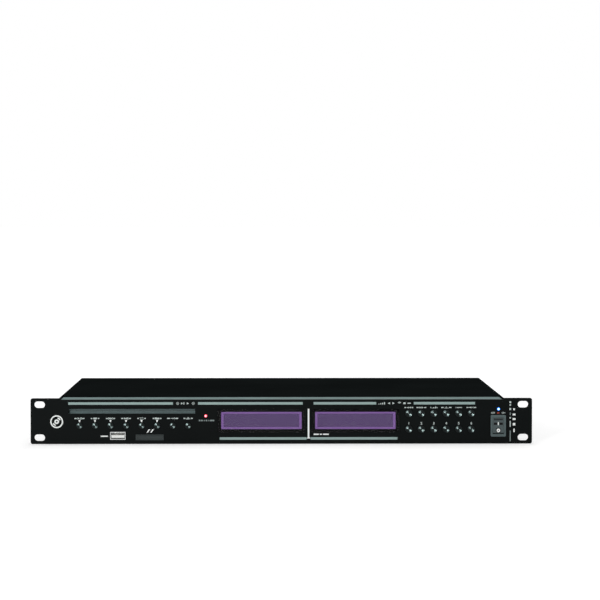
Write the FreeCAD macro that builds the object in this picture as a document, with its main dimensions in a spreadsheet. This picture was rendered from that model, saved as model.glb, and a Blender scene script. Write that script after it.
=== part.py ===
import FreeCAD, Part
import math
import os
import re
import Sketcher

from FreeCAD import Placement, Rotation, Vector

# CD player with tuner, one rack unit high, with a slot-in disc mechanism.
# Frame: x to the right, y to the rear, z up, all in millimetres.
# Heights are measured from the surface the unit stands on, which is also the panel's lower edge.
# Depths are measured from the panel's face. The last step moves every piece by face_y, so that
# the origin lies under the middle of the whole unit.

# Driving sizes: name, value in millimetres (or a count or degrees), meaning.
SIZES = [
    ("panel_width", 482.6, "front panel over both ears, the 19 inch rack width"),
    ("panel_height", 44.0, "height of the ears, one rack unit less its play"),
    ("panel_thick", 3.0, "aluminium of the front panel"),
    ("panel_corner", 2.0, "radius of the panel's four corners"),
    ("panel_bevel", 0.4, "bevel round the panel's face"),
    ("notch_drop", 1.3, "how far the top edge between the ears lies below the ears"),
    ("notch_inset", 0.5, "from the side of the case to the end of the lowered edge"),
    ("rack_slot_inset", 8.75, "middle of a rack slot from the panel's end"),
    ("rack_slot_margin", 6.125, "middle of a rack slot from the panel's edge"),
    ("rack_slot_length", 10.2, "rack slot, end to end"),
    ("rack_slot_width", 6.4, "rack slot, height"),

    ("sheet", 1.0, "steel sheet of the case"),
    ("ear_width", 26.8, "panel beyond the case, each side"),
    ("case_depth", 280.0, "panel face to the back of the rear panel"),
    ("pad_height", 1.0, "rubber pad under the floor"),
    ("pad_radius", 7.0, "rubber pad"),
    ("pad_inset", 34.0, "pad centre from the case's sides"),
    ("pad_setback", 30.0, "pad centre from the case's front and back"),
    ("cover_front", 30.0, "depth at which the cover's top begins"),
    ("cover_lip", 13.7, "height of the cover's side lips"),
    ("cover_rear_lip", 8.0, "height of the cover's rear tabs"),
    ("cover_rear_tab", 20.0, "width of the cover's rear tabs"),
    ("frame_under_cover", 1.0, "front frame's top flange under the cover"),
    ("frame_low_flange", 14.0, "depth to the end of the front frame's lower flange"),
    ("frame_ease", 0.3, "how much wider the frame's openings are than the panel's, each side"),
    ("fit_gap", 0.2, "clearance of a piece that drops into an opening"),
    ("seat_gap", 0.1, "clearance under the flange of a button at rest"),
    ("run_gap", 0.05, "radial clearance of a shaft in its bearing"),

    ("vent_count", 12, "vent slots in a row, each side"),
    ("vent_pitch", 7.0, "vent slots, front to back"),
    ("vent_width", 3.0, "vent slot, front to back"),
    ("vent_height", 16.0, "vent slot, low to high"),
    ("vent_from_rear", 103.0, "first vent slot in front of the rear panel"),
    ("vent_low", 8.0, "height of the vent slots' lower end"),

    ("screw_radius", 1.5, "case screw thread"),
    ("screw_ease", 0.15, "radial clearance of a screw in its hole"),
    ("screw_head_radius", 2.8, "case screw head"),
    ("screw_head_height", 1.7, "case screw head"),
    ("screw_low_head", 0.8, "flat head of a floor screw"),
    ("screw_end", 0.3, "how far a screw's end stands out of the sheet it holds"),
    ("side_screw_first", 50.0, "depth of the first cover screw"),
    ("side_screw_last", 40.0, "last cover screw from the back of the rear panel"),
    ("side_screw_drop", 6.7, "cover screw below the cover's top"),
    ("flange_screw_z", 12.0, "height of the rear panel's side screw"),
    ("rear_flange", 13.0, "side flange of the rear panel, front to back"),
    ("rear_screw_pitch", 125.0, "screws in the cover's rear lip"),
    ("floor_screw_y", 9.0, "depth of the floor screws"),
    ("floor_screw_inset", 22.5, "outer floor screws from the walls"),
    ("floor_screw_inner", 60.0, "inner floor screws, from the middle"),

    ("stud_radius", 1.25, "welded stud on the back of the panel"),
    ("stud_length", 4.0, "stud, from the back of the panel"),
    ("nut_radius", 2.85, "nut over its corners"),
    ("nut_height", 2.0, "nut"),
    ("stud_from_button", 11.7, "stud beside the end of a row of buttons"),
    ("stud_drop", 0.7, "left stud below the CD buttons' middle"),
    ("stud_from_guide", 6.0, "stud beside the slot guide"),
    ("stud_over_slot", 5.0, "stud above the disc slot's middle"),
    ("stud_from_edge", 4.0, "stud above the control board's lower edge"),
    ("stud_over_window", 5.1, "stud above the windows"),
    ("stud_from_row", 6.6, "stud above the tuner's upper row"),
    ("post_radius", 1.8, "post that carries the control board"),
    ("post_over_stud", 6.5, "left post above the left stud"),
    ("post_from_edge", 2.0, "post from the control board's edges"),

    ("disc_slot_inset", 7.55, "disc slot from the left wall's inner face"),
    ("disc_slot_drop", 11.2, "middle of the disc slot below the panel's top edge"),
    ("disc_slot_width", 121.7, "disc slot"),
    ("disc_slot_height", 5.0, "disc slot"),
    ("guide_margin", 5.0, "slot guide beyond the slot's ends"),
    ("guide_wall", 2.4, "slot guide above and below the slot"),
    ("guide_depth", 6.0, "slot guide, front to back"),
    ("guide_lip", 1.2, "front wall of the slot guide, before the felt"),
    ("guide_step", 1.6, "felt pocket beyond the slot, above, below and at the ends"),
    ("felt_thick", 1.8, "felt lip, front to back"),
    ("felt_slit", 0.2, "slit between the two felt lips"),

    ("display_height", 17.3, "lit field of a display"),
    ("display_drop", 20.45, "middle of both displays below the panel's top edge"),
    ("display_border", 2.5, "black border of the window, each side"),
    ("window_led_gap", 11.4, "CD window from the disc indicator"),
    ("window_button_gap", 9.3, "tuner window from the first tuner button"),
    ("window_gap", 6.2, "between the two windows"),
    ("window_recess", 0.15, "window face behind the panel face"),
    ("window_rim", 1.0, "rim that holds the window behind the panel, each side"),
    ("window_rim_thick", 0.8, "rim of the window"),
    ("module_margin", 2.0, "display module beyond the black border, each side"),
    ("module_low_margin", 0.8, "display module beyond the black border, above and below"),
    ("module_gap", 0.8, "display module behind the window's rim"),
    ("glass_thick", 1.1, "glass of the display module"),

    ("board_front", 12.0, "depth of the control board's face"),
    ("board_thick", 1.6, "circuit boards"),
    ("board_side_gap", 2.5, "control board from the left wall"),
    ("board_beyond_stud", 2.7, "control board beyond the last stud, under its tab"),
    ("board_wall_gap", 1.0, "boards from the right wall"),
    ("board_low", 4.5, "lower edge of the control board"),
    ("board_drop", 2.7, "upper edge of the control board below the panel's top edge"),
    ("board_step_gap", 9.5, "step of the lower edge beside the card slot"),
    ("board_over_usb", 1.6, "lower edge over the USB and card sockets"),
    ("board_slot_ease", 0.4, "control board below and beside the slot guide"),
    ("board_tab_drop", 13.2, "lower edge of the tab below the panel's top edge"),

    ("cd_button_count", 8, "buttons of the CD part"),
    ("cd_button_inset", 10.65, "first CD button from the slot's left end"),
    ("cd_button_drop", 2.7, "CD buttons below the middle between slot and USB socket"),
    ("cd_button_pitch", 14.91, "buttons of the CD part"),
    ("cd_button_radius", 2.95, "cap of a CD button"),
    ("tuner_button_count", 6, "buttons in each tuner row"),
    ("tuner_switch_gap", 26.0, "last column of tuner buttons from the power switch"),
    ("tuner_button_pitch", 12.02, "columns of tuner buttons"),
    ("tuner_button_drop", 13.4, "upper row of tuner buttons below the panel's top edge"),
    ("tuner_row_pitch", 15.2, "rows of tuner buttons"),
    ("tuner_button_radius", 3.45, "cap of a tuner button"),
    ("button_proud", 1.4, "button face in front of the panel"),
    ("button_dish", 0.35, "hollow in the button's face"),
    ("button_rim", 0.55, "flat rim round the hollow"),
    ("button_bevel", 0.3, "bevel round the button's face"),
    ("button_flange", 0.9, "collar behind the frame, beyond the cap"),
    ("button_flange_thick", 1.0, "collar behind the frame"),
    ("stem_radius", 1.5, "stem of a button"),
    ("stem_entry", 1.5, "stem inside its key switch at rest"),
    ("button_travel", 0.6, "travel of a button"),
    ("key_switch_side", 6.2, "key switch, square"),
    ("key_switch_height", 3.5, "key switch in front of the board"),

    ("disc_led_gap", 10.25, "disc indicator beside the slot's right end"),
    ("disc_led_drop", 4.5, "disc indicator below the slot's middle"),
    ("power_led_offset", 0.3, "power indicator beside the switch's middle"),
    ("power_led_drop", 9.3, "power indicator below the panel's top edge"),
    ("led_radius", 1.4, "indicator"),
    ("led_proud", 0.3, "straight part of the indicator in front of the panel"),
    ("led_collar", 0.4, "collar of the indicator, beyond its radius"),
    ("led_collar_back", 1.4, "back of the collar, behind the frame"),
    ("led_wire", 0.25, "wire of the indicator"),

    ("usb_inset", 47.4, "USB socket from the slot's left end"),
    ("usb_z", 7.9, "USB socket"),
    ("usb_width", 15.0, "USB opening in the panel"),
    ("usb_height", 7.8, "USB opening in the panel"),
    ("usb_recess", 0.3, "USB shell behind the panel face"),
    ("usb_length", 18.0, "USB shell, front to back"),
    ("usb_wall", 0.45, "sheet of the USB shell"),
    ("usb_tongue_margin", 1.3, "USB tongue from the opening's ends"),
    ("usb_tongue_room", 4.0, "opening above the USB tongue"),
    ("usb_tongue_lift", 1.2, "USB tongue above the shell's floor"),
    ("usb_tongue_recess", 1.6, "USB tongue behind the panel face"),
    ("usb_foot", 4.0, "foot of the USB shell, front to back"),

    ("card_pitch", 30.6, "memory card slot from the USB socket"),
    ("card_z", 6.35, "memory card slot"),
    ("card_width", 26.9, "card opening in the panel"),
    ("card_height", 5.7, "card opening in the panel"),
    ("card_ease", 0.1, "card bezel in its opening, each side"),
    ("card_proud", 0.2, "card bezel in front of the panel"),
    ("card_slit_margin", 1.15, "slit from the ends of the card opening"),
    ("card_slit_wall", 1.05, "slit from the edges of the card opening"),
    ("card_throat", 14.2, "depth of the card bezel's back"),
    ("flap_thick", 0.9, "dust flap"),
    ("flap_recess", 0.4, "dust flap behind the panel face"),
    ("flap_gap", 0.1, "dust flap in its slit"),
    ("flap_pin", 0.4, "hinge pin of the dust flap, radius"),
    ("flap_pin_length", 0.8, "hinge pin beyond the flap"),
    ("reader_length", 30.0, "card reader behind its bezel"),
    ("reader_height", 4.0, "card reader"),
    ("reader_wall", 0.8, "walls of the card reader"),
    ("media_margin", 5.0, "board of the USB and card sockets beyond the card reader"),

    ("switch_inset", 3.9, "power switch from the right wall's inner face"),
    ("switch_drop", 4.7, "power switch below the panel's middle"),
    ("switch_bezel_width", 14.6, "bezel of the power switch"),
    ("switch_bezel_height", 20.8, "bezel of the power switch"),
    ("switch_bezel_proud", 1.6, "bezel in front of the panel"),
    ("switch_bezel_corner", 1.2, "corner radius of the bezel"),
    ("switch_bezel_lip", 1.0, "bezel beyond the housing, each side"),
    ("switch_body_step", 0.9, "housing behind the panel, smaller above and below"),
    ("switch_body_depth", 18.0, "depth of the housing's back"),
    ("switch_well_side", 0.85, "side walls of the well"),
    ("switch_well_end", 1.45, "upper and lower walls of the well"),
    ("switch_well_floor", 2.8, "depth of the well's floor"),
    ("switch_pit_wall", 0.8, "side walls of the pit under the rocker's foot"),
    ("switch_pit_height", 9.0, "pit under the rocker's foot"),
    ("switch_pit_room", 3.0, "pit beyond the rocker's foot"),
    ("rocker_side_gap", 0.25, "rocker beside the walls of its well"),
    ("rocker_end_gap", 0.75, "rocker from the ends of its well"),
    ("rocker_middle", 1.3, "middle of the rocker's face in front of the panel"),
    ("rocker_pivot", 1.2, "depth of the rocker's pivot"),
    ("rocker_back", 1.4, "depth of the rocker's back"),
    ("rocker_tilt", 9.0, "tilt each side of level, in degrees"),
    ("rocker_pin", 1.0, "trunnion of the rocker, radius"),
    ("rocker_pin_length", 0.6, "trunnion beyond the rocker's side"),
    ("rocker_draft", 0.3, "how much shorter the rocker's back is, each end"),
    ("rocker_foot_gap", 0.6, "foot beside the walls of its pit"),
    ("rocker_foot_depth", 6.0, "depth of the foot's end"),
    ("rocker_foot_half", 1.2, "foot, half its height"),
    ("blade_width", 4.8, "switch blade"),
    ("blade_thick", 0.8, "switch blade"),
    ("blade_length", 7.0, "switch blade"),
    ("blade_pitch", 10.0, "switch blades, low to high"),

    ("mech_wall_gap", 0.9, "disc mechanism from the left wall"),
    ("mech_usb_gap", 0.7, "disc mechanism behind the USB socket"),
    ("mech_behind", 5.0, "mechanism's base behind the traverse plate"),
    ("mech_below_slot", 23.5, "underside of the mechanism's base below the disc slot"),
    ("mech_drop", 2.9, "underside of the mechanism's top plate below the cover"),
    ("mech_sheet", 1.2, "sheet of the mechanism's base"),
    ("mech_foot_radius", 4.0, "foot of the mechanism"),
    ("mech_foot_inset", 7.5, "foot from the mechanism's side"),
    ("spindle_setback", 76.0, "disc spindle behind the mechanism's front"),
    ("damper_radius", 4.0, "rubber damper"),
    ("damper_height", 3.8, "rubber damper"),
    ("damper_spread", 38.0, "dampers from the middle"),
    ("damper_inset", 8.0, "dampers from the traverse plate's ends"),
    ("traverse_half", 45.0, "traverse plate, half its width"),
    ("traverse_ahead", 21.0, "traverse plate in front of the spindle"),
    ("traverse_behind", 81.0, "traverse plate behind the spindle"),
    ("spindle_motor_radius", 11.0, "spindle motor"),
    ("spindle_motor_height", 7.4, "spindle motor"),
    ("turntable_gap", 0.4, "turntable hub above the motor"),
    ("turntable_hub", 5.0, "turntable hub, radius"),
    ("turntable_hub_height", 2.6, "turntable hub"),
    ("turntable_radius", 14.4, "turntable"),
    ("turntable_thick", 1.8, "turntable"),
    ("cone_low_radius", 7.3, "centring cone, at the disc seat"),
    ("cone_high_radius", 6.2, "centring cone, at its top"),
    ("cone_height", 2.8, "centring cone"),
    ("shaft_radius", 1.0, "thin shafts of the mechanism"),
    ("rod_radius", 1.5, "guide rod and leadscrew"),
    ("rod_spread", 20.0, "guide rods from the middle"),
    ("rod_lift", 9.8, "guide rods and leadscrew above the base"),
    ("rod_post", 3.0, "post that holds a rod's end, front to back"),
    ("rod_post_width", 6.0, "post that holds a rod's end"),
    ("rod_ahead", 10.0, "front posts behind the spindle"),
    ("screw_offset", 27.0, "leadscrew from the middle"),
    ("feed_motor_radius", 4.6, "feed motor"),
    ("feed_motor_length", 17.0, "feed motor"),
    ("pickup_near", 24.0, "lens from the spindle at the disc's first track"),
    ("pickup_travel", 35.0, "travel of the pickup"),
    ("pickup_ahead", 9.0, "pickup in front of its lens"),
    ("pickup_behind", 17.0, "pickup behind its lens"),
    ("pickup_side", 4.0, "pickup beyond its guides, each side"),
    ("pickup_drop", 3.8, "underside of the pickup below its guides"),
    ("pickup_height", 8.3, "pickup block"),
    ("lens_holder_radius", 3.6, "lens holder"),
    ("lens_holder_height", 1.1, "lens holder"),
    ("lens_radius", 2.2, "lens"),
    ("lens_height", 0.6, "lens above its holder"),

    ("clamp_reach", 63.0, "clamp arm's hinge behind the spindle"),
    ("clamp_pivot_drop", 3.6, "clamp arm's hinge below the top plate"),
    ("clamp_barrel", 1.6, "barrel of the clamp arm's hinge, radius"),
    ("clamp_half", 14.0, "clamp arm, half its width"),
    ("clamp_barrel_half", 22.0, "barrel, half its length"),
    ("clamp_arm_drop", 2.9, "underside of the clamp arm below the top plate"),
    ("clamp_arm_ahead", 15.0, "clamp arm in front of the spindle"),
    ("clamp_bracket_gap", 0.3, "clamp bracket beside the barrel"),
    ("clamp_bracket", 1.2, "clamp bracket"),
    ("clamp_ear_half", 3.0, "clamp bracket, half its depth"),
    ("clamp_ear_drop", 2.2, "clamp bracket below the hinge"),
    ("disc_guide_inset", 11.5, "disc guides from the mechanism's sides"),
    ("disc_guide_width", 12.0, "disc guide"),
    ("disc_guide_end", 49.0, "back of the disc guides behind the mechanism's front"),
    ("puck_radius", 13.0, "clamp puck"),
    ("puck_gap", 0.3, "clamp puck below its arm"),
    ("puck_height", 2.6, "clamp puck"),
    ("puck_recess_room", 1.2, "recess of the puck round the centring cone"),
    ("puck_recess", 2.0, "recess over the centring cone"),
    ("puck_neck", 2.5, "neck of the puck, radius"),
    ("puck_head", 4.0, "head that hangs the puck on its arm, radius"),
    ("puck_head_height", 0.6, "head of the puck"),

    ("arm_pivot_setback", 25.0, "roller arm's pivot behind the mechanism's front"),
    ("arm_pivot_lift", 10.8, "roller arm's pivot above the base"),
    ("arm_rise", 22.0, "rise from the pivot to the roller, in degrees"),
    ("arm_inset", 5.5, "roller arm's cheeks from the mechanism's sides"),
    ("arm_sheet", 1.2, "sheet of the roller arm"),
    ("arm_reach", 19.2, "roller from the arm's pivot"),
    ("arm_pivot_wall", 3.0, "cheek round the motor's nose"),
    ("arm_roller_wall", 1.75, "cheek round the roller's shaft"),
    ("arm_bar_ahead", 13.0, "roller arm's bar in front of its pivot"),
    ("arm_bar_drop", 5.5, "top of the roller arm's bar below its pivot"),
    ("arm_bar", 2.5, "roller arm's bar, half its side"),
    ("arm_stub", 2.0, "pivot stub on the base's left wall, radius"),
    ("roller_shaft", 1.25, "shaft of the disc roller, radius"),
    ("roller_thin", 2.6, "rubber of the roller at the middle, radius"),
    ("roller_thick", 3.4, "rubber of the roller at the ends, radius"),
    ("roller_inner", 4.0, "rubber from the middle"),
    ("roller_inset", 11.5, "roller's rubber from the mechanism's sides"),
    ("roller_gap_half", 5.0, "opening for the roller's shaft in the right wall, half its depth"),
    ("roller_gap_drop", 7.5, "opening for the roller's shaft, below it"),
    ("roller_gap_rise", 3.8, "opening for the roller's shaft, above it"),
    ("pulley_gap", 0.7, "pulleys outside the base's wall"),
    ("pulley_rim", 1.5, "rim of a pulley beyond its groove"),
    ("pulley_rim_thick", 0.5, "rim of a pulley"),
    ("motor_pulley", 3.0, "groove of the motor's pulley, radius"),
    ("roller_pulley", 6.0, "groove of the roller's pulley, radius"),
    ("belt_width", 2.0, "drive belt"),
    ("belt_thick", 0.8, "drive belt"),
    ("motor_radius", 7.8, "loading motor"),
    ("motor_length", 20.0, "loading motor"),
    ("motor_nose", 3.0, "nose of the loading motor, the arm's right pivot"),
    ("motor_bracket_gap", 0.5, "motor bracket beside the arm's cheek"),

    ("main_board_gap", 14.6, "main board beside the disc mechanism"),
    ("board_gap", 8.0, "between the main board and the power board"),
    ("main_board_front", 60.0, "main board"),
    ("main_board_rear_gap", 17.0, "main board from the rear panel"),
    ("board_lift", 6.0, "boards above the floor"),
    ("standoff_radius", 2.5, "standoff under a board"),
    ("standoff_inset", 6.0, "standoff from the board's edges"),
    ("power_board_width", 103.5, "power board"),
    ("power_board_length", 106.0, "power board, front to back"),
    ("power_board_rear_gap", 23.0, "power board from the rear panel"),
    ("chip_half", 8.0, "chip, half its side"),
    ("chip_height", 2.0, "chip"),
    ("chip_inset", 35.0, "chips from the main board's sides"),
    ("chip_setback", 70.0, "chips behind the main board's front"),
    ("capacitor_radius", 4.0, "capacitor on the main board"),
    ("capacitor_height", 16.0, "capacitor on the main board"),
    ("capacitor_inset", 64.0, "first capacitor from the main board's left edge"),
    ("capacitor_tuner_gap", 8.0, "capacitors in front of the tuner module"),
    ("capacitor_pitch", 11.0, "capacitors, left to right"),
    ("transformer_x", 30.0, "transformer from the power board's left edge"),
    ("transformer_y", 36.0, "transformer from the power board's front"),
    ("core_width", 48.0, "transformer core"),
    ("core_depth", 20.0, "transformer core"),
    ("core_height", 28.0, "transformer core"),
    ("winding_width", 32.0, "transformer winding"),
    ("winding_depth", 38.0, "transformer winding"),
    ("winding_margin", 4.0, "winding from the core's top and bottom"),
    ("reservoir_radius", 5.5, "capacitor on the power board"),
    ("reservoir_height", 22.0, "capacitor on the power board"),
    ("reservoir_x", 18.0, "first capacitor from the power board's left edge"),
    ("reservoir_y", 72.0, "capacitors from the power board's front"),
    ("reservoir_pitch", 16.0, "capacitors, left to right"),
    ("sink_x", 62.0, "heat sink from the power board's left edge"),
    ("sink_y", 20.0, "heat sink from the power board's front"),
    ("sink_length", 46.0, "heat sink, front to back"),
    ("sink_height", 24.0, "heat sink"),
    ("sink_plate", 2.0, "plate of the heat sink"),
    ("fin_pitch", 6.0, "fins of the heat sink"),
    ("fin_thick", 1.5, "fin"),
    ("fin_length", 10.0, "fin"),
    ("terminal_length", 10.0, "terminal block, front to back"),
    ("terminal_margin", 2.0, "terminal block beyond the wires"),
    ("wire_radius", 1.1, "mains wire to the power switch"),
    ("ribbon_thick", 0.8, "flat cable"),
    ("ribbon_width", 30.0, "flat cable"),
    ("ribbon_inset", 22.0, "flat cable from the main board's left edge"),
    ("ribbon_lift", 5.4, "flat cable above the main board"),
    ("ribbon_landing", 6.0, "end of the flat cable from the main board's front"),

    ("inlet_inset", 46.5, "mains inlet from the power board's right edge"),
    ("inlet_width", 27.2, "body of the mains inlet"),
    ("inlet_lift", 2.9, "inlet's body above the floor"),
    ("inlet_height", 29.2, "body of the mains inlet"),
    ("inlet_depth", 18.0, "body of the inlet in front of the rear panel's back"),
    ("inlet_flange", 1.5, "flange of the inlet beyond its body"),
    ("inlet_flange_thick", 2.0, "flange of the inlet"),
    ("inlet_mouth_width", 24.0, "mouth of the inlet"),
    ("inlet_mouth_lift", 12.3, "lower edge of the mouth above the body's lower face"),
    ("inlet_mouth_height", 15.8, "mouth of the inlet"),
    ("inlet_mouth_depth", 16.0, "depth of the inlet's mouth"),
    ("inlet_pin_spread", 7.0, "outer pins of the inlet from the middle"),
    ("inlet_pin_width", 2.0, "pin of the inlet"),
    ("inlet_pin_height", 4.0, "pin of the inlet"),
    ("inlet_pin_length", 12.0, "pin of the inlet"),
    ("inlet_pin_lift", 6.4, "outer pins above the mouth's lower edge"),
    ("inlet_earth_lift", 4.0, "earth pin above the outer pins"),
    ("drawer_margin", 2.8, "fuse drawer from the sides of the inlet's body"),
    ("drawer_lift", 1.5, "fuse drawer above the body's lower face"),
    ("drawer_height", 8.0, "fuse drawer"),
    ("drawer_length", 15.0, "fuse drawer inside the inlet's flange"),
    ("drawer_proud", 1.2, "fuse drawer behind the flange"),

    ("audio_inset", 35.0, "audio sockets from the main board's left edge"),
    ("audio_pitch", 14.0, "audio sockets, both ways"),
    ("audio_drop", 28.2, "lower audio sockets below the cover"),
    ("audio_shell", 4.15, "audio socket shell, radius"),
    ("audio_bore", 1.6, "audio socket bore, radius"),
    ("audio_collar", 5.2, "plastic collar of an audio socket, radius"),
    ("audio_collar_length", 1.6, "plastic collar behind the rear panel"),
    ("audio_reach", 9.5, "audio socket behind the rear panel"),
    ("audio_block_depth", 15.0, "block that carries the audio sockets"),
    ("audio_block_margin", 8.0, "block beyond the sockets' middles"),
    ("audio_shelf", 3.0, "tongue of the block over the main board's edge"),
    ("audio_shelf_thick", 2.0, "tongue of the block"),
    ("aerial_inset", 30.0, "aerial socket from the main board's right edge"),
    ("aerial_drop", 23.7, "aerial socket below the cover"),
    ("aerial_radius", 4.75, "barrel of the aerial socket"),
    ("aerial_thread", 5.6, "thread of the aerial socket, radius"),
    ("aerial_reach", 10.5, "aerial socket behind the rear panel"),
    ("aerial_nut", 7.4, "nut of the aerial socket over its corners"),
    ("aerial_nut_thick", 2.2, "nut of the aerial socket"),
    ("tuner_module_width", 50.0, "tuner module"),
    ("tuner_module_length", 66.0, "tuner module"),
    ("tuner_module_height", 20.0, "tuner module"),
    ("tuner_module_wall", 0.6, "tin can of the tuner module"),
]

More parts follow.
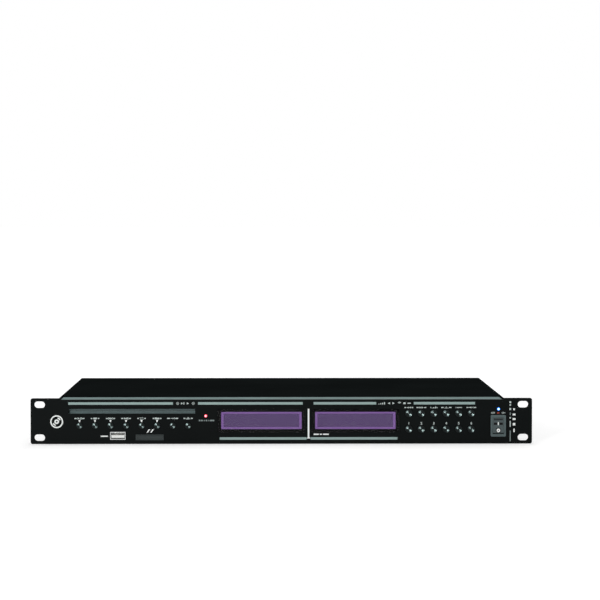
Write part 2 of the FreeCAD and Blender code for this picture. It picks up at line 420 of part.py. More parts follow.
# Places that follow from the sizes above, each a formula of sizes and of other places.
PLACES = {
    "rack_pitch_x": "panel_width - 2 * rack_slot_inset",
    "rack_pitch_z": "panel_height - 2 * rack_slot_margin",
    "slot_left": "disc_slot_inset - inside_half",
    "slot_right": "slot_left + disc_slot_width",
    "disc_slot_x": "(slot_left + slot_right) / 2",
    "disc_slot_z": "notch_z - disc_slot_drop",
    "display_z": "notch_z - display_drop",
    "windows_left": "disc_led_x + window_led_gap",
    "windows_right": "tuner_button_x - window_button_gap",
    "cd_display_x": "windows_left + window_width / 2",
    "tuner_display_x": "windows_right - window_width / 2",
    "board_left": "board_side_gap - inside_half",
    "board_right": "tuner_stud_x + board_beyond_stud",
    "board_tab_right": "inside_half - board_wall_gap",
    "board_high": "notch_z - board_drop",
    "board_step_x": "card_x + card_width / 2 + board_step_gap",
    "board_step_z": "usb_z + usb_height / 2 + board_over_usb",
    "board_tab_z": "notch_z - board_tab_drop",
    "cd_button_x": "slot_left + cd_button_inset",
    "cd_button_z": "(disc_slot_z - disc_slot_height / 2 + usb_z + usb_height / 2) / 2 - cd_button_drop",
    "tuner_button_x": "tuner_last_x - (tuner_button_count - 1) * tuner_button_pitch",
    "tuner_button_high": "notch_z - tuner_button_drop",
    "tuner_button_low": "tuner_button_high - tuner_row_pitch",
    "disc_led_x": "slot_right + disc_led_gap",
    "disc_led_z": "disc_slot_z - disc_led_drop",
    "power_led_x": "switch_x + power_led_offset",
    "power_led_z": "notch_z - power_led_drop",
    "usb_x": "slot_left + usb_inset",
    "usb_tongue_width": "usb_width - 2 * usb_tongue_margin",
    "usb_tongue_height": "usb_height - usb_tongue_lift - usb_tongue_room",
    "card_x": "usb_x + card_pitch",
    "card_slit_width": "card_width - 2 * card_slit_margin",
    "card_slit_height": "card_height - 2 * card_slit_wall",
    "switch_x": "inside_half - switch_inset",
    "switch_z": "panel_height / 2 - switch_drop",
    "switch_tub_width": "switch_bezel_width - 2 * switch_bezel_lip",
    "switch_tub_height": "switch_bezel_height - 2 * switch_bezel_lip",
    "switch_body_height": "switch_tub_height - 2 * switch_body_step",
    "switch_well_width": "switch_tub_width - 2 * switch_well_side",
    "switch_well_height": "switch_tub_height - 2 * switch_well_end",
    "switch_pit_width": "2 * (switch_body_half - switch_pit_wall)",
    "switch_pit_floor": "rocker_foot_depth + switch_pit_room",
    "rocker_width": "switch_well_width - 2 * rocker_side_gap",
    "rocker_half": "switch_well_height / 2 - rocker_end_gap",
    "rocker_foot_width": "switch_pit_width - 2 * rocker_foot_gap",
    "frame_top_flange": "cover_front + frame_under_cover",
    "mech_half": "disc_slot_width / 2 + disc_slot_inset - mech_wall_gap",
    "mech_front": "usb_back + mech_usb_gap",
    "mech_back": "traverse_back + mech_behind",
    "mech_low": "disc_slot_z - mech_below_slot",
    "mech_high": "notch_z - mech_drop",
    "spindle_y": "mech_front + spindle_setback",
    "damper_front": "traverse_front + damper_inset",
    "damper_back": "traverse_back - damper_inset",
    "traverse_front": "spindle_y - traverse_ahead",
    "traverse_back": "spindle_y + traverse_behind",
    "rod_z": "mech_floor + rod_lift",
    "rod_front": "spindle_y + rod_ahead",
    "feed_motor_front": "rod_front - feed_motor_length",
    "pickup_left": "rod_spread + pickup_side",
    "pickup_right": "screw_offset + pickup_side",
    "pickup_low": "rod_z - pickup_drop",
    "clamp_pivot_y": "spindle_y + clamp_reach",
    "clamp_pivot_z": "mech_high - clamp_pivot_drop",
    "clamp_arm_low": "mech_high - clamp_arm_drop",
    "clamp_arm_front": "spindle_y - clamp_arm_ahead",
    "puck_low": "clamp_arm_low - puck_gap - puck_height",
    "puck_recess_radius": "cone_low_radius + puck_recess_room",
    "disc_guide_outer": "mech_half - disc_guide_inset",
    "disc_guide_inner": "disc_guide_outer - disc_guide_width",
    "disc_guide_back": "mech_front + disc_guide_end",
    "arm_pivot_y": "mech_front + arm_pivot_setback",
    "arm_pivot_z": "mech_floor + arm_pivot_lift",
    "arm_inner": "mech_half - arm_inset",
    "arm_pivot_boss": "motor_nose + arm_pivot_wall",
    "arm_roller_boss": "roller_shaft + arm_roller_wall",
    "arm_bar_y": "arm_pivot_y - arm_bar_ahead",
    "arm_bar_z": "arm_pivot_z - arm_bar_drop",
    "roller_outer": "mech_half - roller_inset",
    "main_board_left": "mech_right + main_board_gap",
    "main_board_right": "power_board_left - board_gap",
    "main_board_back": "rear_face - main_board_rear_gap",
    "power_board_right": "inside_half - board_wall_gap",
    "power_board_left": "power_board_right - power_board_width",
    "power_board_back": "rear_face - power_board_rear_gap",
    "power_board_front": "power_board_back - power_board_length",
    "chip_x": "main_board_left + chip_inset",
    "chip_y": "main_board_front + chip_setback",
    "chip_pitch": "(main_board_right - chip_inset - chip_x) / 2",
    "capacitor_x": "main_board_left + capacitor_inset",
    "capacitor_y": "rear_face - tuner_module_length - capacitor_tuner_gap",
    "ribbon_x": "main_board_left + ribbon_inset",
    "ribbon_z": "boards_top + ribbon_lift",
    "inlet_x": "power_board_right - inlet_inset",
    "inlet_low": "floor_top + inlet_lift",
    "inlet_high": "inlet_low + inlet_height",
    "inlet_mouth_low": "inlet_low + inlet_mouth_lift",
    "inlet_mouth_high": "inlet_mouth_low + inlet_mouth_height",
    "inlet_pin_z": "inlet_mouth_low + inlet_pin_lift",
    "inlet_earth_z": "inlet_pin_z + inlet_earth_lift",
    "drawer_width": "inlet_width - 2 * drawer_margin",
    "drawer_low": "inlet_low + drawer_lift",
    "audio_x": "main_board_left + audio_inset",
    "audio_low": "notch_z - audio_drop",
    "aerial_x": "main_board_right - aerial_inset",
    "aerial_z": "notch_z - aerial_drop",
    "floor_screw_outer": "inside_half - floor_screw_inset",
    "vent_start": "rear_face - vent_from_rear",
    "notch_z": "panel_height - notch_drop",
    "cover_half": "panel_width / 2 - ear_width",
    "chassis_half": "cover_half - sheet",
    "inside_half": "chassis_half - sheet",
    "frame_half": "inside_half - fit_gap",
    "notch_half": "cover_half - notch_inset",
    "floor_top": "pad_height + sheet",
    "cover_top": "notch_z + sheet",
    "cover_back": "case_depth + sheet",
    "frame_back": "panel_thick + sheet",
    "rear_face": "case_depth - sheet",
    "screw_hole": "screw_radius + screw_ease",
    "side_screw_z": "cover_top - side_screw_drop",
    "rear_screw_z": "cover_top - cover_rear_lip / 2",
    "flange_screw_y": "rear_face - rear_flange / 2",
    "window_width": "(windows_right - windows_left - window_gap) / 2",
    "window_height": "display_height + 2 * display_border",
    "rim_back": "panel_thick + window_rim_thick",
    "module_front": "rim_back + module_gap",
    "cd_last_x": "cd_button_x + (cd_button_count - 1) * cd_button_pitch",
    "tuner_last_x": "switch_x - tuner_switch_gap",
    "guide_stud_x": "disc_slot_x + guide_half_width + stud_from_guide",
    "tuner_stud_x": "tuner_last_x + stud_from_button",
    "left_stud_x": "cd_button_x - stud_from_button",
    "left_stud_z": "cd_button_z - stud_drop",
    "board_back": "board_front + board_thick",
    "guide_half_width": "disc_slot_width / 2 + guide_margin",
    "guide_half_height": "disc_slot_height / 2 + guide_wall",
    "felt_front": "frame_back + guide_lip",
    "key_switch_front": "board_front - key_switch_height",
    "stem_end": "key_switch_front + stem_entry",
    "button_collar_front": "frame_back + seat_gap",
    "usb_half_width": "usb_width / 2 - fit_gap",
    "usb_half_height": "usb_height / 2 - fit_gap",
    "usb_back": "usb_recess + usb_length",
    "media_low": "floor_top + frame_ease",
    "media_top": "card_z - card_height / 2",
    "card_half_width": "card_width / 2 - card_ease",
    "card_half_height": "card_height / 2 - card_ease",
    "flap_axis_y": "flap_recess + flap_thick / 2",
    "flap_axis_z": "card_z + card_slit_height / 2 - flap_gap - flap_thick / 2",
    "flap_half_width": "card_slit_width / 2 - flap_gap",
    "switch_body_half": "frame_half - switch_x",
    "mech_left": "disc_slot_x - mech_half",
    "mech_right": "disc_slot_x + mech_half",
    "mech_floor": "mech_low + mech_sheet",
    "traverse_low": "mech_floor + damper_height",
    "traverse_top": "traverse_low + mech_sheet",
    "turntable_low": "traverse_top + spindle_motor_height + turntable_gap",
    "turntable_plate": "turntable_low + turntable_hub_height",
    "disc_seat": "turntable_plate + turntable_thick",
    "rod_back": "traverse_back - rod_post",
    "screw_x": "disc_slot_x + screw_offset",
    "lens_y": "spindle_y + pickup_near",
    "pickup_top": "pickup_low + pickup_height",
    "clamp_arm_top": "clamp_arm_low + sheet",
    "roller_y": "arm_pivot_y - arm_reach * cos(arm_rise)",
    "roller_z": "arm_pivot_z + arm_reach * sin(arm_rise)",
    "arm_outer": "arm_inner + arm_sheet",
    "pulley_x": "disc_slot_x + mech_half + pulley_gap",
    "pulley_width": "belt_width + 2 * pulley_rim_thick + 2 * seat_gap",
    "disc_guide_low": "disc_slot_z + disc_slot_height / 2",
    "motor_front_x": "disc_slot_x + arm_inner - motor_bracket_gap - mech_sheet",
    "boards_low": "floor_top + board_lift",
    "boards_top": "boards_low + board_thick",
    "inlet_half": "inlet_width / 2",
    "inlet_back": "case_depth + inlet_flange_thick",
    "audio_high": "audio_low + audio_pitch",
    "front_reach": "(rocker_middle + rocker_pivot) * cos(rocker_tilt) + rocker_half"
                   " * tan(rocker_tilt) * cos(rocker_tilt) + rocker_half * sin(rocker_tilt)"
                   " - rocker_pivot",
    "face_y": "(front_reach - case_depth - aerial_reach) / 2",
}

CD_BUTTONS = ["play", "stop", "previous", "next", "repeat", "folder", "source", "eject"]
TUNER_HIGH_BUTTONS = ["tune_down", "tune_up", "band", "memory", "mono", "mute"]
TUNER_LOW_BUTTONS = ["preset_1", "preset_2", "preset_3", "preset_4", "preset_5", "preset_6"]

PLANE_ROLES = {"front": "XZ_Plane", "side": "YZ_Plane", "top": "XY_Plane"}
SIZE_NAMES = {name for name, value, meaning in SIZES}

DOC = FreeCAD.newDocument("cd_tuner")
SHEET = DOC.addObject("Spreadsheet::Sheet", "dims")
NODES = []


def fill_sheet():
    """Write the driving sizes into the sheet, each cell with its alias."""
    for row, (name, value, meaning) in enumerate(SIZES, start=1):
        SHEET.set(f"A{row}", name)
        SHEET.set(f"B{row}", str(value))
        SHEET.set(f"C{row}", meaning)
        SHEET.setAlias(f"B{row}", name)
    DOC.recompute()


def formula(text):
    """Turn a formula of size and place names into one that reads the sheet."""
    def read(match):
        name = match.group()
        if name in SIZE_NAMES:
            return f"dims.{name}"
        if name in PLACES:
            return f"({formula(PLACES[name])})"
        return name
    return re.sub(r"[a-z_]\w*", read, str(text))


def value(text):
    """The number that a formula gives now."""
    return float(SHEET.evalExpression(formula(text)))


def bind(item, prop, text):
    """Bind one property of a document object to a formula."""
    item.setExpression(prop, formula(text))


def place(item, x="0", y="0", z="0"):
    """Bind the place of a document object."""
    for axis, text in zip("xyz", (x, y, z)):
        bind(item, f"Placement.Base.{axis}", text)


class Outline:
    """A sketch on one of a body's origin planes, drawn with bound points."""

    def __init__(self, body, view, depth):
        self.view = view
        self.sketch = body.newObject("Sketcher::SketchObject", "outline")
        plane = next(o for o in body.Origin.OriginFeatures if o.Role == PLANE_ROLES[view])
        self.sketch.AttachmentSupport = [(plane, "")]
        self.sketch.MapMode = "FlatFace"
        sign = "-" if view == "front" else ""
        bind(self.sketch, "AttachmentOffset.Base.z", f"{sign}({depth})")

    def fix(self, kind, *args):
        """Add one constraint whose last argument is a formula."""
        index = self.sketch.addConstraint(Sketcher.Constraint(kind, *args[:-1], value(args[-1])))
        bind(self.sketch, f"Constraints[{index}]", args[-1])

    def fix_point(self, item, end, point):
        """Tie one end or centre of an item to a point, given as two formulas."""
        self.fix("DistanceX", -1, 1, item, end, point[0])
        self.fix("DistanceY", -1, 1, item, end, point[1])

    def loop(self, points):
        """A closed run of straight lines through the points."""
        first = self.sketch.GeometryCount
        spots = [Vector(value(a), value(b), 0) for a, b in points]
        count = len(spots)
        for i in range(count):
            self.sketch.addGeometry(Part.LineSegment(spots[i], spots[(i + 1) % count]), False)
        for i in range(count):
            after = first + (i + 1) % count
            self.sketch.addConstraint(Sketcher.Constraint("Coincident", first + i, 2, after, 1))
            self.fix_point(first + i, 1, points[i])
        return self

    def rect(self, a_low, a_high, b_low, b_high):
        """A rectangle between two pairs of formulas."""
        return self.loop([(a_low, b_low), (a_high, b_low), (a_high, b_high), (a_low, b_high)])

    def panel(self, a, b, half_a, half_b):
        """A rectangle round a middle point, with its two half sizes."""
        return self.rect(f"{a} - ({half_a})", f"{a} + {half_a}", f"{b} - ({half_b})", f"{b} + {half_b}")

    def circle(self, a, b, radius):
        """A full circle."""
        item = self.sketch.GeometryCount
        centre = Vector(value(a), value(b), 0)
        self.sketch.addGeometry(Part.Circle(centre, Vector(0, 0, 1), value(radius)), False)
        self.fix_point(item, 3, (a, b))
        self.fix("Radius", item, radius)
        return self

    def long_hole(self, a, b, length, width):
        """A slot with round ends that lies along the first axis."""
        item = self.sketch.GeometryCount
        reach = f"({length} - {width}) / 2"
        left, right = value(f"{a} - {reach}"), value(f"{a} + {reach}")
        middle, half = value(b), value(f"{width} / 2")
        quarter = math.pi / 2
        up = Vector(0, 0, 1)
        top = (Vector(right, middle + half, 0), Vector(left, middle + half, 0))
        low = (Vector(left, middle - half, 0), Vector(right, middle - half, 0))
        left_arc = Part.ArcOfCircle(Part.Circle(Vector(left, middle, 0), up, half), quarter, 3 * quarter)
        right_arc = Part.ArcOfCircle(Part.Circle(Vector(right, middle, 0), up, half), -quarter, quarter)
        for shape in (Part.LineSegment(*top), left_arc, Part.LineSegment(*low), right_arc):
            self.sketch.addGeometry(shape, False)
        for one, end, other, start in ((0, 2, 1, 1), (1, 2, 2, 1), (2, 2, 3, 1), (3, 2, 0, 1)):
            joint = Sketcher.Constraint("Coincident", item + one, end, item + other, start)
            self.sketch.addConstraint(joint)
        self.fix_point(item, 1, (f"{a} + {reach}", f"{b} + {width} / 2"))
        self.fix_point(item, 2, (f"{a} - {reach}", f"{b} + {width} / 2"))
        self.fix_point(item + 1, 3, (f"{a} - {reach}", b))
        self.fix_point(item + 3, 3, (f"{a} + {reach}", b))
        self.fix("DistanceX", -1, 1, item + 2, 1, f"{a} - {reach}")
        self.fix("DistanceX", -1, 1, item + 2, 2, f"{a} + {reach}")
        return self

    def belt(self, one, one_radius, other, other_radius):
        """A loop of two arcs joined by two tangent lines."""
        item = self.sketch.GeometryCount
        centres = [Vector(value(a), value(b), 0) for a, b in (one, other)]
        radii = [value(one_radius), value(other_radius)]
        way = centres[1] - centres[0]
        along = math.atan2(way.y, way.x)
        spread = math.acos((radii[0] - radii[1]) / way.Length)
        sides = (along - spread, along + spread)

        def touch(i, angle):
            return centres[i] + Vector(math.cos(angle), math.sin(angle), 0) * radii[i]

        rings = [Part.Circle(centres[i], Vector(0, 0, 1), radii[i]) for i in range(2)]
        for shape in (Part.ArcOfCircle(rings[0], sides[1], sides[0] + 2 * math.pi),
                      Part.LineSegment(touch(0, sides[0]), touch(1, sides[0])),
                      Part.ArcOfCircle(rings[1], *sides),
                      Part.LineSegment(touch(1, sides[1]), touch(0, sides[1]))):
            self.sketch.addGeometry(shape, False)
        for i in range(4):
            joint = Sketcher.Constraint("Tangent", item + i, 2, item + (i + 1) % 4, 1)
            self.sketch.addConstraint(joint)
        self.fix_point(item, 3, one)
        self.fix_point(item + 2, 3, other)
        self.fix("Radius", item, one_radius)
        self.fix("Radius", item + 2, other_radius)
        return self


class Piece:
    """A body made of sketches, pads, cuts and patterns. Pads and cuts run to the positive side."""

    def __init__(self, name):
        self.body = DOC.addObject("PartDesign::Body", name)

    def outline(self, view, depth="0"):
        """A new sketch: front view (x, z) at a y, side view (y, z) at an x, top view (x, y) at a z."""
        return Outline(self.body, view, depth)

    def pad(self, outline, length):
        """Raise a sketch by a length."""
        feature = self.body.newObject("PartDesign::Pad", "pad")
        feature.Profile = outline.sketch
        feature.Reversed = outline.view == "front"
        bind(feature, "Length", length)
        return feature

    def cut(self, outline, length=None):
        """Cut a sketch by a length, or right through."""
        feature = self.body.newObject("PartDesign::Pocket", "pocket")
        feature.Profile = outline.sketch
        feature.Reversed = outline.view != "front"
        if length is None:
            feature.Type = "ThroughAll"
        else:
            bind(feature, "Length", length)
        return feature

    def revolve(self, outline):
        """Turn a half profile about the second axis of its sketch."""
        feature = self.body.newObject("PartDesign::Revolution", "turned")
        feature.Profile = outline.sketch
        feature.ReferenceAxis = (outline.sketch, ["V_Axis"])
        return feature

    def column(self, feature, outline, pitch, count):
        """Repeat a feature along the second axis of its sketch."""
        return self.row(feature, outline, pitch, count, "V_Axis")

    def row(self, feature, outline, pitch, count, axis="H_Axis"):
        """Repeat a feature along an axis of its sketch."""
        pattern = self.body.newObject("PartDesign::LinearPattern", "row")
        pattern.Originals = [feature]
        pattern.Direction = (outline.sketch, [axis])
        bind(pattern, "Length", f"{pitch} * ({count} - 1)")
        bind(pattern, "Occurrences", count)
        self.body.Tip = pattern
        return pattern

    def dress(self, kind, wanted, size):
        """Round or bevel the edges whose middle point passes a test."""
        DOC.recompute()
        base = self.body.Tip
        names = [f"Edge{i}" for i, edge in enumerate(base.Shape.Edges, start=1)
                 if wanted(edge, edge.CenterOfMass)]
        feature = self.body.newObject(f"PartDesign::{kind}", kind.lower())
        feature.Base = (base, names)
        bind(feature, "Radius" if kind == "Fillet" else "Size", size)
        return feature


def near(a, b):
    """Whether two numbers of the model are the same."""
    return abs(a - b) < 1e-4


def runs_along(edge, axis):
    """Whether an edge is straight and lies along x, y or z."""
    if not isinstance(edge.Curve, Part.Line):
        return False
    return near(abs(getattr(edge.Curve.Direction, axis)), 1.0)


def box(x, y, z):
    """A box between three pairs of formulas."""
    item = DOC.addObject("Part::Box", "box")
    for prop, (low, high) in zip(("Length", "Width", "Height"), (x, y, z)):
        bind(item, prop, f"({high}) - ({low})")
    place(item, x[0], y[0], z[0])
    return item


def block(x, half_x, y, z):
    """A box round a middle x."""
    return box((f"{x} - ({half_x})", f"{x} + {half_x}"), y, z)


ROD_TURNS = {"x": Rotation(Vector(0, 1, 0), 90), "y": Rotation(Vector(1, 0, 0), -90), "z": Rotation()}


def lay(item, axis, centre, start):
    """Lay a primitive along an axis: centre is a pair of formulas for the other two axes."""
    item.Placement = Placement(Vector(), ROD_TURNS[axis])
    spots = list(centre)
    spots.insert("xyz".index(axis), start)
    place(item, *spots)
    return item


def rod(axis, centre, span, radius):
    """A cylinder along x, y or z between two formulas."""
    item = DOC.addObject("Part::Cylinder", "rod")
    bind(item, "Radius", radius)
    bind(item, "Height", f"({span[1]}) - ({span[0]})")
    return lay(item, axis, centre, span[0])


def cone(axis, centre, span, radii):
    """A cone along x, y or z between two formulas."""
    item = DOC.addObject("Part::Cone", "cone")
    bind(item, "Radius1", radii[0])
    bind(item, "Radius2", radii[1])
    bind(item, "Height", f"({span[1]}) - ({span[0]})")
    return lay(item, axis, centre, span[0])


def hexagon(axis, centre, span, radius):
    """A six-sided bar along x, y or z between two formulas."""
    item = DOC.addObject("Part::Prism", "hexagon")
    item.Polygon = 6
    bind(item, "Circumradius", radius)
    bind(item, "Height", f"({span[1]}) - ({span[0]})")
    return lay(item, axis, centre, span[0])


def join(*items):
    """One solid from several that touch or overlap."""
    item = DOC.addObject("Part::MultiFuse", "join")
    item.Shapes = list(items)
    item.Refine = True
    return item


def carve(base, *tools):
    """A solid less one or more tools."""
    item = DOC.addObject("Part::Cut", "carve")
    item.Base = base
    item.Tool = tools[0] if len(tools) == 1 else group(*tools)
    item.Refine = True
    return item


def group(*items):
    """Several solids that stay separate."""
    item = DOC.addObject("Part::Compound", "group")
    item.Links = list(items)
    return item


def node(name, item, x="0", y="0", z="0", turn=None):
    """Name a finished piece and move it from the panel's face to the unit's own origin."""
    item.Label = name
    if turn is not None:
        item.Placement = Placement(Vector(), turn)
    place(item, x, f"{y} + face_y", z)
    NODES.append(item)
    return item


def front_panel():
    """Aluminium panel with two ears, its openings, and welded studs on its back."""
    panel = Piece("front_panel")
    half = "panel_width / 2"
    outline = panel.outline("front").loop([
        (f"-{half}", "0"), (half, "0"), (half, "panel_height"), ("notch_half", "panel_height"),
        ("notch_half", "notch_z"), ("-notch_half", "notch_z"), ("-notch_half", "panel_height"),
        (f"-{half}", "panel_height")])
    panel.pad(outline, "panel_thick")
    panel.dress("Fillet", lambda e, c: runs_along(e, "y") and near(abs(c.x), value(half)), "panel_corner")
    panel.dress("Chamfer", lambda e, c: near(c.y, 0), "panel_bevel")

    slots = panel.outline("front")
    for side in "-+":
        for level in "-+":
            slots.long_hole(f"{side}rack_pitch_x / 2", f"panel_height / 2 {level} rack_pitch_z / 2",
                            "rack_slot_length", "rack_slot_width")
    panel.cut(slots)

    openings = panel.outline("front")
    openings.panel("disc_slot_x", "disc_slot_z", "disc_slot_width / 2", "disc_slot_height / 2")
    for x in ("cd_display_x", "tuner_display_x"):
        openings.panel(x, "display_z", "window_width / 2", "window_height / 2")
    openings.panel("usb_x", "usb_z", "usb_width / 2", "usb_height / 2")
    openings.panel("card_x", "card_z", "card_width / 2", "card_height / 2")
    openings.panel("switch_x", "switch_z", "switch_tub_width / 2 + fit_gap",
                   "switch_tub_height / 2 + fit_gap")
    for x, z in (("disc_led_x", "disc_led_z"), ("power_led_x", "power_led_z")):
        openings.circle(x, z, "led_radius + run_gap")
    panel.cut(openings)
    cut_button_holes(panel, "run_gap")

    studs = panel.outline("front", "panel_thick")
    for x, z in STUD_SPOTS:
        studs.circle(x, z, "stud_radius")
    panel.pad(studs, "stud_length")
    node("front_panel", panel.body)


def cut_button_holes(piece, ease):
    """Round holes for both groups of buttons, larger than the caps by an ease."""
    holes = piece.outline("front").circle("cd_button_x", "cd_button_z", f"cd_button_radius + {ease}")
    piece.row(piece.cut(holes), holes, "cd_button_pitch", "cd_button_count")
    holes = piece.outline("front")
    for z in ("tuner_button_high", "tuner_button_low"):
        holes.circle("tuner_button_x", z, f"tuner_button_radius + {ease}")
    piece.row(piece.cut(holes), holes, "tuner_button_pitch", "tuner_button_count")


# Studs that carry the panel, as pairs of x and z, between the openings.
STUD_SPOTS = [
    ("left_stud_x", "left_stud_z"),
    ("guide_stud_x", "disc_slot_z + stud_over_slot"),
    ("guide_stud_x", "board_low + stud_from_edge"),
    ("(cd_display_x + tuner_display_x) / 2", "display_z + window_height / 2 + stud_over_window"),
    ("tuner_stud_x", "tuner_button_high + stud_from_row"),
    ("tuner_stud_x", "board_low + stud_from_edge"),
]

# Posts that carry the control board, as pairs of x and z.
POST_SPOTS = [
    ("left_stud_x", "left_stud_z + post_over_stud"),
    ("cd_last_x + cd_button_pitch / 2", "cd_button_z"),
    ("cd_display_x", "board_high - post_from_edge"),
    ("tuner_display_x", "board_high - post_from_edge"),
    ("(windows_right + module_margin + tuner_button_x - key_switch_side / 2) / 2",
     "(tuner_button_high + tuner_button_low) / 2"),
    ("tuner_stud_x", "(tuner_button_high + tuner_button_low) / 2"),
]


def front_frame():
    """Bare steel frame behind the panel. Its top flange shows as the grey strip."""
    frame = Piece("front_frame")
    profile = frame.outline("side", "-frame_half").loop([
        ("panel_thick", "floor_top"), ("frame_low_flange", "floor_top"),
        ("frame_low_flange", "floor_top + sheet"), ("frame_back", "floor_top + sheet"),
        ("frame_back", "notch_z - sheet"), ("frame_top_flange", "notch_z - sheet"),
        ("frame_top_flange", "notch_z"), ("panel_thick", "notch_z")])
    frame.pad(profile, "2 * frame_half")

    openings = frame.outline("front")
    openings.panel("disc_slot_x", "disc_slot_z", "disc_slot_width / 2 + frame_ease",
                   "disc_slot_height / 2 + frame_ease")
    for x in ("cd_display_x", "tuner_display_x"):
        openings.panel(x, "display_z", "window_width / 2 + window_rim + frame_ease",
                       "window_height / 2 + window_rim + frame_ease")
    openings.panel("usb_x", "usb_z", "usb_width / 2 + frame_ease", "usb_height / 2 + frame_ease")
    openings.panel("card_x", "card_z", "card_width / 2 + frame_ease", "card_height / 2 + frame_ease")
    openings.rect("switch_x - switch_body_half - fit_gap", "chassis_half",
                  "switch_z - switch_body_height / 2 - frame_ease",
                  "switch_z + switch_body_height / 2 + frame_ease")
    for x, z in (("disc_led_x", "disc_led_z"), ("power_led_x", "power_led_z")):
        openings.circle(x, z, "led_radius + led_collar + frame_ease")
    for x, z in STUD_SPOTS:
        openings.circle(x, z, "stud_radius + screw_ease")
    frame.cut(openings)
    cut_button_holes(frame, "frame_ease")

    posts = frame.outline("front", "frame_back")
    for x, z in POST_SPOTS:
        posts.circle(x, z, "post_radius")
    frame.pad(posts, "board_front - frame_back")

    screws = frame.outline("top", "0")
    for x in FLOOR_SCREWS:
        screws.circle(x, "floor_screw_y", "screw_hole")
    frame.cut(screws, "floor_top + 2 * sheet")
    node("front_frame", frame.body)


FLOOR_SCREWS = ["-floor_screw_outer", "-floor_screw_inner", "floor_screw_inner", "floor_screw_outer"]
SIDE_SCREWS = ["side_screw_first", "(side_screw_first + case_depth - side_screw_last) / 2",
               "case_depth - side_screw_last"]
REAR_SCREWS = ["-rear_screw_pitch", "0", "rear_screw_pitch"]

# Standoffs under the two boards, as pairs of x and y.
STANDOFFS = [(x, y)
             for board in ("main_board", "power_board")
             for x in (f"{board}_left + standoff_inset", f"{board}_right - standoff_inset")
             for y in (f"{board}_front + standoff_inset", f"{board}_back - standoff_inset")]


def chassis():
    """Floor and side walls in one bent sheet, with vents, screw holes and pressed-in standoffs."""
    tray = Piece("chassis")
    profile = tray.outline("front", "panel_thick").loop([
        ("-chassis_half", "pad_height"), ("chassis_half", "pad_height"), ("chassis_half", "notch_z"),
        ("inside_half", "notch_z"), ("inside_half", "floor_top"), ("-inside_half", "floor_top"),
        ("-inside_half", "notch_z"), ("-chassis_half", "notch_z")])
    tray.pad(profile, "case_depth - panel_thick")

    vents = tray.outline("side", "-cover_half").rect(
        "vent_start", "vent_start + vent_width", "vent_low", "vent_low + vent_height")
    tray.row(tray.cut(vents), vents, "vent_pitch", "vent_count")

    holes = tray.outline("side", "-cover_half")
    for y in SIDE_SCREWS:
        holes.circle(y, "side_screw_z", "screw_hole")
    holes.circle("flange_screw_y", "flange_screw_z", "screw_hole")
    tray.cut(holes)

    floor_holes = tray.outline("top", "0")
    for x in FLOOR_SCREWS:
        floor_holes.circle(x, "floor_screw_y", "screw_hole")
    tray.cut(floor_holes)

    standoffs = tray.outline("top", "floor_top")
    for x, y in STANDOFFS:
        standoffs.circle(x, y, "standoff_radius")
    tray.pad(standoffs, "board_lift")
    node("chassis", tray.body)


def top_cover():
    """Painted cover with side lips and rear tabs. Its top begins behind the frame's flange."""
    cover = Piece("top_cover")
    profile = cover.outline("front", "panel_thick + frame_ease").loop([
        ("-cover_half", "cover_top - cover_lip"), ("-chassis_half", "cover_top - cover_lip"),
        ("-chassis_half", "notch_z"), ("chassis_half", "notch_z"),
        ("chassis_half", "cover_top - cover_lip"), ("cover_half", "cover_top - cover_lip"),
        ("cover_half", "cover_top"), ("-cover_half", "cover_top")])
    cover.pad(profile, "cover_back - panel_thick - frame_ease")
    tabs = cover.outline("front", "case_depth")
    for x in REAR_SCREWS:
        tabs.rect(f"{x} - cover_rear_tab / 2", f"{x} + cover_rear_tab / 2",
                  "cover_top - cover_rear_lip", "notch_z")
    cover.pad(tabs, "sheet")
    cover.cut(cover.outline("top", "floor_top").rect("-frame_half", "frame_half", "0", "cover_front"))

    holes = cover.outline("side", "-cover_half")
    for y in SIDE_SCREWS:
        holes.circle(y, "side_screw_z", "screw_hole")
    cover.cut(holes)
    holes = cover.outline("front", "rear_face")
    for x in REAR_SCREWS:
        holes.circle(x, "rear_screw_z", "screw_hole")
    cover.cut(holes)
    node("top_cover", cover.body)


def rear_panel():
    """Rear panel with side flanges and openings for the sockets."""
    rear = Piece("rear_panel")
    sheet = rear.outline("front", "rear_face").rect("-frame_half", "frame_half", "floor_top", "notch_z")
    rear.pad(sheet, "sheet")
    flanges = rear.outline("front", "rear_face - rear_flange")
    flanges.rect("-frame_half", "sheet - frame_half", "floor_top", "cover_top - cover_lip")
    flanges.rect("frame_half - sheet", "frame_half", "floor_top", "cover_top - cover_lip")
    rear.pad(flanges, "rear_flange")

    openings = rear.outline("front", "rear_face")
    openings.panel("inlet_x", "(inlet_low + inlet_high) / 2", "inlet_half + fit_gap",
                   "(inlet_high - inlet_low) / 2 + fit_gap")
    for x, z in AUDIO_SPOTS:
        openings.circle(x, z, "audio_collar + fit_gap")
    openings.circle("aerial_x", "aerial_z", "aerial_thread + fit_gap")
    for x in REAR_SCREWS:
        openings.circle(x, "rear_screw_z", "screw_hole")
    rear.cut(openings)
    holes = rear.outline("side", "-cover_half").circle("flange_screw_y", "flange_screw_z", "screw_hole")
    rear.cut(holes)
    node("rear_panel", rear.body)


AUDIO_SPOTS = [(f"audio_x {side} audio_pitch / 2", z)
               for side in "-+" for z in ("audio_low", "audio_high")]


def rubber_pads():
    """Four thin rubber pads under the floor."""
    pads = []
    for x in ("pad_inset - cover_half", "cover_half - pad_inset"):
        for y in ("pad_setback", "case_depth - pad_setback"):
            pads.append(rod("z", (x, y), ("0", "pad_height"), "pad_radius"))
    node("rubber_pads", group(*pads))


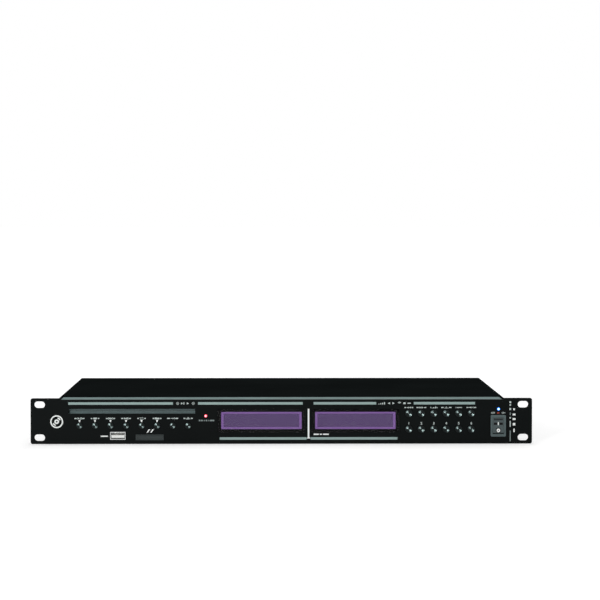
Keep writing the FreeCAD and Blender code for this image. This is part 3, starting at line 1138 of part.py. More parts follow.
def screw(axis, centre, seat, inward, grip, head="screw_head_height"):
    """A screw whose head lies on a seat and whose thread runs through a grip of sheet."""
    outward = "-" if inward == "+" else "+"
    tip = f"{seat} {inward} ({grip} + screw_end)"
    top = f"{seat} {outward} {head}"
    thread = (seat, tip) if inward == "+" else (tip, seat)
    cap = (top, seat) if inward == "+" else (seat, top)
    return join(rod(axis, centre, thread, "screw_radius"), rod(axis, centre, cap, "screw_head_radius"))


def case_screws():
    """Screws of the case and nuts of the panel's studs."""
    items = []
    for y in SIDE_SCREWS:
        items.append(screw("x", (y, "side_screw_z"), "-cover_half", "+", "2 * sheet"))
        items.append(screw("x", (y, "side_screw_z"), "cover_half", "-", "2 * sheet"))
    flange_grip = "2 * sheet + fit_gap"
    flange_spot = ("flange_screw_y", "flange_screw_z")
    items.append(screw("x", flange_spot, "-chassis_half", "+", flange_grip))
    items.append(screw("x", flange_spot, "chassis_half", "-", flange_grip))
    for x in REAR_SCREWS:
        items.append(screw("y", (x, "rear_screw_z"), "cover_back", "-", "2 * sheet"))
    for x in FLOOR_SCREWS:
        items.append(screw("z", (x, "floor_screw_y"), "pad_height", "+", "2 * sheet", "screw_low_head"))
    for x, z in STUD_SPOTS:
        span = ("frame_back", "frame_back + nut_height")
        items.append(carve(hexagon("y", (x, z), span, "nut_radius"), rod("y", (x, z), span, "stud_radius")))
    node("case_screws", group(*items))


def slot_guide():
    """Plastic guide behind the disc slot and the two felt lips bonded into it."""
    guide = Piece("slot_guide")
    frame = guide.outline("front", "frame_back").panel(
        "disc_slot_x", "disc_slot_z", "guide_half_width", "guide_half_height")
    guide.pad(frame, "guide_depth")
    throat = guide.outline("front", "frame_back").panel(
        "disc_slot_x", "disc_slot_z", "disc_slot_width / 2 + frame_ease",
        "disc_slot_height / 2 + run_gap")
    guide.cut(throat)
    pocket = guide.outline("front", "felt_front").panel(
        "disc_slot_x", "disc_slot_z", "disc_slot_width / 2 + guide_step",
        "disc_slot_height / 2 + guide_step")
    guide.cut(pocket)
    node("slot_guide", guide.body)

    lips = []
    for side in "-+":
        near_edge = f"disc_slot_z {side} felt_slit / 2"
        far_edge = f"disc_slot_z {side} (disc_slot_height / 2 + guide_step - run_gap)"
        low, high = (far_edge, near_edge) if side == "-" else (near_edge, far_edge)
        lips.append(block("disc_slot_x", "disc_slot_width / 2 + guide_step - run_gap",
                          ("felt_front", "felt_front + felt_thick"), (low, high)))
    node("felt_lips", group(*lips))


def displays():
    """Two clear windows and the display module behind each."""
    windows = []
    modules = []
    for x in ("cd_display_x", "tuner_display_x"):
        span = [f"display_z {side} (window_height / 2 - fit_gap)" for side in "-+"]
        plate = block(x, "window_width / 2 - fit_gap", ("window_recess", "panel_thick"), span)
        span = [f"display_z {side} (window_height / 2 + window_rim)" for side in "-+"]
        rim = block(x, "window_width / 2 + window_rim", ("panel_thick", "rim_back"), span)
        windows.append(join(plate, rim))

        span = [f"display_z {side} (window_height / 2 + module_low_margin)" for side in "-+"]
        case = block(x, "window_width / 2 + module_margin", ("module_front", "board_front"), span)
        span = [f"display_z {side} window_height / 2" for side in "-+"]
        depth = ("module_front", "module_front + glass_thick")
        modules.append(carve(case, block(x, "window_width / 2", depth, span)))
        span = [f"display_z {side} (window_height / 2 - run_gap)" for side in "-+"]
        modules.append(block(x, "window_width / 2 - run_gap", depth, span))
    node("display_windows", group(*windows))
    node("display_modules", group(*modules))


def control_board():
    """Board behind the panel with one key switch for each button."""
    board = Piece("control_board_sheet")
    slot_edge = "disc_slot_x + guide_half_width + board_slot_ease"
    slot_low = "disc_slot_z - guide_half_height - board_slot_ease"
    outline = board.outline("front", "board_front").loop([
        ("board_left", "board_step_z"), ("board_step_x", "board_step_z"), ("board_step_x", "board_low"),
        ("board_right", "board_low"), ("board_right", "board_tab_z"), ("board_tab_right", "board_tab_z"),
        ("board_tab_right", "board_high"), (slot_edge, "board_high"), (slot_edge, slot_low),
        ("board_left", slot_low)])
    board.pad(outline, "board_thick")

    items = [board.body]
    bore_end = "stem_end + button_travel + seat_gap"
    for name, x, z, radius in button_spots():
        span = [f"{z} {side} key_switch_side / 2" for side in "-+"]
        case = block(x, "key_switch_side / 2", ("key_switch_front", "board_front"), span)
        items.append(carve(case, rod("y", (x, z), ("key_switch_front", bore_end), "stem_radius + run_gap")))
    node("control_board", group(*items))


def button_spots():
    """Name, x, z and cap radius of every button, left to right and top to bottom."""
    spots = []
    for i, name in enumerate(CD_BUTTONS):
        x = f"cd_button_x + {i} * cd_button_pitch"
        spots.append((f"cd_button_{name}", x, "cd_button_z", "cd_button_radius"))
    for names, z in ((TUNER_HIGH_BUTTONS, "tuner_button_high"), (TUNER_LOW_BUTTONS, "tuner_button_low")):
        for i, name in enumerate(names):
            x = f"tuner_button_x + {i} * tuner_button_pitch"
            spots.append((f"tuner_button_{name}", x, z, "tuner_button_radius"))
    return spots


def buttons():
    """Turned metal buttons with a dished face, a collar behind the frame and a stem."""
    for name, x, z, radius in button_spots():
        piece = Piece(name)
        face = "-button_proud"
        collar = f"{radius} + button_flange"
        collar_back = "button_collar_front + button_flange_thick"
        profile = piece.outline("top").loop([
            ("0", f"{face} + button_dish"), (f"{radius} - button_bevel - button_rim", face),
            (f"{radius} - button_bevel", face), (radius, f"{face} + button_bevel"),
            (radius, "button_collar_front"), (collar, "button_collar_front"), (collar, collar_back),
            ("stem_radius", collar_back), ("stem_radius", "stem_end"), ("0", "stem_end")])
        piece.revolve(profile)
        node(name, piece.body, x, "0", z)


def front_leds():
    """Red disc indicator and blue power indicator, with their wires to the control board."""
    items = []
    for x, z in (("disc_led_x", "disc_led_z"), ("power_led_x", "power_led_z")):
        body = rod("y", (x, z), ("-led_proud", "frame_back"), "led_radius")
        dome = cone("y", (x, z), ("-led_proud - led_radius / 2", "-led_proud"),
                    ("led_radius / 2", "led_radius"))
        collar = rod("y", (x, z), ("panel_thick", "frame_back + led_collar_back"),
                     "led_radius + led_collar")
        wires = [rod("y", (f"{x} {side} led_radius / 2", z),
                     ("frame_back", "board_front"), "led_wire") for side in "-+"]
        items.append(join(body, dome, collar, *wires))
    node("front_leds", group(*items))


def usb_socket():
    """Metal shell with feet on the media board, and the plastic tongue inside it."""
    shell = Piece("usb_shell")
    shell.pad(shell.outline("front", "usb_recess").panel(
        "usb_x", "usb_z", "usb_half_width", "usb_half_height"), "usb_length")
    shell.cut(shell.outline("front", "usb_recess").panel(
        "usb_x", "usb_z", "usb_half_width - usb_wall", "usb_half_height - usb_wall"),
        "usb_length - usb_wall")
    feet = shell.outline("front", "usb_back - usb_foot")
    for low, high in (("usb_x - usb_half_width", "usb_x - usb_half_width + 2 * usb_wall"),
                      ("usb_x + usb_half_width - 2 * usb_wall", "usb_x + usb_half_width")):
        feet.rect(low, high, "media_top", "usb_z - usb_half_height + usb_wall / 2")
    shell.pad(feet, "usb_foot")
    node("usb_shell", shell.body)

    low = "usb_z - usb_half_height + usb_wall + usb_tongue_lift"
    tongue = block("usb_x", "usb_tongue_width / 2", ("usb_tongue_recess", "usb_back - usb_wall"),
                   (low, f"{low} + usb_tongue_height"))
    node("usb_tongue", group(tongue))


def card_slot():
    """Card bezel with a throat to the card reader, and its dust flap."""
    bezel = Piece("card_bezel")
    bezel.pad(bezel.outline("front", "-card_proud").panel(
        "card_x", "card_z", "card_half_width", "card_half_height"), "card_throat + card_proud")
    bezel.cut(bezel.outline("front", "-card_proud").panel(
        "card_x", "card_z", "card_slit_width / 2", "card_slit_height / 2"))
    bezel.cut(bezel.outline("side", "card_x - card_half_width").circle(
        "flap_axis_y", "flap_axis_z", "flap_pin + run_gap"))
    node("card_bezel", bezel.body)

    axis = ("flap_axis_y", "flap_axis_z")
    ends = ("card_x - flap_half_width", "card_x + flap_half_width")
    leaf = block("card_x", "flap_half_width", ("flap_recess", "flap_recess + flap_thick"),
                 ("card_z - card_slit_height / 2 + flap_gap", "flap_axis_z"))
    roll = rod("x", axis, ends, "flap_thick / 2")
    pin = rod("x", axis, (f"{ends[0]} - flap_pin_length", f"{ends[1]} + flap_pin_length"), "flap_pin")
    node("card_flap", join(leaf, roll, pin))


def power_switch():
    """Rocker switch: housing with a bezel, and the rocker, which rests in its ON position."""
    housing = Piece("switch_housing")
    spot = ("switch_x", "switch_z")
    housing.pad(housing.outline("front", "-switch_bezel_proud").panel(
        *spot, "switch_bezel_width / 2", "switch_bezel_height / 2"), "switch_bezel_proud")
    housing.dress("Fillet", lambda e, c: runs_along(e, "y"), "switch_bezel_corner")
    housing.pad(housing.outline("front").panel(
        *spot, "switch_tub_width / 2", "switch_tub_height / 2"), "panel_thick - run_gap")
    housing.pad(housing.outline("front", "switch_well_floor").panel(
        *spot, "switch_body_half", "switch_body_height / 2"),
        "switch_body_depth - switch_well_floor")
    blades = housing.outline("front", "switch_body_depth")
    for side in "-+":
        blades.panel("switch_x", f"(switch_z {side} blade_pitch / 2)", "blade_width / 2",
                     "blade_thick / 2")
    housing.pad(blades, "blade_length")
    housing.cut(housing.outline("front", "-switch_bezel_proud").panel(
        *spot, "switch_well_width / 2", "switch_well_height / 2"),
        "switch_bezel_proud + switch_well_floor")
    housing.cut(housing.outline("front", "-switch_bezel_proud").panel(
        *spot, "switch_pit_width / 2", "switch_pit_height / 2"),
        "switch_bezel_proud + switch_pit_floor")
    housing.cut(housing.outline("side", "switch_x - rocker_width / 2 - rocker_pin_length - run_gap").circle(
        "rocker_pivot", "switch_z", "rocker_pin + run_gap"),
        "rocker_width + 2 * rocker_pin_length + 2 * run_gap")
    node("switch_housing", housing.body)

    rocker = Piece("power_rocker")
    middle = "-rocker_middle - rocker_pivot"
    end = f"{middle} - rocker_half * tan(rocker_tilt)"
    back = "rocker_back - rocker_pivot"
    rocker.pad(rocker.outline("side", "-rocker_width / 2").loop([
        (middle, "0"), (end, "-rocker_half"), (back, "rocker_draft - rocker_half"),
        (back, "rocker_half - rocker_draft"), (end, "rocker_half")]), "rocker_width")
    rocker.pad(rocker.outline("side", "-rocker_width / 2 - rocker_pin_length").circle(
        "0", "0", "rocker_pin"), "rocker_width + 2 * rocker_pin_length")
    rocker.pad(rocker.outline("side", "-rocker_foot_width / 2").rect(
        "0", "rocker_foot_depth - rocker_pivot", "-rocker_foot_half", "rocker_foot_half"),
        "rocker_foot_width")
    node("power_rocker", rocker.body, "switch_x", "rocker_pivot", "switch_z", Rotation(Vector(1, 0, 0), 1))
    bind(rocker.body, "Placement.Rotation.Angle", "-rocker_tilt")


def mech_base():
    """Bent sheet base of the disc mechanism, on four feet, with the bracket of the loading motor."""
    outer_walls = box(("mech_left", "mech_right"), ("mech_front", "mech_back"), ("mech_low", "mech_high"))
    hollow = box(("mech_left + mech_sheet", "mech_right - mech_sheet"),
                 ("mech_front - sheet", "mech_back + sheet"), ("mech_floor", "mech_high + sheet"))
    feet = [rod("z", (x, y), ("floor_top", "mech_low"), "mech_foot_radius")
            for x in ("mech_left + mech_foot_inset", "mech_right - mech_foot_inset")
            for y in ("mech_front + mech_foot_inset", "mech_back - mech_foot_inset")]
    pivot = ("arm_pivot_y", "arm_pivot_z")
    stub = rod("x", pivot, ("mech_left + mech_sheet / 2", "disc_slot_x - arm_inner + seat_gap"), "arm_stub")
    bracket = box(("motor_front_x", "motor_front_x + mech_sheet"),
                  ("arm_pivot_y - motor_radius", "arm_pivot_y + motor_radius"),
                  ("mech_floor - mech_sheet / 2", "arm_pivot_z + motor_radius"))
    nose_hole = rod("x", pivot, ("motor_front_x - sheet", "motor_front_x + mech_sheet + sheet"),
                    "motor_nose + run_gap")
    wall = ("mech_right - 2 * mech_sheet", "mech_right + mech_sheet")
    shaft_hole = rod("x", pivot, wall, "2 * shaft_radius")
    roller_gap = box(wall, ("roller_y - roller_gap_half", "roller_y + roller_gap_half"),
                     ("roller_z - roller_gap_drop", "roller_z + roller_gap_rise"))
    reader_gap = block("card_x", "card_half_width + sheet",
                       ("mech_front - sheet", "card_throat + reader_length + sheet"),
                       ("mech_low - sheet", "mech_floor + sheet"))
    walls = carve(outer_walls, hollow, shaft_hole, roller_gap, reader_gap)
    node("mech_base", join(walls, *feet, stub, carve(bracket, nose_hole)))

    dampers = [rod("z", (f"disc_slot_x {side} damper_spread", y), ("mech_floor", "traverse_low"),
                   "damper_radius")
               for side in "-+" for y in ("damper_front", "damper_back")]
    node("mech_dampers", group(*dampers))


def mech_top_plate():
    """Sheet over the mechanism, with the clamp arm's two brackets and the two disc guides."""
    plate = box(("mech_left", "mech_right"), ("mech_front", "mech_back"),
                ("mech_high", "mech_high + sheet"))
    axis = ("clamp_pivot_y", "clamp_pivot_z")
    items = [plate]
    for side in "-+":
        near_x = f"disc_slot_x {side} (clamp_barrel_half + clamp_bracket_gap)"
        far_x = f"{near_x} {side} clamp_bracket"
        span = (near_x, far_x) if side == "+" else (far_x, near_x)
        ear = box(span, ("clamp_pivot_y - clamp_ear_half", "clamp_pivot_y + clamp_ear_half"),
                  ("clamp_pivot_z - clamp_ear_drop", "mech_high"))
        items.append(carve(ear, rod("x", axis, span, "shaft_radius + run_gap")))
        inner, outer = f"disc_slot_x {side} disc_guide_inner", f"disc_slot_x {side} disc_guide_outer"
        span = (inner, outer) if side == "+" else (outer, inner)
        items.append(box(span, ("mech_front + mech_foot_inset", "disc_guide_back"),
                         ("disc_guide_low", "mech_high")))
    node("mech_top_plate", join(*items))


def clamp():
    """Clamp arm on its hinge and the puck that hangs in it."""
    axis = ("clamp_pivot_y", "clamp_pivot_z")
    plate = block("disc_slot_x", "clamp_half", ("clamp_arm_front", "clamp_pivot_y"),
                  ("clamp_arm_low", "clamp_arm_top"))
    half = "clamp_barrel_half"
    barrel = rod("x", axis, (f"disc_slot_x - {half}", f"disc_slot_x + {half}"), "clamp_barrel")
    reach = f"({half} + clamp_bracket_gap + clamp_bracket + seat_gap)"
    pin = rod("x", axis, (f"disc_slot_x - {reach}", f"disc_slot_x + {reach}"), "shaft_radius")
    middle = ("disc_slot_x", "spindle_y")
    eye = rod("z", middle, ("clamp_arm_low - sheet", "clamp_arm_top + sheet"), "puck_neck + frame_ease")
    node("clamp_arm", join(carve(plate, eye), barrel, pin))

    top = "puck_low + puck_height"
    disc = rod("z", middle, ("puck_low", top), "puck_radius")
    recess = rod("z", middle, ("puck_low", "puck_low + puck_recess"), "puck_recess_radius")
    head_low = "clamp_arm_top + frame_ease"
    neck = rod("z", middle, (top, head_low), "puck_neck")
    head = rod("z", middle, (head_low, f"{head_low} + puck_head_height"), "puck_head")
    node("clamp_puck", join(carve(disc, recess), neck, head))


def loading_motor():
    """Loading motor. Its nose is the right pivot of the roller arm."""
    pivot = ("arm_pivot_y", "arm_pivot_z")
    can = rod("x", pivot, ("motor_front_x - motor_length", "motor_front_x"), "motor_radius")
    nose = rod("x", pivot, ("motor_front_x", "disc_slot_x + arm_outer + seat_gap"), "motor_nose")
    bore = rod("x", pivot, ("motor_front_x - motor_length / 2 - seat_gap", "disc_slot_x + arm_outer + sheet"),
               "shaft_radius + run_gap")
    return carve(join(can, nose), bore)


def traverse():
    """Traverse plate with its posts and guide rods, the mechanism's motors, and the leadscrew."""
    plate = block("disc_slot_x", "traverse_half", ("traverse_front", "traverse_back"),
                  ("traverse_low", "traverse_top"))
    window = block("disc_slot_x", "rod_spread - rod_post_width",
                   ("lens_y - pickup_ahead", "lens_y + pickup_travel + pickup_behind"),
                   ("traverse_low - sheet", "traverse_top + sheet"))
    solids = [carve(plate, window)]
    rods = []
    half = "rod_post_width / 2"
    tall = ("traverse_top", "rod_z + rod_post_width / 2")
    rear = ("rod_back", "traverse_back")
    for x in ("disc_slot_x - rod_spread", "disc_slot_x + rod_spread"):
        for span in (("rod_front", "rod_front + rod_post"), rear):
            solids.append(carve(block(x, half, span, tall), rod("y", (x, "rod_z"), span, "rod_radius")))
        rods.append(rod("y", (x, "rod_z"), ("rod_front", "traverse_back"), "rod_radius"))
    solids.append(carve(block("screw_x", half, rear, tall),
                        rod("y", ("screw_x", "rod_z"), rear, "shaft_radius + run_gap")))
    node("traverse_plate", group(join(*solids), *rods))

    spindle = ("disc_slot_x", "spindle_y")
    motor_top = "traverse_top + spindle_motor_height"
    spindle_motor = carve(rod("z", spindle, ("traverse_top", motor_top), "spindle_motor_radius"),
                          rod("z", spindle, ("traverse_top + sheet", motor_top), "shaft_radius + run_gap"))
    screw_axis = ("screw_x", "rod_z")
    feed = ("feed_motor_front", "rod_front")
    feed_motor = carve(rod("y", screw_axis, feed, "feed_motor_radius"),
                       rod("y", screw_axis, ("feed_motor_front + 2 * sheet", "rod_front"),
                           "shaft_radius + run_gap"))
    cradle = carve(block("screw_x", "feed_motor_radius", feed, ("traverse_top", "rod_z")),
                   rod("y", screw_axis, feed, "feed_motor_radius"))
    motors = [spindle_motor, feed_motor, cradle, loading_motor()]
    node("mech_motors", group(*motors))

    thread = rod("y", screw_axis, ("rod_front + frame_ease", "rod_back - frame_ease"), "rod_radius")
    journal = rod("y", screw_axis, ("feed_motor_front + 3 * sheet", "traverse_back - frame_ease"),
                  "shaft_radius")
    node("leadscrew", join(thread, journal))


def turntable():
    """Turntable with its hub, centring cone and shaft."""
    table = Piece("turntable")
    shaft_low = "traverse_top + 2 * sheet"
    profile = table.outline("front").loop([
        ("0", shaft_low), ("shaft_radius", shaft_low), ("shaft_radius", "turntable_low"),
        ("turntable_hub", "turntable_low"), ("turntable_hub", "turntable_plate"),
        ("turntable_radius", "turntable_plate"), ("turntable_radius", "disc_seat"),
        ("cone_low_radius", "disc_seat"), ("cone_high_radius", "disc_seat + cone_height"),
        ("0", "disc_seat + cone_height")])
    table.revolve(profile)
    node("turntable", table.body, "disc_slot_x", "spindle_y")


def optical_pickup():
    """Pickup block on the guide rods, with its lens."""
    case = box(("disc_slot_x - pickup_left", "disc_slot_x + pickup_right"),
               ("lens_y - pickup_ahead", "lens_y + pickup_behind"), ("pickup_low", "pickup_top"))
    span = ("lens_y - pickup_ahead - sheet", "lens_y + pickup_behind + sheet")
    bores = [rod("y", (x, "rod_z"), span, "rod_radius + run_gap")
             for x in ("disc_slot_x - rod_spread", "disc_slot_x + rod_spread", "screw_x")]
    middle = ("disc_slot_x", "lens_y")
    holder_top = "pickup_top + lens_holder_height"
    holder = rod("z", middle, ("pickup_top", holder_top), "lens_holder_radius")
    lens = cone("z", middle, (holder_top, f"{holder_top} + lens_height"),
                ("lens_radius", "lens_radius / 2"))
    node("optical_pickup", group(join(carve(case, *bores), holder), lens))


def pulley(centre, radius):
    """A pulley with two rims, beside the base's right wall."""
    low, high = "pulley_x", "pulley_x + pulley_width"
    rims = [rod("x", centre, span, f"{radius} + pulley_rim")
            for span in ((low, f"{low} + pulley_rim_thick"), (f"{high} - pulley_rim_thick", high))]
    return join(rod("x", centre, (low, high), radius), *rims)


def roller_drive():
    """Roller arm, the disc roller and the motor's shaft with their pulleys, and the belt."""
    pivot = ("arm_pivot_y", "arm_pivot_z")
    roller = ("roller_y", "roller_z")
    left = ("disc_slot_x - arm_outer", "disc_slot_x - arm_inner")
    right = ("disc_slot_x + arm_inner", "disc_slot_x + arm_outer")
    parts = []
    for name, span, hole in (("left_cheek", left, "arm_stub"), ("right_cheek", right, "motor_nose")):
        cheek = Piece(name)
        cheek.pad(cheek.outline("side", span[0]).loop([
            ("arm_pivot_y", "arm_pivot_z - arm_pivot_boss"),
            ("arm_pivot_y + arm_pivot_boss", "arm_pivot_z"),
            ("arm_pivot_y", "arm_pivot_z + arm_pivot_boss"),
            ("roller_y", "roller_z + arm_roller_boss"), ("roller_y - arm_roller_boss", "roller_z"),
            ("arm_bar_y - arm_bar", "arm_bar_z - arm_bar"),
            ("arm_bar_y + arm_bar", "arm_bar_z - arm_bar")]), "arm_sheet")
        holes = cheek.outline("side", span[0])
        holes.circle(*pivot, f"{hole} + run_gap")
        holes.circle(*roller, "roller_shaft + run_gap")
        cheek.cut(holes)
        parts.append(cheek.body)
    parts.append(box((left[0], right[1]), ("arm_bar_y - arm_bar", "arm_bar_y + arm_bar"),
                     ("arm_bar_z - arm_bar", "arm_bar_z")))
    node("roller_arm", join(*parts))

    shaft = rod("x", pivot, ("motor_front_x - motor_length / 2", "pulley_x + pulley_width"),
                "shaft_radius")
    node("motor_pulley", join(pulley(pivot, "motor_pulley"), shaft))

    shaft = rod("x", roller, ("disc_slot_x - arm_outer - sheet", "pulley_x + pulley_width"),
                "roller_shaft")
    sleeves = []
    for side in "-+":
        inner, outer = f"disc_slot_x {side} roller_inner", f"disc_slot_x {side} roller_outer"
        span, radii = (inner, outer), ("roller_thin", "roller_thick")
        if side == "-":
            span, radii = (outer, inner), ("roller_thick", "roller_thin")
        sleeves.append(carve(cone("x", roller, span, radii), rod("x", roller, span, "roller_shaft")))
    node("disc_roller", group(join(pulley(roller, "roller_pulley"), shaft), *sleeves))

    belt = Piece("belt")
    start = "pulley_x + pulley_rim_thick + seat_gap"
    outer = [f"{radius} + run_gap + belt_thick" for radius in ("motor_pulley", "roller_pulley")]
    inner = [f"{radius} + run_gap" for radius in ("motor_pulley", "roller_pulley")]
    belt.pad(belt.outline("side", start).belt(pivot, outer[0], roller, outer[1]), "belt_width")
    belt.cut(belt.outline("side", start).belt(pivot, inner[0], roller, inner[1]))
    node("loading_belt", belt.body)


def main_board():
    """Main board with its chips and connectors, the audio socket block and the media board."""
    board = box(("main_board_left", "main_board_right"), ("main_board_front", "main_board_back"),
                ("boards_low", "boards_top"))
    items = [board]
    for i in range(3):
        items.append(block(f"chip_x + {i} * chip_pitch", "chip_half",
                           ("chip_y - chip_half", "chip_y + chip_half"),
                           ("boards_top", "boards_top + chip_height")))
    for i in range(4):
        items.append(rod("z", (f"capacitor_x + {i} * capacitor_pitch", "capacitor_y"),
                         ("boards_top", "boards_top + capacitor_height"), "capacitor_radius"))

    margin = "audio_block_margin"
    half = f"(audio_pitch / 2 + {margin})"
    back = box((f"audio_x - {half}", f"audio_x + {half}"), ("rear_face - audio_block_depth", "rear_face"),
               ("boards_top", f"audio_high + {margin}"))
    shelf = box((f"audio_x - {half}", f"audio_x + {half}"), ("main_board_back - audio_shelf", "rear_face"),
                ("boards_top", "boards_top + audio_shelf_thick"))
    collars = [rod("y", spot, ("rear_face", "case_depth + audio_collar_length"), "audio_collar")
               for spot in AUDIO_SPOTS]
    items.append(join(back, shelf, *collars))

    media = box(("usb_x - usb_width / 2 - media_margin", "card_x + card_width / 2 + media_margin"),
                ("frame_low_flange + frame_ease", "card_throat + reader_length + media_margin"),
                ("media_low", "media_top"))
    depth = ("card_throat + seat_gap", "card_throat + reader_length")
    hollow = ("card_throat", "card_throat + reader_length - reader_wall")
    reader = carve(block("card_x", "card_half_width", depth, ("media_top", "media_top + reader_height")),
                   block("card_x", "card_slit_width / 2", hollow,
                         ("media_top + reader_wall", "media_top + reader_height - reader_wall")))
    items += [media, reader]
    node("main_board", group(*items))

    wall = "tuner_module_wall"
    can = block("aerial_x", "tuner_module_width / 2", ("rear_face - tuner_module_length", "rear_face"),
                ("boards_top", "boards_top + tuner_module_height"))
    hollow = block("aerial_x", f"tuner_module_width / 2 - {wall}",
                   (f"rear_face - tuner_module_length + {wall}", f"rear_face - {wall}"),
                   ("boards_top", f"boards_top + tuner_module_height - {wall}"))
    node("tuner_module", carve(can, hollow))


def heat_sink():
    """Upright plate with a row of fins."""
    sink = Piece("heat_sink")
    x, y = "power_board_left + sink_x", "power_board_front + sink_y"
    outline = sink.outline("top", "boards_top")
    sink.pad(outline.rect(x, f"{x} + sink_plate", y, f"{y} + sink_length"), "sink_height")
    fin = sink.outline("top", "boards_top").rect(
        f"{x} + sink_plate / 2", f"{x} + sink_plate + fin_length", y, f"{y} + fin_thick")
    first = sink.pad(fin, "sink_height")
    sink.column(first, fin, "fin_pitch", "floor(sink_length / fin_pitch) + 1")
    return sink.body


def power_supply():
    """Power board with its parts, and the wiring between the boards and the switch."""
    board = box(("power_board_left", "power_board_right"), ("power_board_front", "power_board_back"),
                ("boards_low", "boards_top"))
    x, y = "power_board_left + transformer_x", "power_board_front + transformer_y"
    core = block(x, "core_width / 2", (f"{y} - core_depth / 2", f"{y} + core_depth / 2"),
                 ("boards_top", "boards_top + core_height"))
    winding = block(x, "winding_width / 2", (f"{y} - winding_depth / 2", f"{y} + winding_depth / 2"),
                    ("boards_top + winding_margin", "boards_top + core_height - winding_margin"))
    items = [board, join(core, winding)]
    for i in range(3):
        x = f"power_board_left + reservoir_x + {i} * reservoir_pitch"
        items.append(rod("z", (x, "power_board_front + reservoir_y"),
                         ("boards_top", "boards_top + reservoir_height"), "reservoir_radius"))
    items.append(heat_sink())
    items.append(block("switch_x", "switch_body_half - fit_gap",
                       ("power_board_front", "power_board_front + terminal_length"),
                       ("boards_top", "switch_z + blade_pitch / 2 + terminal_margin")))
    node("power_supply", group(*items))

    wires = [rod("y", ("switch_x", f"switch_z {side} blade_pitch / 2"),
                 ("switch_body_depth + blade_length", "power_board_front"), "wire_radius")
             for side in "-+"]
    ribbon = Piece("ribbon")
    bend = "main_board_front + ribbon_landing"
    profile = ribbon.outline("side", "ribbon_x - ribbon_width / 2").loop([
        ("board_back", "ribbon_z"), (bend, "ribbon_z"), (bend, "boards_top"),
        (f"{bend} + ribbon_thick", "boards_top"),
        (f"{bend} + ribbon_thick", "ribbon_z + ribbon_thick"),
        ("board_back", "ribbon_z + ribbon_thick")])
    ribbon.pad(profile, "ribbon_width")
    node("wiring", group(*wires, ribbon.body))


def mains_inlet():
    """Mains inlet with its three pins, and the fuse drawer under its mouth."""
    housing = Piece("mains_inlet_housing")
    middle = "(inlet_low + inlet_high) / 2"
    half_height = "(inlet_high - inlet_low) / 2"
    housing.pad(housing.outline("front", "case_depth - inlet_depth").panel(
        "inlet_x", middle, "inlet_half", half_height), "inlet_depth")
    housing.pad(housing.outline("front", "case_depth").panel(
        "inlet_x", middle, "inlet_half + inlet_flange", f"{half_height} + inlet_flange"),
        "inlet_flange_thick")
    housing.cut(housing.outline("front", "inlet_back - inlet_mouth_depth").rect(
        "inlet_x - inlet_mouth_width / 2", "inlet_x + inlet_mouth_width / 2",
        "inlet_mouth_low", "inlet_mouth_high"))
    housing.cut(housing.outline("front", "inlet_back - drawer_length - frame_ease").rect(
        "inlet_x - drawer_width / 2 - fit_gap", "inlet_x + drawer_width / 2 + fit_gap",
        "drawer_low - fit_gap", "drawer_low + drawer_height + fit_gap"))
    items = [housing.body]
    root = "inlet_back - inlet_mouth_depth"
    for x, z in (("inlet_x - inlet_pin_spread", "inlet_pin_z"), ("inlet_x", "inlet_earth_z"),
                 ("inlet_x + inlet_pin_spread", "inlet_pin_z")):
        items.append(block(x, "inlet_pin_width / 2", (root, f"{root} + inlet_pin_length"),
                           (f"{z} - inlet_pin_height / 2", f"{z} + inlet_pin_height / 2")))
    node("mains_inlet", group(*items))

    carrier = block("inlet_x", "drawer_width / 2", ("inlet_back - drawer_length", "inlet_back"),
                    ("drawer_low", "drawer_low + drawer_height"))
    grip = block("inlet_x", "drawer_width / 4", ("inlet_back - sheet", "inlet_back + drawer_proud"),
                 ("drawer_low + drawer_height / 4", "drawer_low + 3 * drawer_height / 4"))
    node("fuse_drawer", join(carrier, grip))


def rear_sockets():
    """Metal shells of the audio sockets and the aerial socket with its nut."""
    items = []
    collar_end = "case_depth + audio_collar_length"
    for spot in AUDIO_SPOTS:
        span = (collar_end, "case_depth + audio_reach")
        items.append(carve(rod("y", spot, span, "audio_shell"), rod("y", spot, span, "audio_bore")))
    spot = ("aerial_x", "aerial_z")
    end = "case_depth + aerial_reach"
    span = ("case_depth", "case_depth + aerial_nut_thick")
    thread = rod("y", spot, ("rear_face", span[1]), "aerial_thread")
    barrel = rod("y", spot, (span[1], end), "aerial_radius")
    bore = rod("y", spot, (f"{end} - aerial_reach / 2", end), "aerial_radius / 4")
    items.append(carve(join(thread, barrel), bore))
    items.append(carve(hexagon("y", spot, span, "aerial_nut"), rod("y", spot, span, "aerial_thread")))
    node("rear_sockets", group(*items))


def build():
    """Make every sub-part."""
    fill_sheet()
    for make in (front_panel, front_frame, chassis, top_cover, rear_panel, rubber_pads, case_screws,
                 slot_guide, displays, control_board, buttons, front_leds, usb_socket, card_slot,
                 power_switch, mech_base, mech_top_plate, clamp, traverse, turntable, optical_pickup,
                 roller_drive, main_board, power_supply, mains_inlet, rear_sockets):
        make()
    DOC.recompute()


def check():
    """Stop if a feature failed, a cut removed nothing or a finished piece isn't sound."""
    for item in DOC.Objects:
        if "Invalid" in item.State or "Error" in item.State:
            raise RuntimeError(f"{item.Label} ({item.TypeId}) failed: {item.State}")
        if item.TypeId == "PartDesign::Pocket":
            if near(item.Shape.Volume, item.BaseFeature.Shape.Volume):
                raise RuntimeError(f"{item.Label} of {item.getParentGeoFeatureGroup().Label} cuts nothing")
    for item in NODES:
        if item.Shape.isNull() or not item.Shape.isValid() or not item.Shape.Solids:
            raise RuntimeError(f"{item.Label} has no sound shape")


def export():
    """Write one file for each finished piece."""
    os.makedirs("parts", exist_ok=True)
    for item in NODES:
        item.Shape.exportStep(f"parts/{item.Label}.step")
    print(f"{len(NODES)} pieces written")


build()
check()
export()
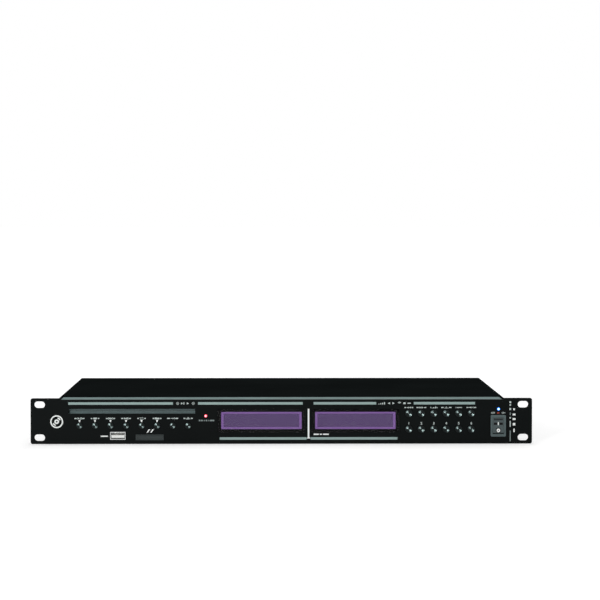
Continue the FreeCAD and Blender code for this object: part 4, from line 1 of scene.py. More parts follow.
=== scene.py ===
"""Looks of a rack-mount disc player with tuner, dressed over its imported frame.

Places and sizes are in millimetres of the unit's own frame: x to the right, y to the rear and z up
from the surface it stands on. A mesh becomes metres when it is finished.
"""

import logging
import math
from dataclasses import dataclass
from enum import Enum

import bmesh
import bpy
from mathutils import Matrix, Vector


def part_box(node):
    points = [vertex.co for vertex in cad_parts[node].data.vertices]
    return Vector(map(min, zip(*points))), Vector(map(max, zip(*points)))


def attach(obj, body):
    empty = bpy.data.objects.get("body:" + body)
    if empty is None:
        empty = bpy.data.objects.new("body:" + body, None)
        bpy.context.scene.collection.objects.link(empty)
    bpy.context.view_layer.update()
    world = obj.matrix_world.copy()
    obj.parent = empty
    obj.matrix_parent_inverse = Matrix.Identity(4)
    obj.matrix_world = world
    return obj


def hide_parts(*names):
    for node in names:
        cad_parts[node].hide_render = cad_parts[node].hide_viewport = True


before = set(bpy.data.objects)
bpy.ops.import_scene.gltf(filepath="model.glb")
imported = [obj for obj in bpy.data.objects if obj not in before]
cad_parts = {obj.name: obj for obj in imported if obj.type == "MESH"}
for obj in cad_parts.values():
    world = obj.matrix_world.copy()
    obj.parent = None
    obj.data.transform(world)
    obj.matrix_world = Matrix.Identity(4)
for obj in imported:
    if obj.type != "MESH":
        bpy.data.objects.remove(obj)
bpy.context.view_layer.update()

MM = 0.001
LOG = logging.getLogger("unit")
Point = tuple[float, float]
Colour = tuple[float, float, float]
FIXED = "unit"


def shown(red: int, green: int, blue: int) -> Colour:
    """Turn a colour as seen on a screen, 0 to 255, into the renderer's linear values.

    Args:
        red, green, blue: the colour's parts as seen on a screen.

    Returns:
        The same colour in linear light.
    """
    parts = [part / 255 for part in (red, green, blue)]
    return tuple(p / 12.92 if p <= 0.04045 else ((p + 0.055) / 1.055) ** 2.4 for p in parts)


def node_box(node: str) -> tuple[Vector, Vector]:
    """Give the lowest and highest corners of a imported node.

    Args:
        node: the node's name.

    Returns:
        Both corners in millimetres.
    """
    low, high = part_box(node)
    return low / MM, high / MM


FACE = node_box("front_panel")[0].y
INK_THICK = 0.03


class Grain(Enum):
    """Fine structure of a finish."""

    POWDER = "sprayed and baked paint"
    BRUSHED = "fine lines along one axis"
    ROLLED = "cold-rolled and plated sheet"
    MOULDED = "spark-eroded mould texture"
    POLISHED = "smooth and glossy"
    WOVEN = "matted short fibres"
    CAST = "blasted casting"


class Graph:
    """The node tree of one material, with short calls for the nodes that the finishes share."""

    def __init__(self, name: str) -> None:
        """Start an empty tree with one surface shader."""
        self.material = bpy.data.materials.new(name)
        self.material.use_nodes = True
        self.tree = self.material.node_tree
        self.tree.nodes.clear()
        self.shader = self.add("ShaderNodeBsdfPrincipled")
        out = self.add("ShaderNodeOutputMaterial")
        self.tree.links.new(self.shader.outputs["BSDF"], out.inputs["Surface"])

    def add(self, kind: str, **inputs) -> bpy.types.Node:
        """Add a node and fill its inputs.

        Args:
            kind: the node's type.
            inputs: values or output sockets, by the input's name with underscores for spaces.

        Returns:
            The new node.
        """
        item = self.tree.nodes.new(kind)
        for name, value in inputs.items():
            self.feed(item.inputs[name.replace("_", " ")], value)
        return item

    def feed(self, socket: bpy.types.NodeSocket, value) -> None:
        """Link an output socket to an input, or set the input's own value."""
        if isinstance(value, bpy.types.NodeSocket):
            self.tree.links.new(value, socket)
        else:
            socket.default_value = value

    def place(self, stretch: Colour = (1.0, 1.0, 1.0)) -> bpy.types.NodeSocket:
        """Give the object's own coordinates, stretched by a factor for each axis."""
        coords = self.add("ShaderNodeTexCoord").outputs["Object"]
        return self.add("ShaderNodeMapping", Vector=coords, Scale=stretch).outputs["Vector"]

    def noise(self, vector: bpy.types.NodeSocket, size_mm: float, detail: float = 3.0,
              roughness: float = 0.55) -> bpy.types.NodeSocket:
        """Give a noise whose features are about a given size.

        Args:
            vector: the coordinates it reads.
            size_mm: size of its features.
            detail: octaves.
            roughness: share of each finer octave.

        Returns:
            The noise's value socket.
        """
        item = self.add("ShaderNodeTexNoise", Vector=vector, Scale=1 / (size_mm * MM), Detail=detail,
                        Roughness=roughness)
        return item.outputs["Fac"]

    def spread(self, fac: bpy.types.NodeSocket, low: float, high: float, start: float = 0.3,
               end: float = 0.7) -> bpy.types.NodeSocket:
        """Map a value between two bounds onto another range, without going beyond it."""
        item = self.add("ShaderNodeMapRange", Value=fac, From_Min=start, From_Max=end, To_Min=low,
                        To_Max=high)
        return item.outputs["Result"]

    def blend(self, fac: bpy.types.NodeSocket, one: Colour, other: Colour) -> bpy.types.NodeSocket:
        """Give a colour between two, by a factor from a texture."""
        item = self.tree.nodes.new("ShaderNodeMix")
        item.data_type = "RGBA"
        self.feed(item.inputs[0], fac)
        self.feed(item.inputs[6], one if isinstance(one, bpy.types.NodeSocket) else (*one, 1.0))
        self.feed(item.inputs[7], other if isinstance(other, bpy.types.NodeSocket) else (*other, 1.0))
        return item.outputs[2]

    def maths(self, operation: str, *values) -> bpy.types.NodeSocket:
        """Give the result of one sum of values or sockets."""
        item = self.tree.nodes.new("ShaderNodeMath")
        item.operation = operation
        for socket, value in zip(item.inputs, values):
            self.feed(socket, value)
        return item.outputs[0]

    def relief(self, height: bpy.types.NodeSocket, depth_mm: float, strength: float = 1.0) -> None:
        """Let a texture raise and lower the surface by up to a depth."""
        item = self.add("ShaderNodeBump", Height=height, Distance=depth_mm * MM, Strength=strength)
        self.feed(self.shader.inputs["Normal"], item.outputs["Normal"])

    def set(self, **inputs) -> None:
        """Set inputs of the surface shader."""
        for name, value in inputs.items():
            self.feed(self.shader.inputs[name.replace("_", " ")], value)


def tone(colour: Colour, share: float) -> Colour:
    """Give a colour made lighter or darker by a share of itself."""
    return tuple(min(1.0, part * share) for part in colour)


@dataclass(frozen=True)
class Finish:
    """A surface finish made of a broad mottle, a fine grain and a relief."""

    name: str
    colour: Colour
    grain: Grain
    roughness: float
    metallic: float = 0.0
    specular: float = 0.5
    grain_mm: float = 0.6
    relief_mm: float = 0.01
    mottle: float = 0.12
    mottle_mm: float = 30.0
    lines: Colour = (1.0, 1.0, 1.0)
    sheen: float = 0.0

    def build(self) -> bpy.types.Material:
        """Make the material.

        Returns:
            The finished material.
        """
        graph = Graph(self.name)
        broad = graph.noise(graph.place(), self.mottle_mm, 4.0)
        fine = graph.noise(graph.place(self.lines), self.grain_mm, 2.0, 0.6)
        light, dark = tone(self.colour, 1 + self.mottle), tone(self.colour, 1 - self.mottle)
        base = graph.blend(graph.spread(broad, 0.0, 1.0), dark, light)
        if self.grain is Grain.ROLLED:
            flakes = graph.add("ShaderNodeTexVoronoi", Vector=graph.place(), Scale=1 / (9.0 * MM))
            tilt = graph.add("ShaderNodeSeparateColor", Color=flakes.outputs["Color"])
            base = graph.blend(tilt.outputs["Red"], tone(self.colour, 0.86), base)
        if self.grain is Grain.WOVEN:
            base = graph.blend(graph.spread(fine, 0.0, 1.0, 0.4, 0.6), tone(self.colour, 0.55), base)
        graph.set(Base_Color=base, Metallic=self.metallic, Specular_IOR_Level=self.specular,
                  Sheen_Weight=self.sheen)
        graph.set(Roughness=graph.spread(fine, self.roughness * 0.85, min(1.0, self.roughness * 1.15)))
        if self.relief_mm:
            graph.relief(fine, self.relief_mm)
        return graph.material


@dataclass(frozen=True)
class TurnedCap:
    """Black metal turned in fine rings, with a painted highlight: its colour is painted brighter in two
    opposite sectors, standing in for the glint that turned metal throws back.
    """

    name: str
    dark: Colour
    bright: Colour
    roughness: float
    towards: float = 135.0
    face_share: float = 0.77

    def build(self) -> bpy.types.Material:
        """Make the material, with the rings and sectors of its painted glint taken from the lathe's own
        coordinates.
        """
        graph = Graph(self.name)
        coords = graph.add("ShaderNodeUVMap")
        coords.uv_map = Shape.UV_NAME
        split = graph.add("ShaderNodeSeparateXYZ", Vector=coords.outputs["UV"])
        turn = graph.maths("MULTIPLY_ADD", split.outputs["Y"], 4 * math.pi, -2 * math.radians(self.towards))
        glint_sector = graph.spread(graph.maths("COSINE", turn, 0.0), 0.0, 1.0, 0.15, 0.95)
        rise = graph.spread(split.outputs["X"], 0.0, 1.0, 0.08, 0.3)
        fall = graph.spread(split.outputs["X"], 1.0, 0.0, self.face_share * 0.88, self.face_share)
        share = graph.maths("MULTIPLY", glint_sector, graph.maths("MULTIPLY", rise, fall))
        fine = graph.noise(graph.place(), 0.12, 2.0)
        body = graph.blend(fine, tone(self.dark, 0.8), tone(self.dark, 1.2))
        # painted highlight: the two glint sectors take the bright colour under any light
        graph.set(Base_Color=graph.blend(share, body, self.bright), Metallic=1.0,
                  Roughness=graph.spread(fine, self.roughness * 0.9, self.roughness * 1.1))
        return graph.material


@dataclass(frozen=True)
class Acrylic:
    """Clear tinted sheet that lets what is behind it through."""

    name: str
    colour: Colour
    alpha: float

    def build(self) -> bpy.types.Material:
        """Make the material, with faint wiping marks in its gloss."""
        graph = Graph(self.name)
        marks = graph.noise(graph.place((1.0, 1.0, 5.0)), 12.0, 5.0)
        graph.set(Base_Color=graph.blend(marks, self.colour, tone(self.colour, 1.3)), Alpha=self.alpha,
                  Roughness=graph.spread(marks, 0.03, 0.09), Specular_IOR_Level=0.5)
        return graph.material


@dataclass(frozen=True)
class DisplayField:
    """Face of a display: square dots with dark gaps between them, lit from behind; its glow is also set to
    make up for the shade of its recess, which is painted light.
    """

    name: str
    colour: Colour
    dot_mm: float
    glow: float

    def build(self) -> bpy.types.Material:
        """Make the material."""
        graph = Graph(self.name)
        split = graph.add("ShaderNodeSeparateXYZ", Vector=graph.place())
        gaps = []
        for axis in ("X", "Z"):
            phase = graph.maths("PINGPONG", split.outputs[axis], self.dot_mm * MM / 2)
            gaps.append(graph.spread(phase, 0.0, 1.0, 0.02 * self.dot_mm * MM, 0.08 * self.dot_mm * MM))
        cloud = graph.noise(graph.place(), 18.0, 3.0)
        lit = graph.blend(cloud, tone(self.colour, 0.92), tone(self.colour, 1.06))
        face = graph.blend(graph.maths("MULTIPLY", *gaps), tone(self.colour, 0.9), lit)
        # the glow partly stands in for studio light that the recess shades off: painted light
        graph.set(Base_Color=face, Emission_Color=face, Emission_Strength=self.glow, Roughness=0.35,
                  Specular_IOR_Level=0.2)
        return graph.material


@dataclass(frozen=True)
class Lamp:
    """Clear coloured resin with a light inside: a pale core in a coloured body."""

    name: str
    core: Colour
    colour: Colour
    middle: Point
    glow: float
    radius: float = 1.4

    def build(self) -> bpy.types.Material:
        """Make the material, with small flow marks in the resin."""
        graph = Graph(self.name)
        x, z = (part * MM for part in self.middle)
        size = 1 / (self.radius * MM)
        coords = graph.add("ShaderNodeTexCoord").outputs["Object"]
        spot = graph.add("ShaderNodeMapping", Vector=coords, Scale=(size, 0.0, size),
                         Location=(-x * size, 0.0, -z * size))
        length = graph.tree.nodes.new("ShaderNodeVectorMath")
        length.operation = "LENGTH"
        graph.feed(length.inputs[0], spot.outputs["Vector"])
        core = graph.spread(length.outputs["Value"], 1.0, 0.0, 0.25, 0.8)
        marks = graph.noise(graph.place(), 0.8, 2.0)
        body = graph.blend(marks, tone(self.colour, 0.85), tone(self.colour, 1.2))
        face = graph.blend(core, body, self.core)
        graph.set(Base_Color=face, Emission_Color=face, Emission_Strength=self.glow, Roughness=0.12,
                  Specular_IOR_Level=0.5)
        return graph.material


@dataclass(frozen=True)
class Board:
    """Lacquered circuit board with copper tracks under the lacquer and tinned spots."""

    name: str
    colour: Colour
    track_mm: float = 1.27
    field_mm: float = 7.62

    def build(self) -> bpy.types.Material:
        """Make the material."""
        graph = Graph(self.name)
        split = graph.add("ShaderNodeSeparateXYZ", Vector=graph.place())
        along, across = (graph.spread(graph.maths("PINGPONG", split.outputs[axis], self.track_mm * MM / 2),
                                      0.0, 1.0, 0.2 * self.track_mm * MM, 0.25 * self.track_mm * MM)
                         for axis in ("X", "Y"))
        snap = graph.add("ShaderNodeVectorMath", Vector=graph.place())
        snap.operation = "SNAP"
        snap.inputs[1].default_value = (self.field_mm * MM,) * 3
        chance = graph.add("ShaderNodeTexWhiteNoise", Vector=snap.outputs[0]).outputs["Value"]
        tracks = graph.add("ShaderNodeMix", Factor=graph.maths("GREATER_THAN", chance, 0.5), A=along,
                           B=across).outputs["Result"]
        tracks = graph.maths("MULTIPLY", tracks, graph.maths("GREATER_THAN", graph.noise(
            graph.place(), 9.0, 1.0), 0.42))
        base = graph.blend(tracks, self.colour, tone(self.colour, 1.7))
        spots = graph.add("ShaderNodeTexVoronoi", Vector=graph.place(), Scale=1 / (2.54 * MM),
                          Randomness=0.0)
        tinned = graph.spread(spots.outputs["Distance"], 1.0, 0.0, 0.13, 0.2)
        face = graph.blend(tinned, base, shown(176, 178, 172))
        graph.set(Base_Color=face, Metallic=graph.spread(tinned, 0.0, 0.9), Roughness=0.3,
                  Specular_IOR_Level=0.5)
        graph.relief(tracks, 0.03)
        return graph.material


@dataclass(frozen=True)
class Palette:
    """Every finish of the unit."""

    panel: Finish = Finish("panel_paint", shown(14, 17, 17), Grain.POWDER, 0.5, specular=0.03,
                           grain_mm=0.45, relief_mm=0.012, mottle=0.14, mottle_mm=60.0)
    case: Finish = Finish("case_paint", shown(17, 20, 20), Grain.POWDER, 0.75, specular=0.0,
                          grain_mm=0.6, relief_mm=0.02, mottle=0.16, mottle_mm=80.0)
    bare: Finish = Finish("plated_sheet", shown(172, 184, 182), Grain.ROLLED, 0.42, metallic=0.85,
                          grain_mm=0.5, relief_mm=0.004, mottle=0.08, lines=(1.0, 12.0, 12.0))
    flange: Finish = Finish("zinc_flange", shown(124, 142, 141), Grain.ROLLED, 0.6, specular=0.0,
                            grain_mm=0.5, relief_mm=0.004, mottle=0.06, lines=(1.0, 12.0, 12.0))
    dark_steel: Finish = Finish("black_screw", shown(48, 50, 52), Grain.POLISHED, 0.38, metallic=0.8,
                                grain_mm=0.3, relief_mm=0.003)
    plated: Finish = Finish("bright_plate", shown(214, 216, 216), Grain.BRUSHED, 0.2, metallic=1.0,
                            grain_mm=0.25, relief_mm=0.002, mottle=0.05, lines=(1.0, 0.1, 1.0))
    nickel: Finish = Finish("nickel", shown(206, 202, 190), Grain.POLISHED, 0.22, metallic=1.0,
                            grain_mm=0.4, relief_mm=0.002, mottle=0.06)
    cast: Finish = Finish("cast_alloy", shown(150, 152, 154), Grain.CAST, 0.5, metallic=0.8,
                          grain_mm=0.35, relief_mm=0.02)
    # the turned caps' bright colour is a painted glint in two opposite sectors
    turned: TurnedCap = TurnedCap("turned_black_painted_glint", shown(30, 34, 34), shown(93, 106, 105), 0.3)
    pad: Finish = Finish("pad_rubber", shown(30, 30, 30), Grain.MOULDED, 0.8, specular=0.2,
                         grain_mm=0.4, relief_mm=0.03)
    roller: Finish = Finish("roller_rubber", shown(40, 40, 41), Grain.MOULDED, 0.7, specular=0.3,
                            grain_mm=0.25, relief_mm=0.01)
    felt: Finish = Finish("slot_felt", shown(116, 134, 135), Grain.WOVEN, 0.95, specular=0.1, grain_mm=0.35,
                          relief_mm=0.08, mottle=0.12, mottle_mm=9.0, sheen=0.3)
    stripe: Finish = Finish("stripe_ink", shown(143, 164, 161), Grain.POWDER, 0.5, specular=0.2,
                            grain_mm=0.3, relief_mm=0.003, mottle=0.04)
    ink: Finish = Finish("white_ink", shown(232, 236, 234), Grain.POWDER, 0.5, specular=0.2,
                         grain_mm=0.25, relief_mm=0.003, mottle=0.03)
    label_ink: Finish = Finish("label_ink", shown(186, 197, 194), Grain.POWDER, 0.5, specular=0.2,
                               grain_mm=0.25, relief_mm=0.003, mottle=0.04)
    red_ink: Finish = Finish("red_ink", shown(150, 58, 48), Grain.POWDER, 0.5, specular=0.2,
                             grain_mm=0.25, relief_mm=0.003, mottle=0.04)
    soft_ink: Finish = Finish("grey_ink", shown(122, 134, 133), Grain.POWDER, 0.5, specular=0.2,
                              grain_mm=0.25, relief_mm=0.003, mottle=0.06)
    # black ink of the window borders, also laid on the rocker as painted shade
    border: Finish = Finish("border_and_shade_ink", shown(7, 8, 9), Grain.POLISHED, 0.4, specular=0.1, grain_mm=0.4,
                            relief_mm=0.0, mottle=0.1)
    white_plastic: Finish = Finish("white_plastic", shown(228, 230, 227), Grain.MOULDED, 0.42,
                                   grain_mm=0.3, relief_mm=0.008, mottle=0.03)
    slot_plastic: Finish = Finish("socket_plastic", shown(44, 51, 51), Grain.MOULDED, 0.5, specular=0.2,
                                  grain_mm=0.25, relief_mm=0.015)
    black_plastic: Finish = Finish("black_plastic", shown(24, 25, 27), Grain.MOULDED, 0.48, specular=0.25,
                                   grain_mm=0.3, relief_mm=0.015)
    switch: Finish = Finish("switch_plastic", shown(76, 90, 91), Grain.MOULDED, 0.42, specular=0.25,
                            grain_mm=0.25, relief_mm=0.01, mottle=0.05)
    rocker: Finish = Finish("rocker_plastic", shown(66, 78, 79), Grain.MOULDED, 0.34, specular=0.3,
                            grain_mm=0.3, relief_mm=0.005, mottle=0.05)
    cable: Finish = Finish("cable_jacket", shown(150, 152, 154), Grain.MOULDED, 0.55, grain_mm=0.4,
                           relief_mm=0.01)
    live_wire: Finish = Finish("brown_jacket", shown(104, 66, 44), Grain.MOULDED, 0.5, grain_mm=0.4,
                               relief_mm=0.01)
    return_wire: Finish = Finish("blue_jacket", shown(44, 84, 150), Grain.MOULDED, 0.5, grain_mm=0.4,
                                 relief_mm=0.01)
    red_plastic: Finish = Finish("red_collar", shown(176, 34, 36), Grain.MOULDED, 0.4, grain_mm=0.3,
                                 relief_mm=0.008, mottle=0.05)
    winding: Finish = Finish("wound_copper", shown(158, 92, 52), Grain.BRUSHED, 0.38, metallic=0.8,
                             grain_mm=0.25, relief_mm=0.05, lines=(0.05, 0.05, 1.0))
    core_iron: Finish = Finish("core_iron", shown(92, 92, 96), Grain.ROLLED, 0.5, metallic=0.8,
                               grain_mm=0.4, relief_mm=0.01)
    sink: Finish = Finish("black_anodised", shown(30, 31, 33), Grain.BRUSHED, 0.42, metallic=0.7,
                          grain_mm=0.3, relief_mm=0.004, lines=(1.0, 1.0, 0.08))
    sleeve: Finish = Finish("capacitor_sleeve", shown(28, 34, 60), Grain.POLISHED, 0.32, specular=0.4,
                            grain_mm=0.5, relief_mm=0.003, mottle=0.06)
    block_green: Finish = Finish("terminal_plastic", shown(52, 128, 74), Grain.MOULDED, 0.45, grain_mm=0.3,
                                 relief_mm=0.01)
    lens: Finish = Finish("lens_coating", shown(34, 46, 96), Grain.POLISHED, 0.06, specular=0.9,
                          grain_mm=0.5, relief_mm=0.0, mottle=0.1)
    board: Board = Board("green_lacquer", shown(26, 92, 52))
    window: Acrylic = Acrylic("window_acrylic", shown(14, 10, 18), 0.1)
    # the fields' glow is set to keep the recessed display as bright as if unshaded: partly painted light
    field: DisplayField = DisplayField("display_violet", shown(82, 63, 104), 0.9, 0.9)
    outline: DisplayField = DisplayField("display_outline", shown(122, 88, 152), 0.9, 1.0)
    red_lamp: Lamp = Lamp("red_resin", shown(255, 200, 205), shown(232, 62, 84), (-73.0, 27.0), 1.3)
    blue_lamp: Lamp = Lamp("blue_resin", shown(225, 255, 255), shown(20, 120, 250), (208.9, 33.4), 1.7)


class Shape:
    """A mesh under construction, in millimetres of the unit's frame."""

    UV_NAME = "turned"

    def __init__(self) -> None:
        """Start an empty mesh."""
        self.mesh = bmesh.new()

    def slab(self, low: tuple[float, float, float], high: tuple[float, float, float],
             bevel: float = 0.0) -> "Shape":
        """Add a box between two corners.

        Args:
            low, high: its corners.
            bevel: width of the rounding on its edges.

        Returns:
            This shape.
        """
        one, other = Vector(low), Vector(high)
        matrix = Matrix.Translation((one + other) / 2) @ Matrix.Diagonal((*(other - one), 1.0))
        made = bmesh.ops.create_cube(self.mesh, size=1.0, matrix=matrix)
        if bevel:
            edges = list({edge for vert in made["verts"] for edge in vert.link_edges})
            bmesh.ops.bevel(self.mesh, geom=edges, offset=bevel, segments=2, profile=0.5,
                            affect="EDGES")
        return self

    def plate(self, points: list[Point], front: float, back: float) -> "Shape":
        """Add a flat plate that faces the viewer.

        Args:
            points: its outline as x and z, in order.
            front, back: y of its two faces.

        Returns:
            This shape.
        """
        near = [self.mesh.verts.new((x, front, z)) for x, z in points]
        far = [self.mesh.verts.new((x, back, z)) for x, z in points]
        self.mesh.faces.new(near)
        self.mesh.faces.new(far[::-1])
        for i, vert in enumerate(near):
            after = (i + 1) % len(near)
            self.mesh.faces.new((vert, far[i], far[after], near[after]))
        return self

    def print_rect(self, left: float, right: float, low: float, high: float,
                   thick: float = INK_THICK) -> "Shape":
        """Print a rectangle on the panel's face."""
        return self.plate([(left, low), (right, low), (right, high), (left, high)], FACE - thick, FACE)

    def ring(self, x: float, z: float, outer: float, inner: float, start: float = 0.0,
             sweep: float = 360.0) -> "Shape":
        """Print a ring or a part of one on the panel's face.

        Args:
            x, z: its middle.
            outer, inner: its radii.
            start, sweep: where it begins and how far it goes, in degrees.

        Returns:
            This shape.
        """
        steps = max(6, round(sweep / 12))
        for i in range(steps):
            a, b = (math.radians(start + sweep * j / steps) for j in (i, i + 1))
            spots = [(inner, a), (outer, a), (outer, b), (inner, b)]
            self.plate([(x + r * math.cos(t), z + r * math.sin(t)) for r, t in spots],
                       FACE - INK_THICK, FACE)
        return self

    def sign(self, parts: list[list[Point]], x: float, z: float, half_x: float,
             half_z: float) -> "Shape":
        """Print a pictogram on the panel's face.

        Args:
            parts: outlines in a square from -1 to 1.
            x, z: its middle.
            half_x, half_z: half its width and half its height.

        Returns:
            This shape.
        """
        for part in parts:
            self.plate([(x + a * half_x, z + b * half_z) for a, b in part], FACE - INK_THICK, FACE)
        return self

    def figures(self, text: str, x: float, z: float, height: float, bold: float = 0.0) -> "Shape":
        """Print figures or a plain word with the built-in typeface.

        Args:
            text: what it says.
            x, z: its middle.
            height: height of a figure.
            bold: how far its strokes swell.

        Returns:
            This shape.
        """
        curve = bpy.data.curves.new("figures", "FONT")
        curve.body = text
        curve.size = height / 0.7
        curve.align_x, curve.align_y = "CENTER", "CENTER"
        curve.extrude = INK_THICK / 2
        curve.offset = bold
        item = bpy.data.objects.new("figures", curve)
        bpy.context.scene.collection.objects.link(item)
        flat = bpy.data.meshes.new_from_object(item)
        upright = Matrix.Rotation(math.pi / 2, 4, "X")
        flat.transform(Matrix.Translation((x, FACE - INK_THICK / 2, z)) @ upright)
        self.mesh.from_mesh(flat)
        bpy.data.objects.remove(item)
        bpy.data.meshes.remove(flat)
        return self

    def lathe(self, profile: list[Point], centre: tuple[float, float, float], axis: str = "Y",
              segments: int = 48) -> "Shape":
        """Turn a profile round an axis.

        Args:
            profile: radius and distance along the axis, from one end to the other.
            centre: the axis passes here, and distances are from here.
            axis: the axis it runs along, X, Y or Z.
            segments: flats round the turn.

        Returns:
            This shape.
        """
        layer = self.mesh.loops.layers.uv.get(self.UV_NAME) or self.mesh.loops.layers.uv.new(self.UV_NAME)
        frame_of = {"X": ((0, 1, 0), (0, 0, 1), (1, 0, 0)), "Y": ((1, 0, 0), (0, 0, 1), (0, 1, 0)),
                    "Z": ((1, 0, 0), (0, 1, 0), (0, 0, 1))}
        across, up, along = (Vector(v) for v in frame_of[axis])
        rings = []
        for radius, way in profile[:-1] if profile[0] == profile[-1] else profile:
            middle = Vector(centre) + along * way
            if radius <= 0:
                rings.append([self.mesh.verts.new(middle)])
                continue
            spots = [2 * math.pi * i / segments for i in range(segments)]
            rings.append([self.mesh.verts.new(middle + across * radius * math.cos(t)
                                              + up * radius * math.sin(t)) for t in spots])
        if profile[0] == profile[-1]:
            rings.append(rings[0])
        for step, (one, other) in enumerate(zip(rings, rings[1:])):
            for i in range(segments):
                after = (i + 1) % segments
                corners = [(one, i, 0), (one, after, 0), (other, after, 1), (other, i, 1)]
                verts, turns = [], []
                for ring, index, side in corners:
                    vert = ring[index % len(ring)]
                    if vert in verts:
                        continue
                    verts.append(vert)
                    share = (i + 1 if index == after else i) / segments
                    turns.append(((step + side) / len(profile), share))
                if len(verts) < 3:
                    continue
                face = self.mesh.faces.new(verts)
                for loop, spot in zip(face.loops, turns):
                    loop[layer].uv = spot
        return self

    def tube(self, path: list[Vector], radius: float, segments: int = 12) -> "Shape":
        """Sweep a round section along a path in a plane of constant x.

        Args:
            path: points of its middle line.
            radius: its radius.
            segments: flats round it.

        Returns:
            This shape.
        """
        rings = []
        across = Vector((1.0, 0.0, 0.0))
        for i, point in enumerate(path):
            along = (path[min(i + 1, len(path) - 1)] - path[max(i - 1, 0)]).normalized()
            up = across.cross(along)
            spots = [2 * math.pi * j / segments for j in range(segments)]
            rings.append([self.mesh.verts.new(point + across * radius * math.cos(t)
                                              + up * radius * math.sin(t)) for t in spots])
        for one, other in zip(rings, rings[1:]):
            for j in range(segments):
                after = (j + 1) % segments
                self.mesh.faces.new((one[j], one[after], other[after], other[j]))
        self.mesh.faces.new(rings[0][::-1])
        self.mesh.faces.new(rings[-1])
        return self

    def piece(self, name: str, finish: bpy.types.Material, smooth: float = 30.0) -> bpy.types.Object:
        """Close the mesh and make it an object in metres.

        Args:
            name: the piece's name.
            finish: its material.
            smooth: edges turned less than this many degrees are shaded smooth.

        Returns:
            The new object, at the origin.
        """
        bmesh.ops.recalc_face_normals(self.mesh, faces=self.mesh.faces)
        bmesh.ops.scale(self.mesh, vec=(MM, MM, MM), verts=self.mesh.verts)
        for face in self.mesh.faces:
            face.smooth = True
        for edge in self.mesh.edges:
            edge.smooth = edge.calc_face_angle(math.pi) < math.radians(smooth)
        data = bpy.data.meshes.new(name)
        self.mesh.to_mesh(data)
        self.mesh.free()
        data.materials.append(finish)
        item = bpy.data.objects.new(name, data)
        bpy.context.scene.collection.objects.link(item)
        return item


